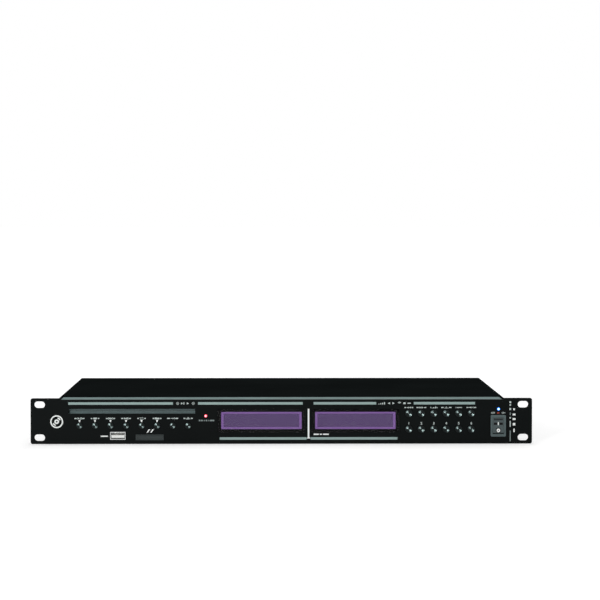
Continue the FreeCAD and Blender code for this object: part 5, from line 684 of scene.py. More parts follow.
class Recipe:
    """A geometry node tree with named inputs, run once on a carrier mesh."""

    def __init__(self, name: str) -> None:
        """Start a tree with a geometry input and a geometry output."""
        self.name = name
        self.tree = bpy.data.node_groups.new(name, "GeometryNodeTree")
        self.socket_ids: dict[str, str] = {}
        self.tree.interface.new_socket("Geometry", in_out="INPUT", socket_type="NodeSocketGeometry")
        self.tree.interface.new_socket("Geometry", in_out="OUTPUT", socket_type="NodeSocketGeometry")
        self.inlet = self.tree.nodes.new("NodeGroupInput")
        self.outlet = self.tree.nodes.new("NodeGroupOutput")

    def size(self, name: str, value: float | int) -> bpy.types.NodeSocket:
        """Add a named input.

        Args:
            name: the input's name.
            value: its value, a whole number for a count or a seed.

        Returns:
            The socket that gives it inside the tree.
        """
        kind = "NodeSocketInt" if isinstance(value, int) else "NodeSocketFloat"
        socket = self.tree.interface.new_socket(name, in_out="INPUT", socket_type=kind)
        socket.default_value = value
        self.socket_ids[name] = socket.identifier
        return self.inlet.outputs[name]

    def add(self, kind: str, settings: dict | None = None, **inputs) -> bpy.types.Node:
        """Add a node.

        Args:
            kind: the node's type.
            settings: its own properties.
            inputs: values or sockets, by the input's name with underscores for spaces.

        Returns:
            The new node.
        """
        item = self.tree.nodes.new(kind)
        for name, value in (settings or {}).items():
            setattr(item, name, value)
        for name, value in inputs.items():
            self.feed(item.inputs[name.replace("_", " ")], value)
        return item

    def feed(self, socket: bpy.types.NodeSocket, value) -> None:
        """Link a socket to an input, or set the input's value."""
        if isinstance(value, bpy.types.NodeSocket):
            self.tree.links.new(value, socket)
        else:
            socket.default_value = value

    def maths(self, operation: str, one, other) -> bpy.types.NodeSocket:
        """Give the result of one sum of two values or sockets."""
        item = self.add("ShaderNodeMath", {"operation": operation})
        self.feed(item.inputs[0], one)
        self.feed(item.inputs[1], other)
        return item.outputs[0]

    def triple(self, x, y, z) -> bpy.types.NodeSocket:
        """Give a vector made of three values or sockets."""
        return self.add("ShaderNodeCombineXYZ", X=x, Y=y, Z=z).outputs["Vector"]

    def chance(self, low: float, high: float, seed: int) -> bpy.types.NodeSocket:
        """Give a random number for each point, the same on every run."""
        item = self.add("FunctionNodeRandomValue", {"data_type": "FLOAT"})
        item.inputs[2].default_value = low
        item.inputs[3].default_value = high
        item.inputs["Seed"].default_value = seed
        return item.outputs[1]

    def moved(self, geometry: bpy.types.NodeSocket, move, scale=(1.0, 1.0, 1.0),
              turn=(0.0, 0.0, 0.0)) -> bpy.types.NodeSocket:
        """Give a geometry moved, scaled and turned."""
        item = self.add("GeometryNodeTransform", Geometry=geometry, Translation=move, Scale=scale,
                        Rotation=turn)
        return item.outputs["Geometry"]

    def cuboid(self, x, y, z) -> bpy.types.NodeSocket:
        """Give a box round the origin with three sides."""
        return self.add("GeometryNodeMeshCube", Size=self.triple(x, y, z)).outputs["Mesh"]

    def drum(self, radius, depth, sides: int, rings: int = 1) -> bpy.types.NodeSocket:
        """Give a cylinder round the origin that stands on z."""
        return self.add("GeometryNodeMeshCylinder", Vertices=sides, Side_Segments=rings, Radius=radius,
                        Depth=depth).outputs["Mesh"]

    def carve(self, kind: str, base: bpy.types.NodeSocket,
              *tools: bpy.types.NodeSocket) -> bpy.types.NodeSocket:
        """Join solids or cut tools out of one.

        Args:
            kind: UNION or DIFFERENCE.
            base: the solid that is joined or cut.
            tools: the other solids.

        Returns:
            The result.
        """
        item = self.add("GeometryNodeMeshBoolean", {"operation": kind, "solver": "EXACT"})
        for tool in tools if kind == "DIFFERENCE" else (base, *tools):
            self.tree.links.new(tool, item.inputs["Mesh 2"])
        if kind == "DIFFERENCE":
            self.feed(item.inputs["Mesh 1"], base)
        return item.outputs["Mesh"]

    def stand(self, instance: bpy.types.NodeSocket, scale=(1.0, 1.0, 1.0)) -> bpy.types.NodeSocket:
        """Stand a copy on every point of the carrier, along the point's own direction."""
        aim = self.add("GeometryNodeInputNamedAttribute", {"data_type": "FLOAT_VECTOR"}, Name="aim")
        turn = self.add("FunctionNodeAlignRotationToVector", {"axis": "Z"},
                        Vector=aim.outputs["Attribute"])
        item = self.add("GeometryNodeInstanceOnPoints", Points=self.inlet.outputs[0], Instance=instance,
                        Rotation=turn.outputs["Rotation"], Scale=scale)
        return item.outputs["Instances"]

    def rounded(self, geometry: bpy.types.NodeSocket) -> bpy.types.NodeSocket:
        """Shade gentle turns smooth and keep edges sharp."""
        soft = self.add("GeometryNodeSetShadeSmooth", {"domain": "FACE"}, Geometry=geometry,
                        Shade_Smooth=True)
        angle = self.add("GeometryNodeInputMeshEdgeAngle").outputs["Unsigned Angle"]
        sharp = self.add("GeometryNodeSetShadeSmooth", {"domain": "EDGE"}, Geometry=soft.outputs[0],
                         Selection=self.maths("GREATER_THAN", angle, 0.6), Shade_Smooth=False)
        return sharp.outputs[0]

    def close(self, geometry: bpy.types.NodeSocket, finish: bpy.types.Material) -> None:
        """End the tree: real meshes with one material."""
        real = self.add("GeometryNodeRealizeInstances", Geometry=geometry)
        dressed = self.add("GeometryNodeSetMaterial", Geometry=real.outputs["Geometry"])
        dressed.inputs["Material"].default_value = finish
        self.feed(self.outlet.inputs[0], dressed.outputs["Geometry"])

    def run(self, carrier: bpy.types.Object, sizes: dict[str, float | int] | None = None,
            name: str | None = None) -> bpy.types.Object:
        """Evaluate the tree on a carrier and give the result as a plain object.

        Args:
            carrier: the object whose mesh feeds the tree; it is removed.
            sizes: values for named inputs that differ from their defaults.
            name: the piece's name, else the tree's.

        Returns:
            A new object at the origin with a plain mesh.
        """
        modifier = carrier.modifiers.new(self.name, "NODES")
        modifier.node_group = self.tree
        for label, value in (sizes or {}).items():
            modifier[self.socket_ids[label]] = value
        graph = bpy.context.evaluated_depsgraph_get()
        data = bpy.data.meshes.new_from_object(carrier.evaluated_get(graph))
        carrier.modifiers.remove(modifier)
        bpy.data.objects.remove(carrier)
        data.name = name or self.name
        item = bpy.data.objects.new(data.name, data)
        bpy.context.scene.collection.objects.link(item)
        return item


def carrier_of(points: list[Vector], aims: list[Vector] | None = None) -> bpy.types.Object:
    """Make a mesh of loose points that a recipe puts its pieces on.

    Args:
        points: places in millimetres.
        aims: the direction in which each point's piece stands up.

    Returns:
        An object in metres, with the directions in the attribute "aim".
    """
    data = bpy.data.meshes.new("carrier")
    data.from_pydata([point * MM for point in points], [], [])
    if aims:
        attribute = data.attributes.new("aim", "FLOAT_VECTOR", "POINT")
        attribute.data.foreach_set("vector", [part for aim in aims for part in aim])
    item = bpy.data.objects.new("carrier", data)
    bpy.context.scene.collection.objects.link(item)
    return item


class SubAssembly:
    """What all parts of the unit share."""

    def __init__(self, finishes: dict[str, bpy.types.Material]) -> None:
        """Keep the built finishes, by their field name in the palette."""
        self.finishes = finishes

    def keep(self, finish: str, *nodes: str) -> None:
        """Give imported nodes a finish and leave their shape.

        Args:
            finish: name of the finish.
            nodes: names of the nodes.
        """
        for node in nodes:
            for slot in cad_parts[node].material_slots:
                slot.material = self.finishes[finish]
            LOG.info("%s keeps its shape, finish %s", node, finish)

    def mount(self, item: bpy.types.Object, body: str, slot: str, *nodes: str) -> bpy.types.Object:
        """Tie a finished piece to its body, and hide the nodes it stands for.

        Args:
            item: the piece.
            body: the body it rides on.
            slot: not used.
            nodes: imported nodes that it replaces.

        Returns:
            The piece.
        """
        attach(item, body)
        if nodes:
            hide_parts(*nodes)
        LOG.info("%s: %d faces on %s", item.name, len(item.data.polygons), body)
        return item


TRIANGLE = [(-0.8, -1.0), (1.0, 0.0), (-0.8, 1.0)]
BAR = [(-1.0, -1.0), (-0.6, -1.0), (-0.6, 1.0), (-1.0, 1.0)]
SQUARE = [(-0.8, -0.8), (0.8, -0.8), (0.8, 0.8), (-0.8, 0.8)]
ARROW_UP = [(-0.9, -0.2), (0.9, -0.2), (0.0, 1.0)]


def flipped(part: list[Point]) -> list[Point]:
    """Mirror an outline left to right."""
    return [(-a, b) for a, b in reversed(part)]


def narrowed(part: list[Point], shift: float, share: float) -> list[Point]:
    """Squeeze an outline sideways and move it."""
    return [(a * share + shift, b) for a, b in part]


def bar_at(left: float, right: float, low: float, high: float) -> list[Point]:
    """Give the outline of a bar."""
    return [(left, low), (right, low), (right, high), (left, high)]


class Sign(Enum):
    """Plain pictograms beside the buttons, as outlines in a square from -1 to 1."""

    PLAY = (narrowed(TRIANGLE, -0.45, 0.55), bar_at(0.3, 0.55, -1, 1), bar_at(0.75, 1.0, -1, 1))
    STOP = (SQUARE,)
    PREVIOUS = (narrowed(flipped(TRIANGLE), 0.5, 0.5), narrowed(flipped(TRIANGLE), -0.35, 0.5), BAR)
    NEXT = (narrowed(TRIANGLE, -0.5, 0.5), narrowed(TRIANGLE, 0.35, 0.5), flipped(BAR))
    REPEAT = (bar_at(-1.0, 0.5, 0.55, 0.9), [(0.4, 0.2), (1.0, 0.72), (0.4, 1.25)],
              bar_at(-0.5, 1.0, -0.9, -0.55), [(-0.4, -0.2), (-1.0, -0.72), (-0.4, -1.25)])
    FOLDER = (bar_at(-1.0, -0.1, 0.6, 0.95), bar_at(-1.0, 1.0, -0.9, 0.6))
    SOURCE = (bar_at(-1.0, 0.1, -0.2, 0.2), [(0.0, -0.8), (0.7, 0.0), (0.0, 0.8)],
              bar_at(0.8, 1.0, -1.0, 1.0))
    EJECT = (ARROW_UP, bar_at(-0.9, 0.9, -0.9, -0.5))
    LEFT_TWICE = (narrowed(flipped(TRIANGLE), 0.5, 0.5), narrowed(flipped(TRIANGLE), -0.5, 0.5))
    RIGHT_TWICE = (narrowed(TRIANGLE, -0.5, 0.5), narrowed(TRIANGLE, 0.5, 0.5))
    STEPS = (bar_at(-1.0, -0.6, -0.9, -0.3), bar_at(-0.3, 0.2, -0.9, 0.3), bar_at(0.5, 1.0, -0.9, 0.9))
    STORE = (bar_at(-1.0, 1.0, -0.9, -0.5), [(-0.6, 0.3), (0.0, -0.3), (0.6, 0.3)],
             bar_at(-0.18, 0.18, 0.2, 0.95))
    LONG_BAR = (bar_at(-1.0, 1.0, -0.4, 0.4),)
    SPEAKER = (bar_at(-1.0, -0.5, -0.4, 0.4), [(-0.5, -0.4), (0.1, -1.0), (0.1, 1.0), (-0.5, 0.4)],
               bar_at(0.4, 0.6, -0.6, 0.6), bar_at(0.8, 1.0, -0.9, 0.9))


@dataclass
class FrontPanel(SubAssembly):
    """Eared panel with its printed stripes, rule and pictograms."""

    finishes: dict[str, bpy.types.Material]
    stripe_high: Point = (37.87, 40.27)
    stripe_low: Point = (3.96, 6.36)
    rule_x: float = 25.9
    rule_half: float = 0.8
    rule_ends: Point = (5.3, 33.8)
    disc_mark: tuple[float, float] = (-216.2, 21.6)
    disc_mark_radius: float = 6.2
    column_x: tuple[float, float] = (220.2, 223.9)
    column_marks: tuple[tuple[tuple[float, float, float], ...], ...] = (
        ((39.9, 0.8, 0.9), (37.3, 0.7, 0.7), (33.4, 0.8, 1.0), (24.9, 0.7, 0.7), (19.0, 0.45, 2.9)),
        ((33.1, 0.8, 0.9), (28.1, 1.3, 0.9), (23.7, 1.4, 0.9), (18.7, 1.2, 1.2), (12.8, 0.6, 1.7)))
    lamp_mark: tuple[float, float, float] = (-80.0, -64.5, 22.6)

    def dress(self) -> None:
        """Make everything that belongs to the panel."""
        self.keep("panel", "front_panel")
        self.stripes()
        self.rule()
        self.marks()
        self.small_marks()

    def stripes(self) -> None:
        """Print the wide grey stripes above and below the controls."""
        shape = Shape()
        for left, right in ((-205.0, -104.5), (-80.4, 20.3), (30.8, 91.0), (127.2, 186.2)):
            shape.print_rect(left, right, *self.stripe_high)
        for left, right in ((-59.6, self.rule_x - 1.9), (self.rule_x + 1.9, 111.5)):
            shape.print_rect(left, right, *self.stripe_low)
        self.mount(shape.piece("panel_stripes", self.finishes["stripe"]), FIXED, "panel_black")

    def rule(self) -> None:
        """Print the white upright rule between the player and the tuner, with its flared foot."""
        shape = Shape()
        x, low = self.rule_x, self.rule_ends[0]
        shape.plate([(x - 1.7, low - 0.2), (x + 1.7, low - 0.2), (x + self.rule_half, low + 1.4),
                     (x - self.rule_half, low + 1.4)], FACE - INK_THICK, FACE)
        shape.print_rect(self.rule_x - self.rule_half, self.rule_x + self.rule_half, *self.rule_ends,
                         thick=2 * INK_THICK)
        self.mount(shape.piece("panel_rule", self.finishes["ink"]), FIXED, "panel_black")

    def marks(self) -> None:
        """Print the disc pictogram and the white marks beside sockets and switch."""
        shape = Shape()
        x, z = self.disc_mark
        radius = self.disc_mark_radius
        shape.ring(x, z, radius, radius * 0.8)
        shape.ring(x, z, radius * 0.36, radius * 0.14)
        for start in (25.0, 205.0):
            shape.ring(x, z, radius * 0.68, radius * 0.48, start, 50.0)
        shape.print_rect(-174.0, -167.0, 6.9, 8.1)
        for x in (-128.2, -124.6):
            shape.sign([[(-1.0, -1.0), (-0.2, -1.0), (1.0, 1.0), (0.2, 1.0)]], x, 12.6, 1.7, 1.6)
        for left, right in ((30.8, 35.8), (36.8, 38.8), (39.8, 45.4)):
            shape.print_rect(left, right, 8.6, 9.8)
        near = Shape()
        for column, x, marks in zip((near, shape), self.column_x, self.column_marks):
            for middle, half_x, half_z in marks:
                column.print_rect(x - half_x, x + half_x, middle - half_z, middle + half_z)
        self.mount(near.piece("edge_marks", self.finishes["label_ink"]), FIXED, "panel_black")
        self.mount(shape.piece("panel_marks", self.finishes["ink"]), FIXED, "panel_black")

    def small_marks(self) -> None:
        """Print the pictograms in the gaps of the upper stripe, and the fainter marks."""
        shape = Shape()
        z = sum(self.stripe_high) / 2
        for x in (-100.0, -85.0):
            shape.ring(x, z, 1.3, 0.95)
            shape.ring(x, z, 0.45, 0.15)
        shape.sign(list(Sign.PLAY.value), -95.2, z, 1.8, 1.1)
        shape.sign([TRIANGLE], -90.2, z, 1.2, 1.1)
        for i, x in enumerate((93.6, 95.4, 97.2, 99.0)):
            shape.print_rect(x - 0.5, x + 0.5, z - 1.1, z - 0.5 + 0.5 * i)
        shape.sign([flipped(TRIANGLE)], 103.4, z, 1.3, 1.1)
        shape.sign([TRIANGLE], 107.6, z, 1.3, 1.1)
        for radius in (0.9, 1.7):
            shape.ring(113.4, z - 0.6, radius + 0.3, radius - 0.2, 35.0, 110.0)
        shape.sign([SQUARE], 118.2, z, 1.4, 1.1)
        shape.print_rect(121.2, 124.4, z - 0.5, z + 0.5)
        faint = Shape()
        left, right, level = self.lamp_mark
        for i, width in enumerate((1.6, 1.6, 0.8, 1.6, 0.8, 2.4, 1.6)):
            x = left + (right - left) * (i + 0.5) / 7
            faint.print_rect(x - width / 2, x + width / 2, level - 0.7, level + 0.7)
        x = self.column_x[0]
        faint.print_rect(x - 0.45, x + 0.45, 27.4, 30.0)
        faint.print_rect(x - 0.45, x + 0.45, 2.2, 12.6)
        self.mount(shape.piece("stripe_marks", self.finishes["label_ink"]), FIXED, "panel_black")
        self.mount(faint.piece("faint_marks", self.finishes["soft_ink"]), FIXED, "panel_black")


@dataclass
class DiscSlot(SubAssembly):
    """Slot guide with two felt lips that close on the disc's path."""

    finishes: dict[str, bpy.types.Material]
    slit: float = 0.25
    swell: float = 0.5
    hair_mm: float = 0.9
    hairs: float = 5.0e6

    def dress(self) -> None:
        """Make the lips and their hairs."""
        self.keep("black_plastic", "slot_guide")
        low, high = node_box("felt_lips")
        middle = (low.z + high.z) / 2
        shape = Shape()
        for side in (-1, 1):
            inner, outer = middle + side * self.slit / 2, high.z if side > 0 else low.z
            self.lip(shape, low.x, high.x, low.y, high.y, inner, outer)
        lips = self.mount(shape.piece("felt_lip_pair", self.finishes["felt"], 60.0), FIXED, "felt",
                          "felt_lips")
        hairs = self.hair(lips)
        self.mount(hairs, FIXED, "felt")

    def lip(self, shape: Shape, left: float, right: float, front: float, back: float, inner: float,
            outer: float) -> None:
        """Add one lip: a strip with a soft swelling that rises and falls along its length.

        Args:
            shape: the mesh it is added to.
            left, right: its ends.
            front, back: y of its faces.
            inner, outer: z of its edge at the slit and of its far edge.
        """
        steps, rows = 160, 7
        side = 1 if outer > inner else -1
        grid = []
        for i in range(steps + 1):
            x = left + (right - left) * i / steps
            wave = 0.12 * math.sin(x * 0.31) + 0.08 * math.sin(x * 0.83 + 1.0)
            column = []
            for j in range(rows + 1):
                share = j / rows
                depth = self.swell * (1 - (2 * share - 1) ** 2) * (1 + wave)
                z = inner + (outer - inner) * share
                y = front + self.swell - depth
                if j == 0:
                    z += side * 0.05 * (1 + wave)
                column.append(shape.mesh.verts.new((x, y, z)))
            column.append(shape.mesh.verts.new((x, back, outer)))
            column.append(shape.mesh.verts.new((x, back, inner)))
            grid.append(column)
        count = rows + 3
        for one, other in zip(grid, grid[1:]):
            for j in range(count):
                after = (j + 1) % count
                shape.mesh.faces.new((one[j], one[after], other[after], other[j]))
        shape.mesh.faces.new(grid[0][::-1])
        shape.mesh.faces.new(grid[-1])

    def hair(self, lips: bpy.types.Object) -> bpy.types.Object:
        """Stand short hairs on the faces of the lips that can be seen.

        Args:
            lips: the pair of lips.

        Returns:
            The hairs, as one piece.
        """
        recipe = Recipe("felt_hairs")
        density = recipe.size("Hairs per Square Metre", self.hairs)
        length = recipe.size("Hair Length", self.hair_mm * MM)
        width = recipe.size("Hair Radius", 0.03 * MM)
        seed = recipe.size("Seed", 7)
        normal = recipe.add("GeometryNodeInputNormal").outputs["Normal"]
        split = recipe.add("ShaderNodeSeparateXYZ", Vector=normal)
        front = recipe.maths("LESS_THAN", split.outputs["Y"], -0.4)
        spread = recipe.add("GeometryNodeDistributePointsOnFaces", Mesh=recipe.inlet.outputs[0],
                            Selection=front, Density=density, Seed=seed)
        hair = recipe.add("GeometryNodeMeshCone", Vertices=3, Radius_Top=0.0, Radius_Bottom=width,
                          Depth=length)
        lean = recipe.add("FunctionNodeRandomValue", {"data_type": "FLOAT_VECTOR"}, Seed=11)
        lean.inputs[0].default_value = (-0.9, -0.35, -0.9)
        lean.inputs[1].default_value = (0.9, -0.1, 0.9)
        aim = recipe.add("FunctionNodeAlignRotationToVector", {"axis": "Z"},
                         Vector=lean.outputs[0])
        stand = recipe.add("GeometryNodeInstanceOnPoints", Points=spread.outputs["Points"],
                           Instance=hair.outputs["Mesh"], Rotation=aim.outputs["Rotation"],
                           Scale=recipe.triple(1.0, 1.0, recipe.chance(0.4, 1.0, 13)))
        recipe.close(stand.outputs["Instances"], self.finishes["felt"])
        copy = bpy.data.objects.new("carrier", lips.data.copy())
        bpy.context.scene.collection.objects.link(copy)
        return recipe.run(copy)


@dataclass
class Displays(SubAssembly):
    """Two windows of clear acrylic with a printed border, and the lit fields behind them."""

    finishes: dict[str, bpy.types.Material]
    border: Point = (3.4, 2.9)
    rim: float = 1.0
    window_edges: tuple[Point, Point] = ((-61.6, 22.7), (28.9, 113.2))
    window_heights: Point = (11.1, 33.4)
    outline_side: float = 2.2
    outline_end: float = 1.7

    def dress(self) -> None:
        """Make windows, borders, fields and the modules that carry them."""
        glass_low, glass_high = node_box("display_windows")
        module_low, module_high = node_box("display_modules")
        low, high = self.window_heights
        glass, mask, field, outline, module = (Shape() for _ in range(5))
        for left, right in self.window_edges:
            front, rim_front = glass_low.y, FACE + 3.0 + 0.05
            glass.slab((left, front, low), (right, rim_front, high), 0.04)
            glass.slab((left - self.rim, rim_front + 0.02, low - self.rim),
                       (right + self.rim, glass_high.y - 0.05, high + self.rim), 0.1)
            side, end = self.border
            inner = (left + side, right - side, low + end, high - end)
            self.frame_of(mask, (left, right, low, high), inner, rim_front, rim_front + 0.02)
            face = module_low.y - 0.02
            core = (inner[0] + self.outline_side, inner[1] - self.outline_side,
                    inner[2] + self.outline_end, inner[3] - self.outline_end)
            wide = (inner[0] - 1.0, inner[1] + 1.0, inner[2] - 0.8, inner[3] + 0.8)
            self.frame_of(outline, wide, core, face, module_low.y)
            field.plate([(core[0], core[2]), (core[1], core[2]), (core[1], core[3]), (core[0], core[3])],
                        face + 0.01, module_low.y)
            module.slab((left - 2.0, module_low.y, low - 0.8), (right + 2.0, module_low.y + 1.1, high + 0.8),
                        0.15)
            module.slab((left - 1.2, module_low.y + 1.1, low - 0.3), (right + 1.2, module_high.y, high + 0.3),
                        0.4)
        self.mount(glass.piece("window_glass", self.finishes["window"], 5.0), FIXED, "window_tint",
                   "display_windows")
        self.mount(mask.piece("window_border", self.finishes["border"]), FIXED, "window_tint")
        self.mount(module.piece("display_cases", self.finishes["black_plastic"]), FIXED, "display_field",
                   "display_modules")
        self.mount(field.piece("display_fields", self.finishes["field"]), FIXED, "display_field")
        self.mount(outline.piece("display_outlines", self.finishes["outline"]), FIXED, "display_field")

    def frame_of(self, shape: Shape, outer: tuple[float, ...], inner: tuple[float, ...], front: float,
                 back: float) -> None:
        """Add a thin frame.

        Args:
            shape: the mesh it is added to.
            outer, inner: its edges as left, right, low and high.
            front, back: y of its faces.
        """
        left, right, low, high = outer
        in_left, in_right, in_low, in_high = inner
        rects = ((left, right, in_high, high), (left, right, low, in_low),
                 (left, in_left, in_low, in_high), (in_right, right, in_low, in_high))
        for a, b, c, d in rects:
            shape.plate([(a, c), (b, c), (b, d), (a, d)], front, back)


@dataclass
class Buttons(SubAssembly):
    """Twenty turned push buttons, and what is printed above them."""

    finishes: dict[str, bpy.types.Material]
    dish: float = 0.06
    rim: float = 0.35
    bevel: float = 0.3
    groove_slope: float = 13.5
    collar: float = 0.9
    stem: float = 1.5
    cd_signs: tuple[tuple[str, Sign, float, bool], ...] = (
        ("play", Sign.PLAY, 4.8, True), ("stop", Sign.STOP, 4.0, True),
        ("previous", Sign.PREVIOUS, 4.4, True), ("next", Sign.NEXT, 4.6, True),
        ("repeat", Sign.REPEAT, 4.1, True), ("folder", Sign.FOLDER, 4.2, True),
        ("source", Sign.SOURCE, 5.3, False), ("eject", Sign.EJECT, 4.4, False))
    tuner_signs: tuple[tuple[str, Sign, float], ...] = (
        ("tune_down", Sign.LEFT_TWICE, 4.2), ("tune_up", Sign.RIGHT_TWICE, 4.7), ("band", Sign.STEPS, 3.4),
        ("memory", Sign.STORE, 5.0), ("mono", Sign.LONG_BAR, 2.7), ("mute", Sign.SPEAKER, 4.6))
    presets: int = 6

    def dress(self) -> None:
        """Make every button and print what belongs to it."""
        marks, points = Shape(), Shape()
        for name, sign, reach, pointed in self.cd_signs:
            x, z = self.button(f"cd_button_{name}")
            self.label(marks, sign, x, z + 6.95, (2.1, 0.95), reach)
            if pointed:
                points.sign([[(-1.0, 1.0), (-0.5, -1.0), (0.5, -1.0), (1.0, 1.0)]], x, z + 4.5, 0.95, 1.05)
        for name, sign, reach in self.tuner_signs:
            x, z = self.button(f"tuner_button_{name}")
            self.label(marks, sign, x, z + 5.6, (2.1, 0.85), reach)
        for i in range(1, self.presets + 1):
            x, z = self.button(f"tuner_button_preset_{i}")
            marks.figures(str(i), x, z + 5.4, 2.3, 0.09)
        self.mount(marks.piece("button_marks", self.finishes["label_ink"]), FIXED, "panel_black")
        self.mount(points.piece("button_pointers", self.finishes["ink"]), FIXED, "panel_black")

    def label(self, shape: Shape, sign: Sign, x: float, z: float, half: Point, reach: float) -> None:
        """Print a pictogram between two dashes.

        Args:
            shape: the mesh it is added to.
            sign: the pictogram.
            x, z: its middle.
            half: half its width and half its height.
            reach: how far the dashes reach from the middle.
        """
        shape.sign(list(sign.value), x, z, *half)
        for side in (-1, 1):
            near, far = sorted((x + side * (half[0] + 0.5), x + side * max(reach, half[0] + 1.0)))
            shape.print_rect(near, far, z - half[1] * 0.55, z + half[1] * 0.55)

    def button(self, node: str) -> Point:
        """Make one button in place of its node.

        Args:
            node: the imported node's name, which is its body's name too.

        Returns:
            The x and z of its middle.
        """
        low, high = node_box(node)
        x, z = (low.x + high.x) / 2, (low.z + high.z) / 2
        radius = (high.x - low.x) / 2 - self.collar
        length = high.y - low.y
        hollow = radius - self.rim - self.bevel
        collar_at = 1.4 + 4.1
        profile: list[Point] = [(0.0, self.dish)]
        steps = 22
        groove = hollow / steps * math.tan(math.radians(self.groove_slope))
        for i in range(1, steps + 1):
            share = i / steps
            profile.append((hollow * share, self.dish * (1 - share ** 2) + groove * (i % 2)))
        profile += [(radius - self.bevel, 0.0), (radius - self.bevel * 0.3, self.bevel * 0.3),
                    (radius, self.bevel), (radius, collar_at), (radius + self.collar, collar_at),
                    (radius + self.collar, collar_at + 1.0), (self.stem, collar_at + 1.0),
                    (self.stem, length), (0.0, length)]
        shape = Shape().lathe(profile, (x, low.y, z), "Y", 56)
        self.mount(shape.piece(f"{node}_cap", self.finishes["turned"], 15.0), node, "button_black", node)
        return x, z


@dataclass
class FrontLamps(SubAssembly):
    """Red disc lamp and blue power lamp."""

    finishes: dict[str, bpy.types.Material]
    radius: float = 1.4
    lamps: tuple[tuple[str, str, float, float], ...] = (
        ("disc_lamp", "red_lamp", -73.0, 27.0), ("power_lamp", "blue_lamp", 208.9, 33.4))

    def dress(self) -> None:
        """Make both lamps with their domes, collars and wires."""
        low, high = node_box("front_leds")
        wires = Shape()
        for name, finish, x, z in self.lamps:
            dome = [(self.radius * math.sin(math.radians(t)), low.y + 0.7 * (1 - math.cos(math.radians(t))))
                    for t in range(0, 91, 15)]
            profile = dome + [(self.radius, FACE + 4.1), (self.radius + 0.4, FACE + 4.1),
                              (self.radius + 0.4, FACE + 5.3), (0.0, FACE + 5.3)]
            shape = Shape().lathe(profile, (x, 0.0, z), "Y", 40)
            self.mount(shape.piece(name, self.finishes[finish]), FIXED, "lamp_blue", "front_leds")
            for side in (-0.6, 0.6):
                wires.lathe([(0.0, FACE + 5.3), (0.25, FACE + 5.3), (0.25, high.y), (0.0, high.y)],
                            (x + side, 0.0, z), "Y", 12)
        self.mount(wires.piece("lamp_wires", self.finishes["plated"]), FIXED, "lamp_blue")


@dataclass
class FrontSockets(SubAssembly):
    """USB socket and memory card slot."""

    finishes: dict[str, bpy.types.Material]
    contacts: int = 4
    pitch: float = 2.4

    def dress(self) -> None:
        """Dress the sockets and add the USB contacts."""
        self.keep("plated", "usb_shell")
        self.keep("white_plastic", "usb_tongue")
        self.keep("slot_plastic", "card_bezel", "card_flap")
        low, high = node_box("usb_tongue")
        middle = (low.x + high.x) / 2
        shape = Shape()
        for i in range(self.contacts):
            x = middle + (i - (self.contacts - 1) / 2) * self.pitch
            shape.slab((x - 0.5, low.y + 0.6, high.z), (x + 0.5, high.y - 1.0, high.z + 0.15), 0.06)
        self.mount(shape.piece("usb_contacts", self.finishes["nickel"]), FIXED, "plated_steel")


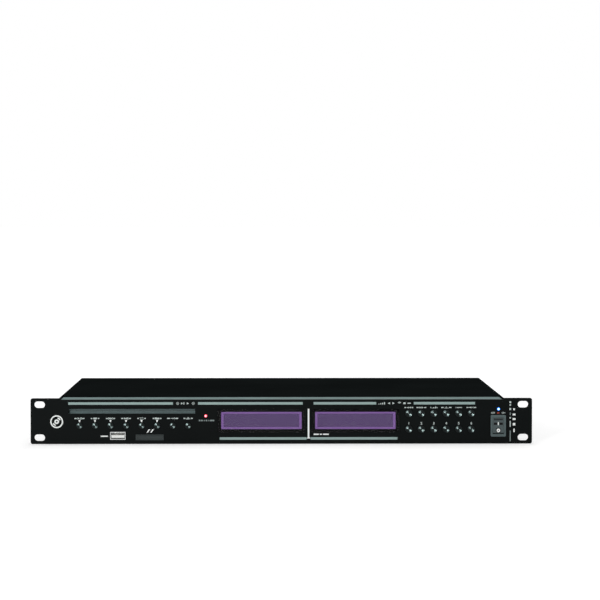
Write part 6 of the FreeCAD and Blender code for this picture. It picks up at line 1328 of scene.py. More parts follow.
@dataclass
class PowerSwitch(SubAssembly):
    """Rocker switch in its bezel."""

    finishes: dict[str, bpy.types.Material]
    pivot: Point = (208.6, 17.3)
    line_at: float = 2.0
    ring_at: float = -4.3
    line_half: Point = (0.45, 1.5)
    ring_radii: Point = (1.7, 0.6)
    grips: tuple[float, ...] = (5.55, 6.15, 6.75)

    def dress(self) -> None:
        """Dress the housing, and mark the rocker with a line and a ring, with dark bars of painted shade
        across its top and beside the line, and a dark band round the ring.
        """
        self.keep("switch", "switch_housing")
        self.keep("rocker", "power_rocker")
        x, z = self.pivot
        painted_shade_and_ring = Shape()
        # painted shade: dark bars across the rocker's top, where its pressed-in end lies in shadow
        self.rows(painted_shade_and_ring, [bar_at(-4.3, 4.3, at - 0.2, at + 0.2) for at in self.grips])
        # painted shade: dark bars beside the line, in the crease across the rocker's middle
        self.rows(painted_shade_and_ring, [bar_at(-4.3, -1.1, self.line_at - 1.1, self.line_at + 1.1),
                          bar_at(1.1, 4.3, self.line_at - 1.1, self.line_at + 1.1)])
        self.round_band(painted_shade_and_ring, 2.5, self.ring_radii[0] + 0.1)
        self.fit(painted_shade_and_ring, "rocker_painted_shade_and_ring", "border")
        marks = Shape()
        half_x, half_z = self.line_half
        self.rows(marks, [bar_at(-half_x, half_x, self.line_at - half_z, self.line_at + half_z)])
        self.round_band(marks, *self.ring_radii)
        self.fit(marks, "rocker_marks", "ink")
        words, dash = Shape(), Shape()
        words.figures("OFF", x - 4.9, 29.6, 1.5, 0.05)
        words.figures("ON", x + 5.0, 29.6, 1.5, 0.05)
        dash.print_rect(x - 1.2, x + 1.2, 29.0, 30.2)
        self.mount(words.piece("switch_words", self.finishes["label_ink"]), FIXED, "panel_black")
        self.mount(dash.piece("switch_dash", self.finishes["red_ink"]), FIXED, "panel_black")

    def rows(self, shape: Shape, bars: list[list[Point]]) -> None:
        """Draw bars round the rocker's middle, flat at y 0, each in steps that can follow a slope."""
        x, z = self.pivot
        for bar in bars:
            (left, low), (right, high) = bar[0], bar[2]
            steps = max(1, round((high - low) / 0.5))
            for i in range(steps):
                part = [low + (high - low) * j / steps for j in (i, i + 1)]
                shape.plate([(x + a, z + b) for a, b in bar_at(left, right, *part)], -0.06, 0.0)

    def round_band(self, shape: Shape, outer: float, inner: float) -> None:
        """Draw a ring at the rocker's lower mark, flat at y 0."""
        x, z = self.pivot
        for i in range(28):
            a, b = (2 * math.pi * j / 28 for j in (i, i + 1))
            spots = [(inner, a), (outer, a), (outer, b), (inner, b)]
            shape.plate([(x + r * math.cos(t), z + self.ring_at + r * math.sin(t)) for r, t in spots],
                        -0.06, 0.0)

    def fit(self, shape: Shape, name: str, finish: str) -> None:
        """Close a flat drawing, lay it on the rocker and let it move with it."""
        item = shape.piece(name, self.finishes[finish])
        self.lay_on_rocker(item)
        self.mount(item, "power_rocker", "rocker_plastic")

    def lay_on_rocker(self, marks: bpy.types.Object) -> None:
        """Lay each mark on the rocker's sloping halves.

        Args:
            marks: the marks, drawn flat at y 0.
        """
        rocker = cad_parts["power_rocker"]
        tree = bpy.context.evaluated_depsgraph_get()
        rocker_eval = rocker.evaluated_get(tree)
        for vert in marks.data.vertices:
            start = Vector((vert.co.x, (FACE - 30.0) * MM, vert.co.z))
            hit, spot, _, _ = rocker_eval.ray_cast(start, Vector((0.0, 1.0, 0.0)))
            if hit:
                vert.co.y += spot.y


@dataclass
class CaseWork(SubAssembly):
    """Chassis, cover, frame, rear panel, screws and pads."""

    finishes: dict[str, bpy.types.Material]
    side: float = 214.5
    wall: float = 213.5
    cover_screws: tuple[float, ...] = (50.0, 145.0, 240.0)
    cover_screw_z: float = 37.0
    flange_screw: Point = (272.5, 12.0)
    rear_screws: tuple[float, ...] = (-125.0, 0.0, 125.0)
    rear_screw: Point = (281.0, 39.7)
    floor_screws: tuple[float, ...] = (-190.0, -60.0, 60.0, 190.0)
    floor_screw: Point = (9.0, 1.0)
    studs: tuple[Point, ...] = ((-206.0, 17.0), (-72.25, 36.5), (-72.25, 8.5), (25.8, 38.5),
                                (194.3, 35.9), (194.3, 8.5))

    def dress(self) -> None:
        """Dress the sheet metal and make the screws."""
        self.keep("case", "chassis", "top_cover", "rear_panel")
        self.keep("flange", "front_frame")
        self.keep("pad", "rubber_pads")
        self.screws()
        self.nuts()

    def screws(self) -> None:
        """Make the cross-head screws of the case, and the flatter ones under the floor."""
        points, aims = [], []
        for turn in (-1.0, 1.0):
            out = Vector((turn, 0.0, 0.0))
            for depth in self.cover_screws:
                points.append(Vector((turn * self.side, FACE + depth, self.cover_screw_z)))
                aims.append(out)
            depth, height = self.flange_screw
            points.append(Vector((turn * self.wall, FACE + depth, height)))
            aims.append(out)
        depth, height = self.rear_screw
        for x in self.rear_screws:
            points.append(Vector((x, FACE + depth, height)))
            aims.append(Vector((0.0, 1.0, 0.0)))
        recipe = self.screw_recipe()
        screws = recipe.run(carrier_of(points, aims), name="case_screw_set")
        self.mount(screws, FIXED, "dark_steel", "case_screws")
        depth, height = self.floor_screw
        under = [Vector((x, FACE + depth, height)) for x in self.floor_screws]
        down = [Vector((0.0, 0.0, -1.0))] * len(under)
        low = recipe.run(carrier_of(under, down), {"Head Height": 0.8 * MM}, "floor_screw_set")
        self.mount(low, FIXED, "dark_steel", "case_screws")

    def screw_recipe(self) -> Recipe:
        """Draw up a pan-head screw with a cross recess and a ridged thread.

        Returns:
            The recipe, which stands a screw on each point of its carrier.
        """
        recipe = Recipe("case_screw")
        radius = recipe.size("Head Radius", 2.8 * MM)
        height = recipe.size("Head Height", 1.7 * MM)
        thread = recipe.size("Thread Radius", 1.5 * MM)
        length = recipe.size("Thread Length", 2.3 * MM)
        bar = recipe.size("Recess Width", 0.75 * MM)
        skirt = recipe.maths("MULTIPLY", height, 0.45)
        dome = recipe.add("GeometryNodeMeshUVSphere", Segments=40, Rings=20, Radius=1.0)
        dome = recipe.moved(dome.outputs["Mesh"], recipe.triple(0.0, 0.0, skirt),
                            recipe.triple(radius, radius, recipe.maths("MULTIPLY", height, 0.55)))
        drum = recipe.moved(recipe.drum(radius, skirt, 40),
                            recipe.triple(0.0, 0.0, recipe.maths("MULTIPLY", skirt, 0.5)))
        below = recipe.moved(recipe.cuboid(8.0 * MM, 8.0 * MM, 4.0 * MM), (0.0, 0.0, -2.0 * MM))
        head = recipe.carve("DIFFERENCE", recipe.carve("UNION", dome, drum), below)
        wide = recipe.maths("MULTIPLY", radius, 1.15)
        arms = [recipe.moved(recipe.cuboid(*sides, recipe.maths("MULTIPLY", height, 1.1)),
                             recipe.triple(0.0, 0.0, height)) for sides in ((wide, bar), (bar, wide))]
        head = recipe.carve("DIFFERENCE", head, *arms)
        shank = recipe.drum(thread, length, 20, 36)
        place = recipe.add("GeometryNodeInputPosition").outputs["Position"]
        split = recipe.add("ShaderNodeSeparateXYZ", Vector=place)
        phase = recipe.maths("MULTIPLY", split.outputs["Z"], 2 * math.pi / (0.5 * MM))
        wave = recipe.maths("SINE", phase, 0.0)
        share = recipe.maths("MULTIPLY", recipe.maths("SUBTRACT", wave, 1.0), 0.05)
        ridge = recipe.triple(recipe.maths("MULTIPLY", split.outputs["X"], share),
                              recipe.maths("MULTIPLY", split.outputs["Y"], share), 0.0)
        shank = recipe.add("GeometryNodeSetPosition", Geometry=shank, Offset=ridge).outputs["Geometry"]
        shank = recipe.moved(shank, recipe.triple(0.0, 0.0, recipe.maths("MULTIPLY", length, -0.5)))
        whole = recipe.add("GeometryNodeJoinGeometry")
        for part in (head, shank):
            recipe.tree.links.new(part, whole.inputs[0])
        recipe.close(recipe.stand(recipe.rounded(whole.outputs[0])), self.finishes["dark_steel"])
        return recipe

    def nuts(self) -> None:
        """Make the nuts on the panel's studs."""
        recipe = Recipe("stud_nut")
        radius = recipe.size("Nut Radius", 2.85 * MM)
        height = recipe.size("Nut Height", 2.0 * MM)
        bore = recipe.size("Bore Radius", 1.27 * MM)
        body = recipe.carve("DIFFERENCE", recipe.drum(radius, height, 6), recipe.drum(bore, 8 * MM, 24))
        body = recipe.moved(body, recipe.triple(0.0, 0.0, recipe.maths("MULTIPLY", height, 0.5)))
        recipe.close(recipe.stand(recipe.rounded(body)), self.finishes["plated"])
        points = [Vector((x, FACE + 4.0, z)) for x, z in self.studs]
        nuts = recipe.run(carrier_of(points, [Vector((0.0, 1.0, 0.0))] * len(points)), name="stud_nuts")
        self.mount(nuts, FIXED, "dark_steel", "case_screws")


def thread_coil(name: str, finish: bpy.types.Material, radius: float, wire: float, pitch: float,
                turns: float, start: Vector, aim: Vector) -> bpy.types.Object:
    """Wind a thread's ridge round an axis.

    Args:
        name: the piece's name.
        finish: its material.
        radius: radius of the ridge's middle line.
        wire: half the ridge's thickness.
        pitch: way along the axis for each turn.
        turns: number of turns.
        start, aim: where it begins, and the axis's direction.

    Returns:
        The ridge.
    """
    recipe = Recipe(name)
    middle = recipe.size("Radius", radius * MM)
    thick = recipe.size("Ridge Half Thickness", wire * MM)
    height = recipe.size("Length", pitch * turns * MM)
    count = recipe.size("Turns", float(turns))
    coil = recipe.add("GeometryNodeCurveSpiral", Resolution=20, Rotations=count, Start_Radius=middle,
                      End_Radius=middle, Height=height)
    section = recipe.add("GeometryNodeCurvePrimitiveCircle", Resolution=4, Radius=thick)
    swept = recipe.add("GeometryNodeCurveToMesh", Curve=coil.outputs["Curve"],
                       Profile_Curve=section.outputs["Curve"], Fill_Caps=True)
    recipe.close(recipe.stand(swept.outputs["Mesh"]), finish)
    return recipe.run(carrier_of([start], [aim]))


@dataclass
class DiscDrive(SubAssembly):
    """Slot-in disc mechanism."""

    finishes: dict[str, bpy.types.Material]
    spindle: Point = (-144.1, 95.0)
    seat: float = 26.4
    lens_at: tuple[float, float, float] = (-144.1, 119.0, 25.2)
    leadscrew_at: Point = (-117.1, 19.0)
    leadscrew_from: float = 106.0
    leadscrew_turns: int = 44
    leadscrew_pitch: float = 1.5

    def dress(self) -> None:
        """Dress every piece of the mechanism and add what the eye looks for on it."""
        self.keep("bare", "mech_base", "mech_top_plate", "traverse_plate", "clamp_arm", "roller_arm")
        self.keep("pad", "mech_dampers", "loading_belt")
        self.keep("plated", "mech_motors", "leadscrew")
        self.keep("black_plastic", "turntable", "clamp_puck")
        self.keep("cast", "optical_pickup")
        self.keep("roller", "disc_roller")
        self.keep("white_plastic", "motor_pulley")
        self.lens()
        self.seat_ring()
        x, z = self.leadscrew_at
        ridge = thread_coil("leadscrew_ridge", self.finishes["plated"], 1.42, 0.1, self.leadscrew_pitch,
                            self.leadscrew_turns, Vector((x, FACE + self.leadscrew_from, z)),
                            Vector((0.0, 1.0, 0.0)))
        self.mount(ridge, "leadscrew", "plated_steel")

    def lens(self) -> None:
        """Set the coated lens over the pickup's lens cone."""
        x, depth, top = self.lens_at
        profile = [(2.25 * math.cos(t), 0.1 + 0.62 * math.sin(t)) for t in
                   (math.radians(90 * i / 8) for i in range(9))]
        profile = [(0.0, -0.55)] + [(2.25, -0.55)] + profile[:-1] + [(0.0, 0.72)]
        shape = Shape().lathe([(r, way) for r, way in profile], (x, FACE + depth, top - 0.05), "Z", 36)
        self.mount(shape.piece("lens_glass", self.finishes["lens"], 50.0), "pickup", "window_tint")

    def seat_ring(self) -> None:
        """Lay the thin rubber ring that the disc rests on."""
        x, depth = self.spindle
        profile = [(11.2, -0.02), (14.1, -0.02), (14.1, 0.04), (11.2, 0.04), (11.2, -0.02)]
        shape = Shape().lathe(profile, (x, FACE + depth, self.seat), "Z", 64)
        self.mount(shape.piece("turntable_ring", self.finishes["roller"]), "turntable", "roller_rubber")


@dataclass
class Electronics(SubAssembly):
    """Circuit boards, tuner module, power supply and wiring."""

    finishes: dict[str, bpy.types.Material]
    floor: float = 8.0
    top: float = 9.6
    main: tuple[float, float, float, float] = (-62.0, 100.0, 60.0, 262.0)
    power: tuple[float, float, float, float] = (108.0, 211.5, 150.0, 256.0)
    chips: tuple[float, ...] = (-27.0, 19.0, 65.0)
    chip_depth: float = 130.0
    chip_half: float = 8.0
    capacitors: tuple[float, ...] = (2.0, 13.0, 24.0, 35.0)
    capacitor_depth: float = 205.0
    audio_x: float = -27.0
    transformer: Point = (138.0, 186.0)
    reservoirs: tuple[float, ...] = (126.0, 142.0, 158.0)
    reservoir_depth: float = 222.0
    sink_at: Point = (170.0, 170.0)
    terminal: Point = (208.6, 150.0)
    ribbon: tuple[float, float, float] = (-55.0, -25.0, 15.0)

    def dress(self) -> None:
        """Make the boards and what they carry."""
        self.keep("plated", "tuner_module")
        self.control_board()
        self.main_board()
        self.card_reader()
        self.power_board()
        self.wires()

    def slab(self, shape: Shape, x: Point, depth: Point, z: Point, bevel: float = 0.0) -> None:
        """Add a box given by its spans, with depths from the panel's face."""
        shape.slab((x[0], FACE + depth[0], z[0]), (x[1], FACE + depth[1], z[1]), bevel)

    def control_board(self) -> None:
        """Make the board behind the panel, with its key switches."""
        outline = [(-210.0, 13.4), (-104.0, 13.4), (-104.0, 4.5), (197.0, 4.5), (197.0, 29.5),
                   (211.5, 29.5), (211.5, 40.0), (-77.85, 40.0), (-77.85, 26.2), (-210.0, 26.2)]
        sheet = Shape().plate(outline, FACE + 12.0, FACE + 13.6)
        self.mount(sheet.piece("control_board_sheet", self.finishes["board"]), FIXED, "board_green",
                   "control_board")
        recipe = Recipe("key_switch")
        side = recipe.size("Side", 6.2 * MM)
        height = recipe.size("Height", 3.5 * MM)
        bore = recipe.size("Bore Radius", 1.56 * MM)
        depth = recipe.size("Bore Depth", 2.2 * MM)
        case = recipe.moved(recipe.cuboid(side, side, height),
                            recipe.triple(0.0, 0.0, recipe.maths("MULTIPLY", height, 0.5)))
        hole = recipe.moved(recipe.drum(bore, recipe.maths("MULTIPLY", depth, 2.0), 24),
                            recipe.triple(0.0, 0.0, height))
        recipe.close(recipe.stand(recipe.rounded(recipe.carve("DIFFERENCE", case, hole))),
                     self.finishes["black_plastic"])
        points = []
        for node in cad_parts:
            if node.startswith(("cd_button_", "tuner_button_")):
                low, high = node_box(node)
                points.append(Vector(((low.x + high.x) / 2, FACE + 12.0, (low.z + high.z) / 2)))
        aims = [Vector((0.0, -1.0, 0.0))] * len(points)
        keys = recipe.run(carrier_of(points, aims), name="key_switches")
        self.mount(keys, FIXED, "dark_plastic", "control_board")

    def main_board(self) -> None:
        """Make the main board with chips, capacitors, small parts and the audio block."""
        left, right, front, back = self.main
        sheet, chips, block = Shape(), Shape(), Shape()
        self.slab(sheet, (left, right), (front, back), (self.floor, self.top))
        self.mount(sheet.piece("main_board_sheet", self.finishes["board"]), FIXED, "board_green",
                   "main_board")
        half = self.chip_half - 0.8
        pins = []
        for x in self.chips:
            self.slab(chips, (x - half, x + half), (self.chip_depth - half, self.chip_depth + half),
                      (self.top + 0.2, self.top + 2.0), 0.2)
            for i in range(12):
                way = (i - 5.5) * 1.1
                for side in (-1, 1):
                    reach = side * (self.chip_half - 0.4)
                    pins += [Vector((x + way, FACE + self.chip_depth + reach, self.top)),
                             Vector((x + reach, FACE + self.chip_depth + way, self.top))]
        aims = [Vector((0.0, 0.0, 1.0))] * len(pins)
        self.mount(chips.piece("board_chips", self.finishes["black_plastic"]), FIXED, "dark_plastic")
        recipe = Recipe("chip_pin")
        width = recipe.size("Width", 0.7 * MM)
        pin = recipe.moved(recipe.cuboid(width, width, 0.9 * MM), (0.0, 0.0, 0.45 * MM))
        recipe.close(recipe.stand(pin), self.finishes["plated"])
        self.mount(recipe.run(carrier_of(pins, aims), name="chip_pins"), FIXED, "plated_steel")
        spots = [(x, self.capacitor_depth) for x in self.capacitors]
        self.cans("board_capacitors", spots, 4.0, 16.0)
        self.slab(block, (self.audio_x - 15.0, self.audio_x + 15.0), (264.0, 279.0), (self.top, 36.5), 0.4)
        self.slab(block, (self.audio_x - 15.0, self.audio_x + 15.0), (259.0, 266.0), (self.top, 11.6), 0.2)
        self.mount(block.piece("audio_block", self.finishes["black_plastic"]), FIXED, "dark_plastic")
        self.small_parts("main_board_parts", ((-20.0, 92.0, 66.0, 114.0), (-58.0, 40.0, 150.0, 192.0)), 5)

    def small_parts(self, name: str, fields: tuple[tuple[float, float, float, float], ...],
                    seed: int) -> None:
        """Scatter resistors and other small parts over free fields of a board.

        Args:
            name: the piece's name.
            fields: left, right, front and back of each field.
            seed: start of the chance numbers.
        """
        points = []
        for left, right, front, back in fields:
            columns, rows = round((right - left) / 5.0), round((back - front) / 4.0)
            points += [Vector((left + (right - left) * (i + 0.5) / columns,
                               FACE + front + (back - front) * (j + 0.5) / rows, self.top))
                       for i in range(columns) for j in range(rows) if (i * 7 + j * 3) % 5 > 1]
        recipe = Recipe(name)
        length = recipe.size("Length", 2.6 * MM)
        width = recipe.size("Width", 1.3 * MM)
        height = recipe.size("Height", 0.7 * MM)
        part = recipe.moved(recipe.cuboid(length, width, height),
                            recipe.triple(0.0, 0.0, recipe.maths("MULTIPLY", height, 0.5)))
        scale = recipe.triple(recipe.chance(0.6, 1.3, seed), recipe.chance(0.6, 1.2, seed + 1),
                              recipe.chance(0.6, 1.6, seed + 2))
        recipe.close(recipe.stand(part, scale), self.finishes["black_plastic"])
        item = recipe.run(carrier_of(points, [Vector((0.0, 0.0, 1.0))] * len(points)))
        self.mount(item, FIXED, "dark_plastic")

    def cans(self, name: str, spots: list[Point], radius: float, height: float) -> None:
        """Stand upright capacitors with a sleeve, a waist groove and a bare top on a board."""
        sleeve, tops = Shape(), Shape()
        for x, depth in spots:
            centre = (x, FACE + depth, self.top)
            sleeve.lathe([(0.0, 0.0), (radius - 0.25, 0.0), (radius, 0.4), (radius, 1.6),
                          (radius - 0.35, 2.1), (radius, 2.6), (radius, height - 0.5),
                          (radius - 0.4, height), (radius - 0.8, height), (radius - 0.8, height - 0.3),
                          (0.0, height - 0.3)], centre, "Z", 36)
            tops.lathe([(0.0, height - 0.3), (radius - 0.8, height - 0.3), (radius - 0.9, height - 0.1),
                        (0.4, height - 0.1), (0.0, height - 0.2)], centre, "Z", 36)
        self.mount(sleeve.piece(name, self.finishes["sleeve"]), FIXED, "dark_plastic")
        self.mount(tops.piece(f"{name}_tops", self.finishes["nickel"]), FIXED, "nickel_plate")

    def card_reader(self) -> None:
        """Make the small board under the front sockets and the sheet-metal card reader on it."""
        board, case = Shape(), Shape()
        self.slab(board, (-170.05, -108.5), (14.3, 49.2), (2.3, 3.5))
        self.mount(board.piece("media_board_sheet", self.finishes["board"]), FIXED, "board_green",
                   "main_board")
        left, right, front, back = -140.3, -113.6, 14.3, 44.2
        wide, deep, gap = (left, right), (front, back), (4.3, 6.7)
        for x, depth, z in ((wide, deep, (3.5, 4.3)), (wide, deep, (6.7, 7.5)),
                            ((left, left + 1.05), deep, gap), ((right - 1.05, right), deep, gap),
                            ((left + 1.05, right - 1.05), (back - 0.8, back), gap)):
            self.slab(case, x, depth, z)
        self.mount(case.piece("card_reader_case", self.finishes["plated"]), FIXED, "plated_steel")

    def power_board(self) -> None:
        """Make the power board with transformer, capacitors, heat sink and terminal block."""
        left, right, front, back = self.power
        sheet, coil, block, heads = Shape(), Shape(), Shape(), Shape()
        self.slab(sheet, (left, right), (front, back), (self.floor, self.top))
        self.mount(sheet.piece("power_board_sheet", self.finishes["board"]), FIXED, "board_green",
                   "power_supply")
        x, depth = self.transformer
        self.stack("core_sheets", "core_iron", (x, depth - 9.5, self.top + 14.0), (48.0, 0.94, 28.0),
                   (0.0, 1.0, 0.0), 20)
        for low, high in ((depth - 19.0, depth - 10.1), (depth + 10.1, depth + 19.0)):
            self.slab(coil, (x - 16.0, x + 16.0), (low, high), (self.top + 4.0, self.top + 24.0), 2.4)
        self.mount(coil.piece("transformer_winding", self.finishes["winding"]), FIXED, "cast_alloy")
        self.cans("power_capacitors", [(a, self.reservoir_depth) for a in self.reservoirs], 5.5, 22.0)
        x, depth = self.sink_at
        plate = Shape()
        self.slab(plate, (x, x + 2.0), (depth, depth + 46.0), (self.top, self.top + 24.0), 0.15)
        self.mount(plate.piece("sink_plate", self.finishes["sink"]), FIXED, "cast_alloy")
        self.stack("sink_fins", "sink", (x + 7.0, depth + 0.75, self.top + 12.0), (10.0, 1.5, 24.0),
                   (0.0, 6.0, 0.0), 8)
        x, depth = self.terminal
        self.slab(block, (x - 3.5, x + 3.5), (depth, depth + 10.0), (self.top, 24.3), 0.3)
        self.mount(block.piece("terminal_block", self.finishes["block_green"]), FIXED, "grey_plastic")
        for side in (-1, 1):
            heads.lathe([(0.0, -0.4), (1.3, -0.4), (1.3, 0.0), (0.0, 0.0)],
                        (x + side * 1.7, FACE + depth + 5.0, 24.7), "Z", 20)
        self.mount(heads.piece("terminal_screws", self.finishes["plated"]), FIXED, "plated_steel")
        self.small_parts("power_board_parts", ((112.0, 160.0, 232.0, 252.0),), 21)

    def stack(self, name: str, finish: str, first: tuple[float, float, float],
              sides: tuple[float, float, float], step: tuple[float, float, float], count: int) -> None:
        """Repeat a thin sheet along a line.

        Args:
            name: the piece's name.
            finish: its finish.
            first: middle of the first sheet, with its depth from the panel's face.
            sides: the sheet's three sides.
            step: way from one sheet to the next.
            count: number of sheets.
        """
        recipe = Recipe(name)
        inputs = [recipe.size(label, side * MM) for label, side in zip(("Width", "Depth", "Height"), sides)]
        number = recipe.size("Count", count)
        line = recipe.add("GeometryNodeMeshLine", Count=number, Offset=tuple(part * MM for part in step))
        along = recipe.add("GeometryNodeInstanceOnPoints", Points=line.outputs["Mesh"],
                           Instance=recipe.cuboid(*inputs))
        x, depth, z = first
        placed = recipe.moved(along.outputs["Instances"], (x * MM, (FACE + depth) * MM, z * MM))
        recipe.close(placed, self.finishes[finish])
        self.mount(recipe.run(carrier_of([Vector()])), FIXED, "cast_alloy")

    def wires(self) -> None:
        """Make the two mains wires, which sag a little, and the flat cable."""
        x, depth = self.terminal
        for name, finish, z in (("live_wire", "live_wire", 12.3), ("return_wire", "return_wire", 22.3)):
            path = [Vector((x, FACE + 25.0 + (depth - 25.0) * i / 40,
                            z - 1.8 * math.sin(math.pi * i / 40) ** 2)) for i in range(41)]
            self.mount(Shape().tube(path, 1.1).piece(name, self.finishes[finish], 60.0), FIXED,
                       "grey_cable", "wiring")
        left, right, z = self.ribbon
        shape = Shape()
        count = 24
        pitch = (right - left) / count
        level = z + 0.4
        corner = [Vector((0.0, FACE + 64.4 + 2.0 * math.sin(t), level - 2.0 + 2.0 * math.cos(t)))
                  for t in (math.radians(15 * i) for i in range(7))]
        for i in range(count):
            middle = left + pitch * (i + 0.5)
            path = [Vector((0.0, FACE + 13.6, level))] + corner + [Vector((0.0, FACE + 66.4, self.top))]
            shape.tube([Vector((middle, point.y, point.z)) for point in path], 0.4, 8)
        for i in range(count - 1):
            edge = left + pitch * (i + 1)
            self.slab(shape, (edge - 0.35, edge + 0.35), (13.6, 64.2), (level - 0.15, level + 0.15))
        self.mount(shape.piece("flat_cable", self.finishes["cable"], 50.0), FIXED, "grey_cable", "wiring")


@dataclass
class RearSockets(SubAssembly):
    """Audio, aerial and mains sockets."""

    finishes: dict[str, bpy.types.Material]
    audio: tuple[tuple[float, str], ...] = ((-34.0, "white_plastic"), (-20.0, "red_plastic"))
    audio_heights: Point = (14.5, 28.5)
    aerial: Point = (70.0, 19.0)
    inlet_x: float = 165.0
    pins: tuple[Point, ...] = ((-7.0, 23.6), (0.0, 27.6), (7.0, 23.6))

    def dress(self) -> None:
        """Make the sockets."""
        self.keep("black_plastic", "mains_inlet", "fuse_drawer")
        shells = Shape()
        for x, colour in self.audio:
            collars = Shape()
            for z in self.audio_heights:
                centre = (x, FACE, z)
                shells.lathe([(3.45, 281.6), (4.15, 281.6), (4.15, 285.4), (3.95, 285.6), (3.95, 286.4),
                              (4.15, 286.6), (4.15, 289.1), (3.9, 289.5), (3.6, 289.5), (3.45, 289.2),
                              (3.45, 281.6)], centre, "Y", 48)
                collars.lathe([(1.65, 279.0), (5.0, 279.0), (5.2, 279.3), (5.2, 281.3), (4.9, 281.6),
                               (3.4, 281.6), (3.4, 287.6), (3.2, 287.9), (2.0, 287.9), (1.65, 287.5),
                               (1.65, 279.0)], centre, "Y", 48)
            name = f"audio_collars_{colour.split('_')[0]}"
            self.mount(collars.piece(name, self.finishes[colour]), FIXED, "white_plastic", "main_board")
        self.mount(shells.piece("audio_shells", self.finishes["nickel"]), FIXED, "nickel_plate",
                   "rear_sockets")
        self.aerial_socket()
        self.mains_pins()

    def aerial_socket(self) -> None:
        """Make the threaded aerial socket, its nut and the insulator in its mouth."""
        x, z = self.aerial
        centre = (x, FACE, z)
        metal = Shape()
        metal.lathe([(3.3, 279.0), (5.6, 279.0), (5.6, 282.0), (4.5, 282.2), (4.5, 290.0), (4.2, 290.5),
                     (3.5, 290.5), (3.3, 290.2), (3.3, 279.0)], centre, "Y", 48)
        metal.lathe([(5.62, 280.0), (7.3, 280.0), (7.4, 280.2), (7.4, 281.7), (6.7, 282.2), (5.62, 282.2),
                     (5.62, 280.0)], centre, "Y", 6)
        self.mount(metal.piece("aerial_socket", self.finishes["nickel"]), FIXED, "nickel_plate",
                   "rear_sockets")
        ridge = thread_coil("aerial_thread", self.finishes["nickel"], 4.55, 0.18, 0.8, 8,
                            Vector((x, FACE + 283.0, z)), Vector((0.0, 1.0, 0.0)))
        self.mount(ridge, FIXED, "nickel_plate")
        core = Shape().lathe([(1.19, 280.0), (3.28, 280.0), (3.28, 289.6), (1.5, 289.6), (1.19, 289.3),
                              (1.19, 280.0)], centre, "Y", 36)
        self.mount(core.piece("aerial_insulator", self.finishes["white_plastic"]), FIXED,
                   "white_plastic")

    def mains_pins(self) -> None:
        """Sleeve the inlet's three pins in bright metal."""
        shape = Shape()
        for way, z in self.pins:
            x = self.inlet_x + way
            shape.slab((x - 1.03, FACE + 266.1, z - 2.03), (x + 1.03, FACE + 278.04, z + 2.03), 0.25)
        self.mount(shape.piece("inlet_pins", self.finishes["plated"]), FIXED, "plated_steel")


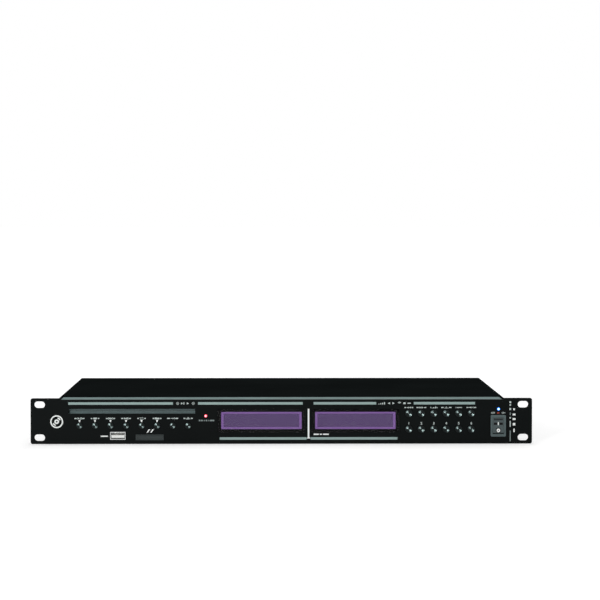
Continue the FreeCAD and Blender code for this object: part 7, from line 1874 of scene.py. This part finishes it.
@dataclass
class Studio:
    """Floor, lamps, sky and camera."""

    camera_at: tuple[float, float, float] = (-10.3, FACE - 2254.0, 223.0)
    pitch: float = 2.146
    yaw: float = 0.711
    lens: float = 140.92
    sensor: float = 36.0
    fill: float = 0.45
    lit_span: Point = (2.2, 3.6)
    glow: Point = (0.31, 0.9)

    def build(self) -> None:
        """Make the whole studio."""
        self.floor()
        self.sky()
        for name, place, aim, size, power in (
                ("key_lamp", (-0.855, -2.75, 0.62), (0.0, -0.14, 0.02), 0.4, 32.0),
                ("rear_lamp", (0.6, 2.2, 1.6), (0.0, 0.14, 0.02), 1.6, 18.0),
                ("top_lamp", (-0.2, 0.2, 2.6), (0.0, 0.0, 0.0), 1.8, 24.0)):
            self.lamp(name, Vector(place), Vector(aim), size, power)
        self.camera()
        bpy.context.scene.view_settings.view_transform = "Standard"

    def seen(self, tree: bpy.types.NodeTree) -> bpy.types.NodeSocket:
        """Give 1 for rays from the camera, straight or by way of metal and glass, and 0 for others.

        Args:
            tree: the node tree that it is added to.

        Returns:
            The socket that gives it.
        """
        path = tree.nodes.new("ShaderNodeLightPath")
        last = path.outputs["Is Camera Ray"]
        for name in ("Is Glossy Ray", "Is Transmission Ray"):
            both = tree.nodes.new("ShaderNodeMath")
            both.operation = "MAXIMUM"
            tree.links.new(last, both.inputs[0])
            tree.links.new(path.outputs[name], both.inputs[1])
            last = both.outputs[0]
        return last

    def floor(self) -> None:
        """Lay a pale floor that keeps the shadow and reads as white, also beyond the lamps' reach."""
        data = bpy.data.meshes.new("floor")
        half = 30.0
        data.from_pydata([(-half, -half, 0), (half, -half, 0), (half, half, 0), (-half, half, 0)], [],
                         [(0, 1, 2, 3)])
        item = bpy.data.objects.new("floor", data)
        bpy.context.scene.collection.objects.link(item)
        material = bpy.data.materials.new("floor_white")
        material.use_nodes = True
        tree = material.node_tree
        tree.nodes.clear()
        matt = tree.nodes.new("ShaderNodeBsdfDiffuse")
        matt.inputs["Color"].default_value = (0.8, 0.8, 0.8, 1.0)
        glow = tree.nodes.new("ShaderNodeEmission")
        strength = tree.nodes.new("ShaderNodeMath")
        strength.operation = "MULTIPLY"
        away = tree.nodes.new("ShaderNodeVectorMath")
        away.operation = "LENGTH"
        share = tree.nodes.new("ShaderNodeMapRange")
        for name, value in zip(("From Min", "From Max", "To Min", "To Max"), (*self.lit_span, *self.glow)):
            share.inputs[name].default_value = value
        tree.links.new(tree.nodes.new("ShaderNodeTexCoord").outputs["Object"], away.inputs[0])
        tree.links.new(away.outputs["Value"], share.inputs["Value"])
        tree.links.new(share.outputs["Result"], strength.inputs[1])
        total = tree.nodes.new("ShaderNodeAddShader")
        out = tree.nodes.new("ShaderNodeOutputMaterial")
        tree.links.new(self.seen(tree), strength.inputs[0])
        tree.links.new(strength.outputs[0], glow.inputs["Strength"])
        tree.links.new(matt.outputs[0], total.inputs[0])
        tree.links.new(glow.outputs[0], total.inputs[1])
        tree.links.new(total.outputs[0], out.inputs["Surface"])
        data.materials.append(material)

    def sky(self) -> None:
        """Light from all round, and plain white wherever the sky itself is seen."""
        world = bpy.data.worlds.new("sky")
        world.use_nodes = True
        tree = world.node_tree
        back = tree.nodes["Background"]
        back.inputs["Color"].default_value = (1.0, 1.0, 1.0, 1.0)
        level = tree.nodes.new("ShaderNodeMapRange")
        level.inputs["To Min"].default_value = self.fill
        level.inputs["To Max"].default_value = 1.0
        tree.links.new(self.seen(tree), level.inputs["Value"])
        tree.links.new(level.outputs["Result"], back.inputs["Strength"])
        bpy.context.scene.world = world

    def lamp(self, name: str, place: Vector, aim: Vector, size: float, power: float) -> None:
        """Hang one square soft lamp.

        Args:
            name: its name.
            place, aim: where it hangs and what it looks at, in metres.
            size: side of the lamp in metres.
            power: its power in watts.
        """
        data = bpy.data.lights.new(name, "AREA")
        data.size = size
        data.energy = power
        item = bpy.data.objects.new(name, data)
        item.location = place
        item.rotation_euler = (aim - place).to_track_quat("-Z", "Y").to_euler()
        bpy.context.scene.collection.objects.link(item)

    def camera(self) -> None:
        """Set up the camera at the viewing angle of the photograph."""
        data = bpy.data.cameras.new("camera")
        data.lens = self.lens
        data.sensor_width = self.sensor
        data.sensor_fit = "HORIZONTAL"
        data.clip_end = 100.0
        item = bpy.data.objects.new("camera", data)
        item.location = Vector(self.camera_at) * MM
        item.rotation_euler = (math.radians(90 - self.pitch), 0.0, math.radians(-self.yaw))
        bpy.context.scene.collection.objects.link(item)
        bpy.context.scene.camera = item


def main() -> None:
    """Dress the unit, part by part, and set up the studio."""
    logging.basicConfig(level=logging.INFO, format="%(message)s")
    palette = Palette()
    finishes = {name: getattr(palette, name).build() for name in palette.__dataclass_fields__}
    for part in (CaseWork, FrontPanel, DiscSlot, Displays, Buttons, FrontLamps, FrontSockets,
                 PowerSwitch, DiscDrive, Electronics, RearSockets):
        LOG.info("building %s", part.__name__)
        part(finishes).dress()
    Studio().build()
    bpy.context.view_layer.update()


if __name__ == "__main__":
    main()
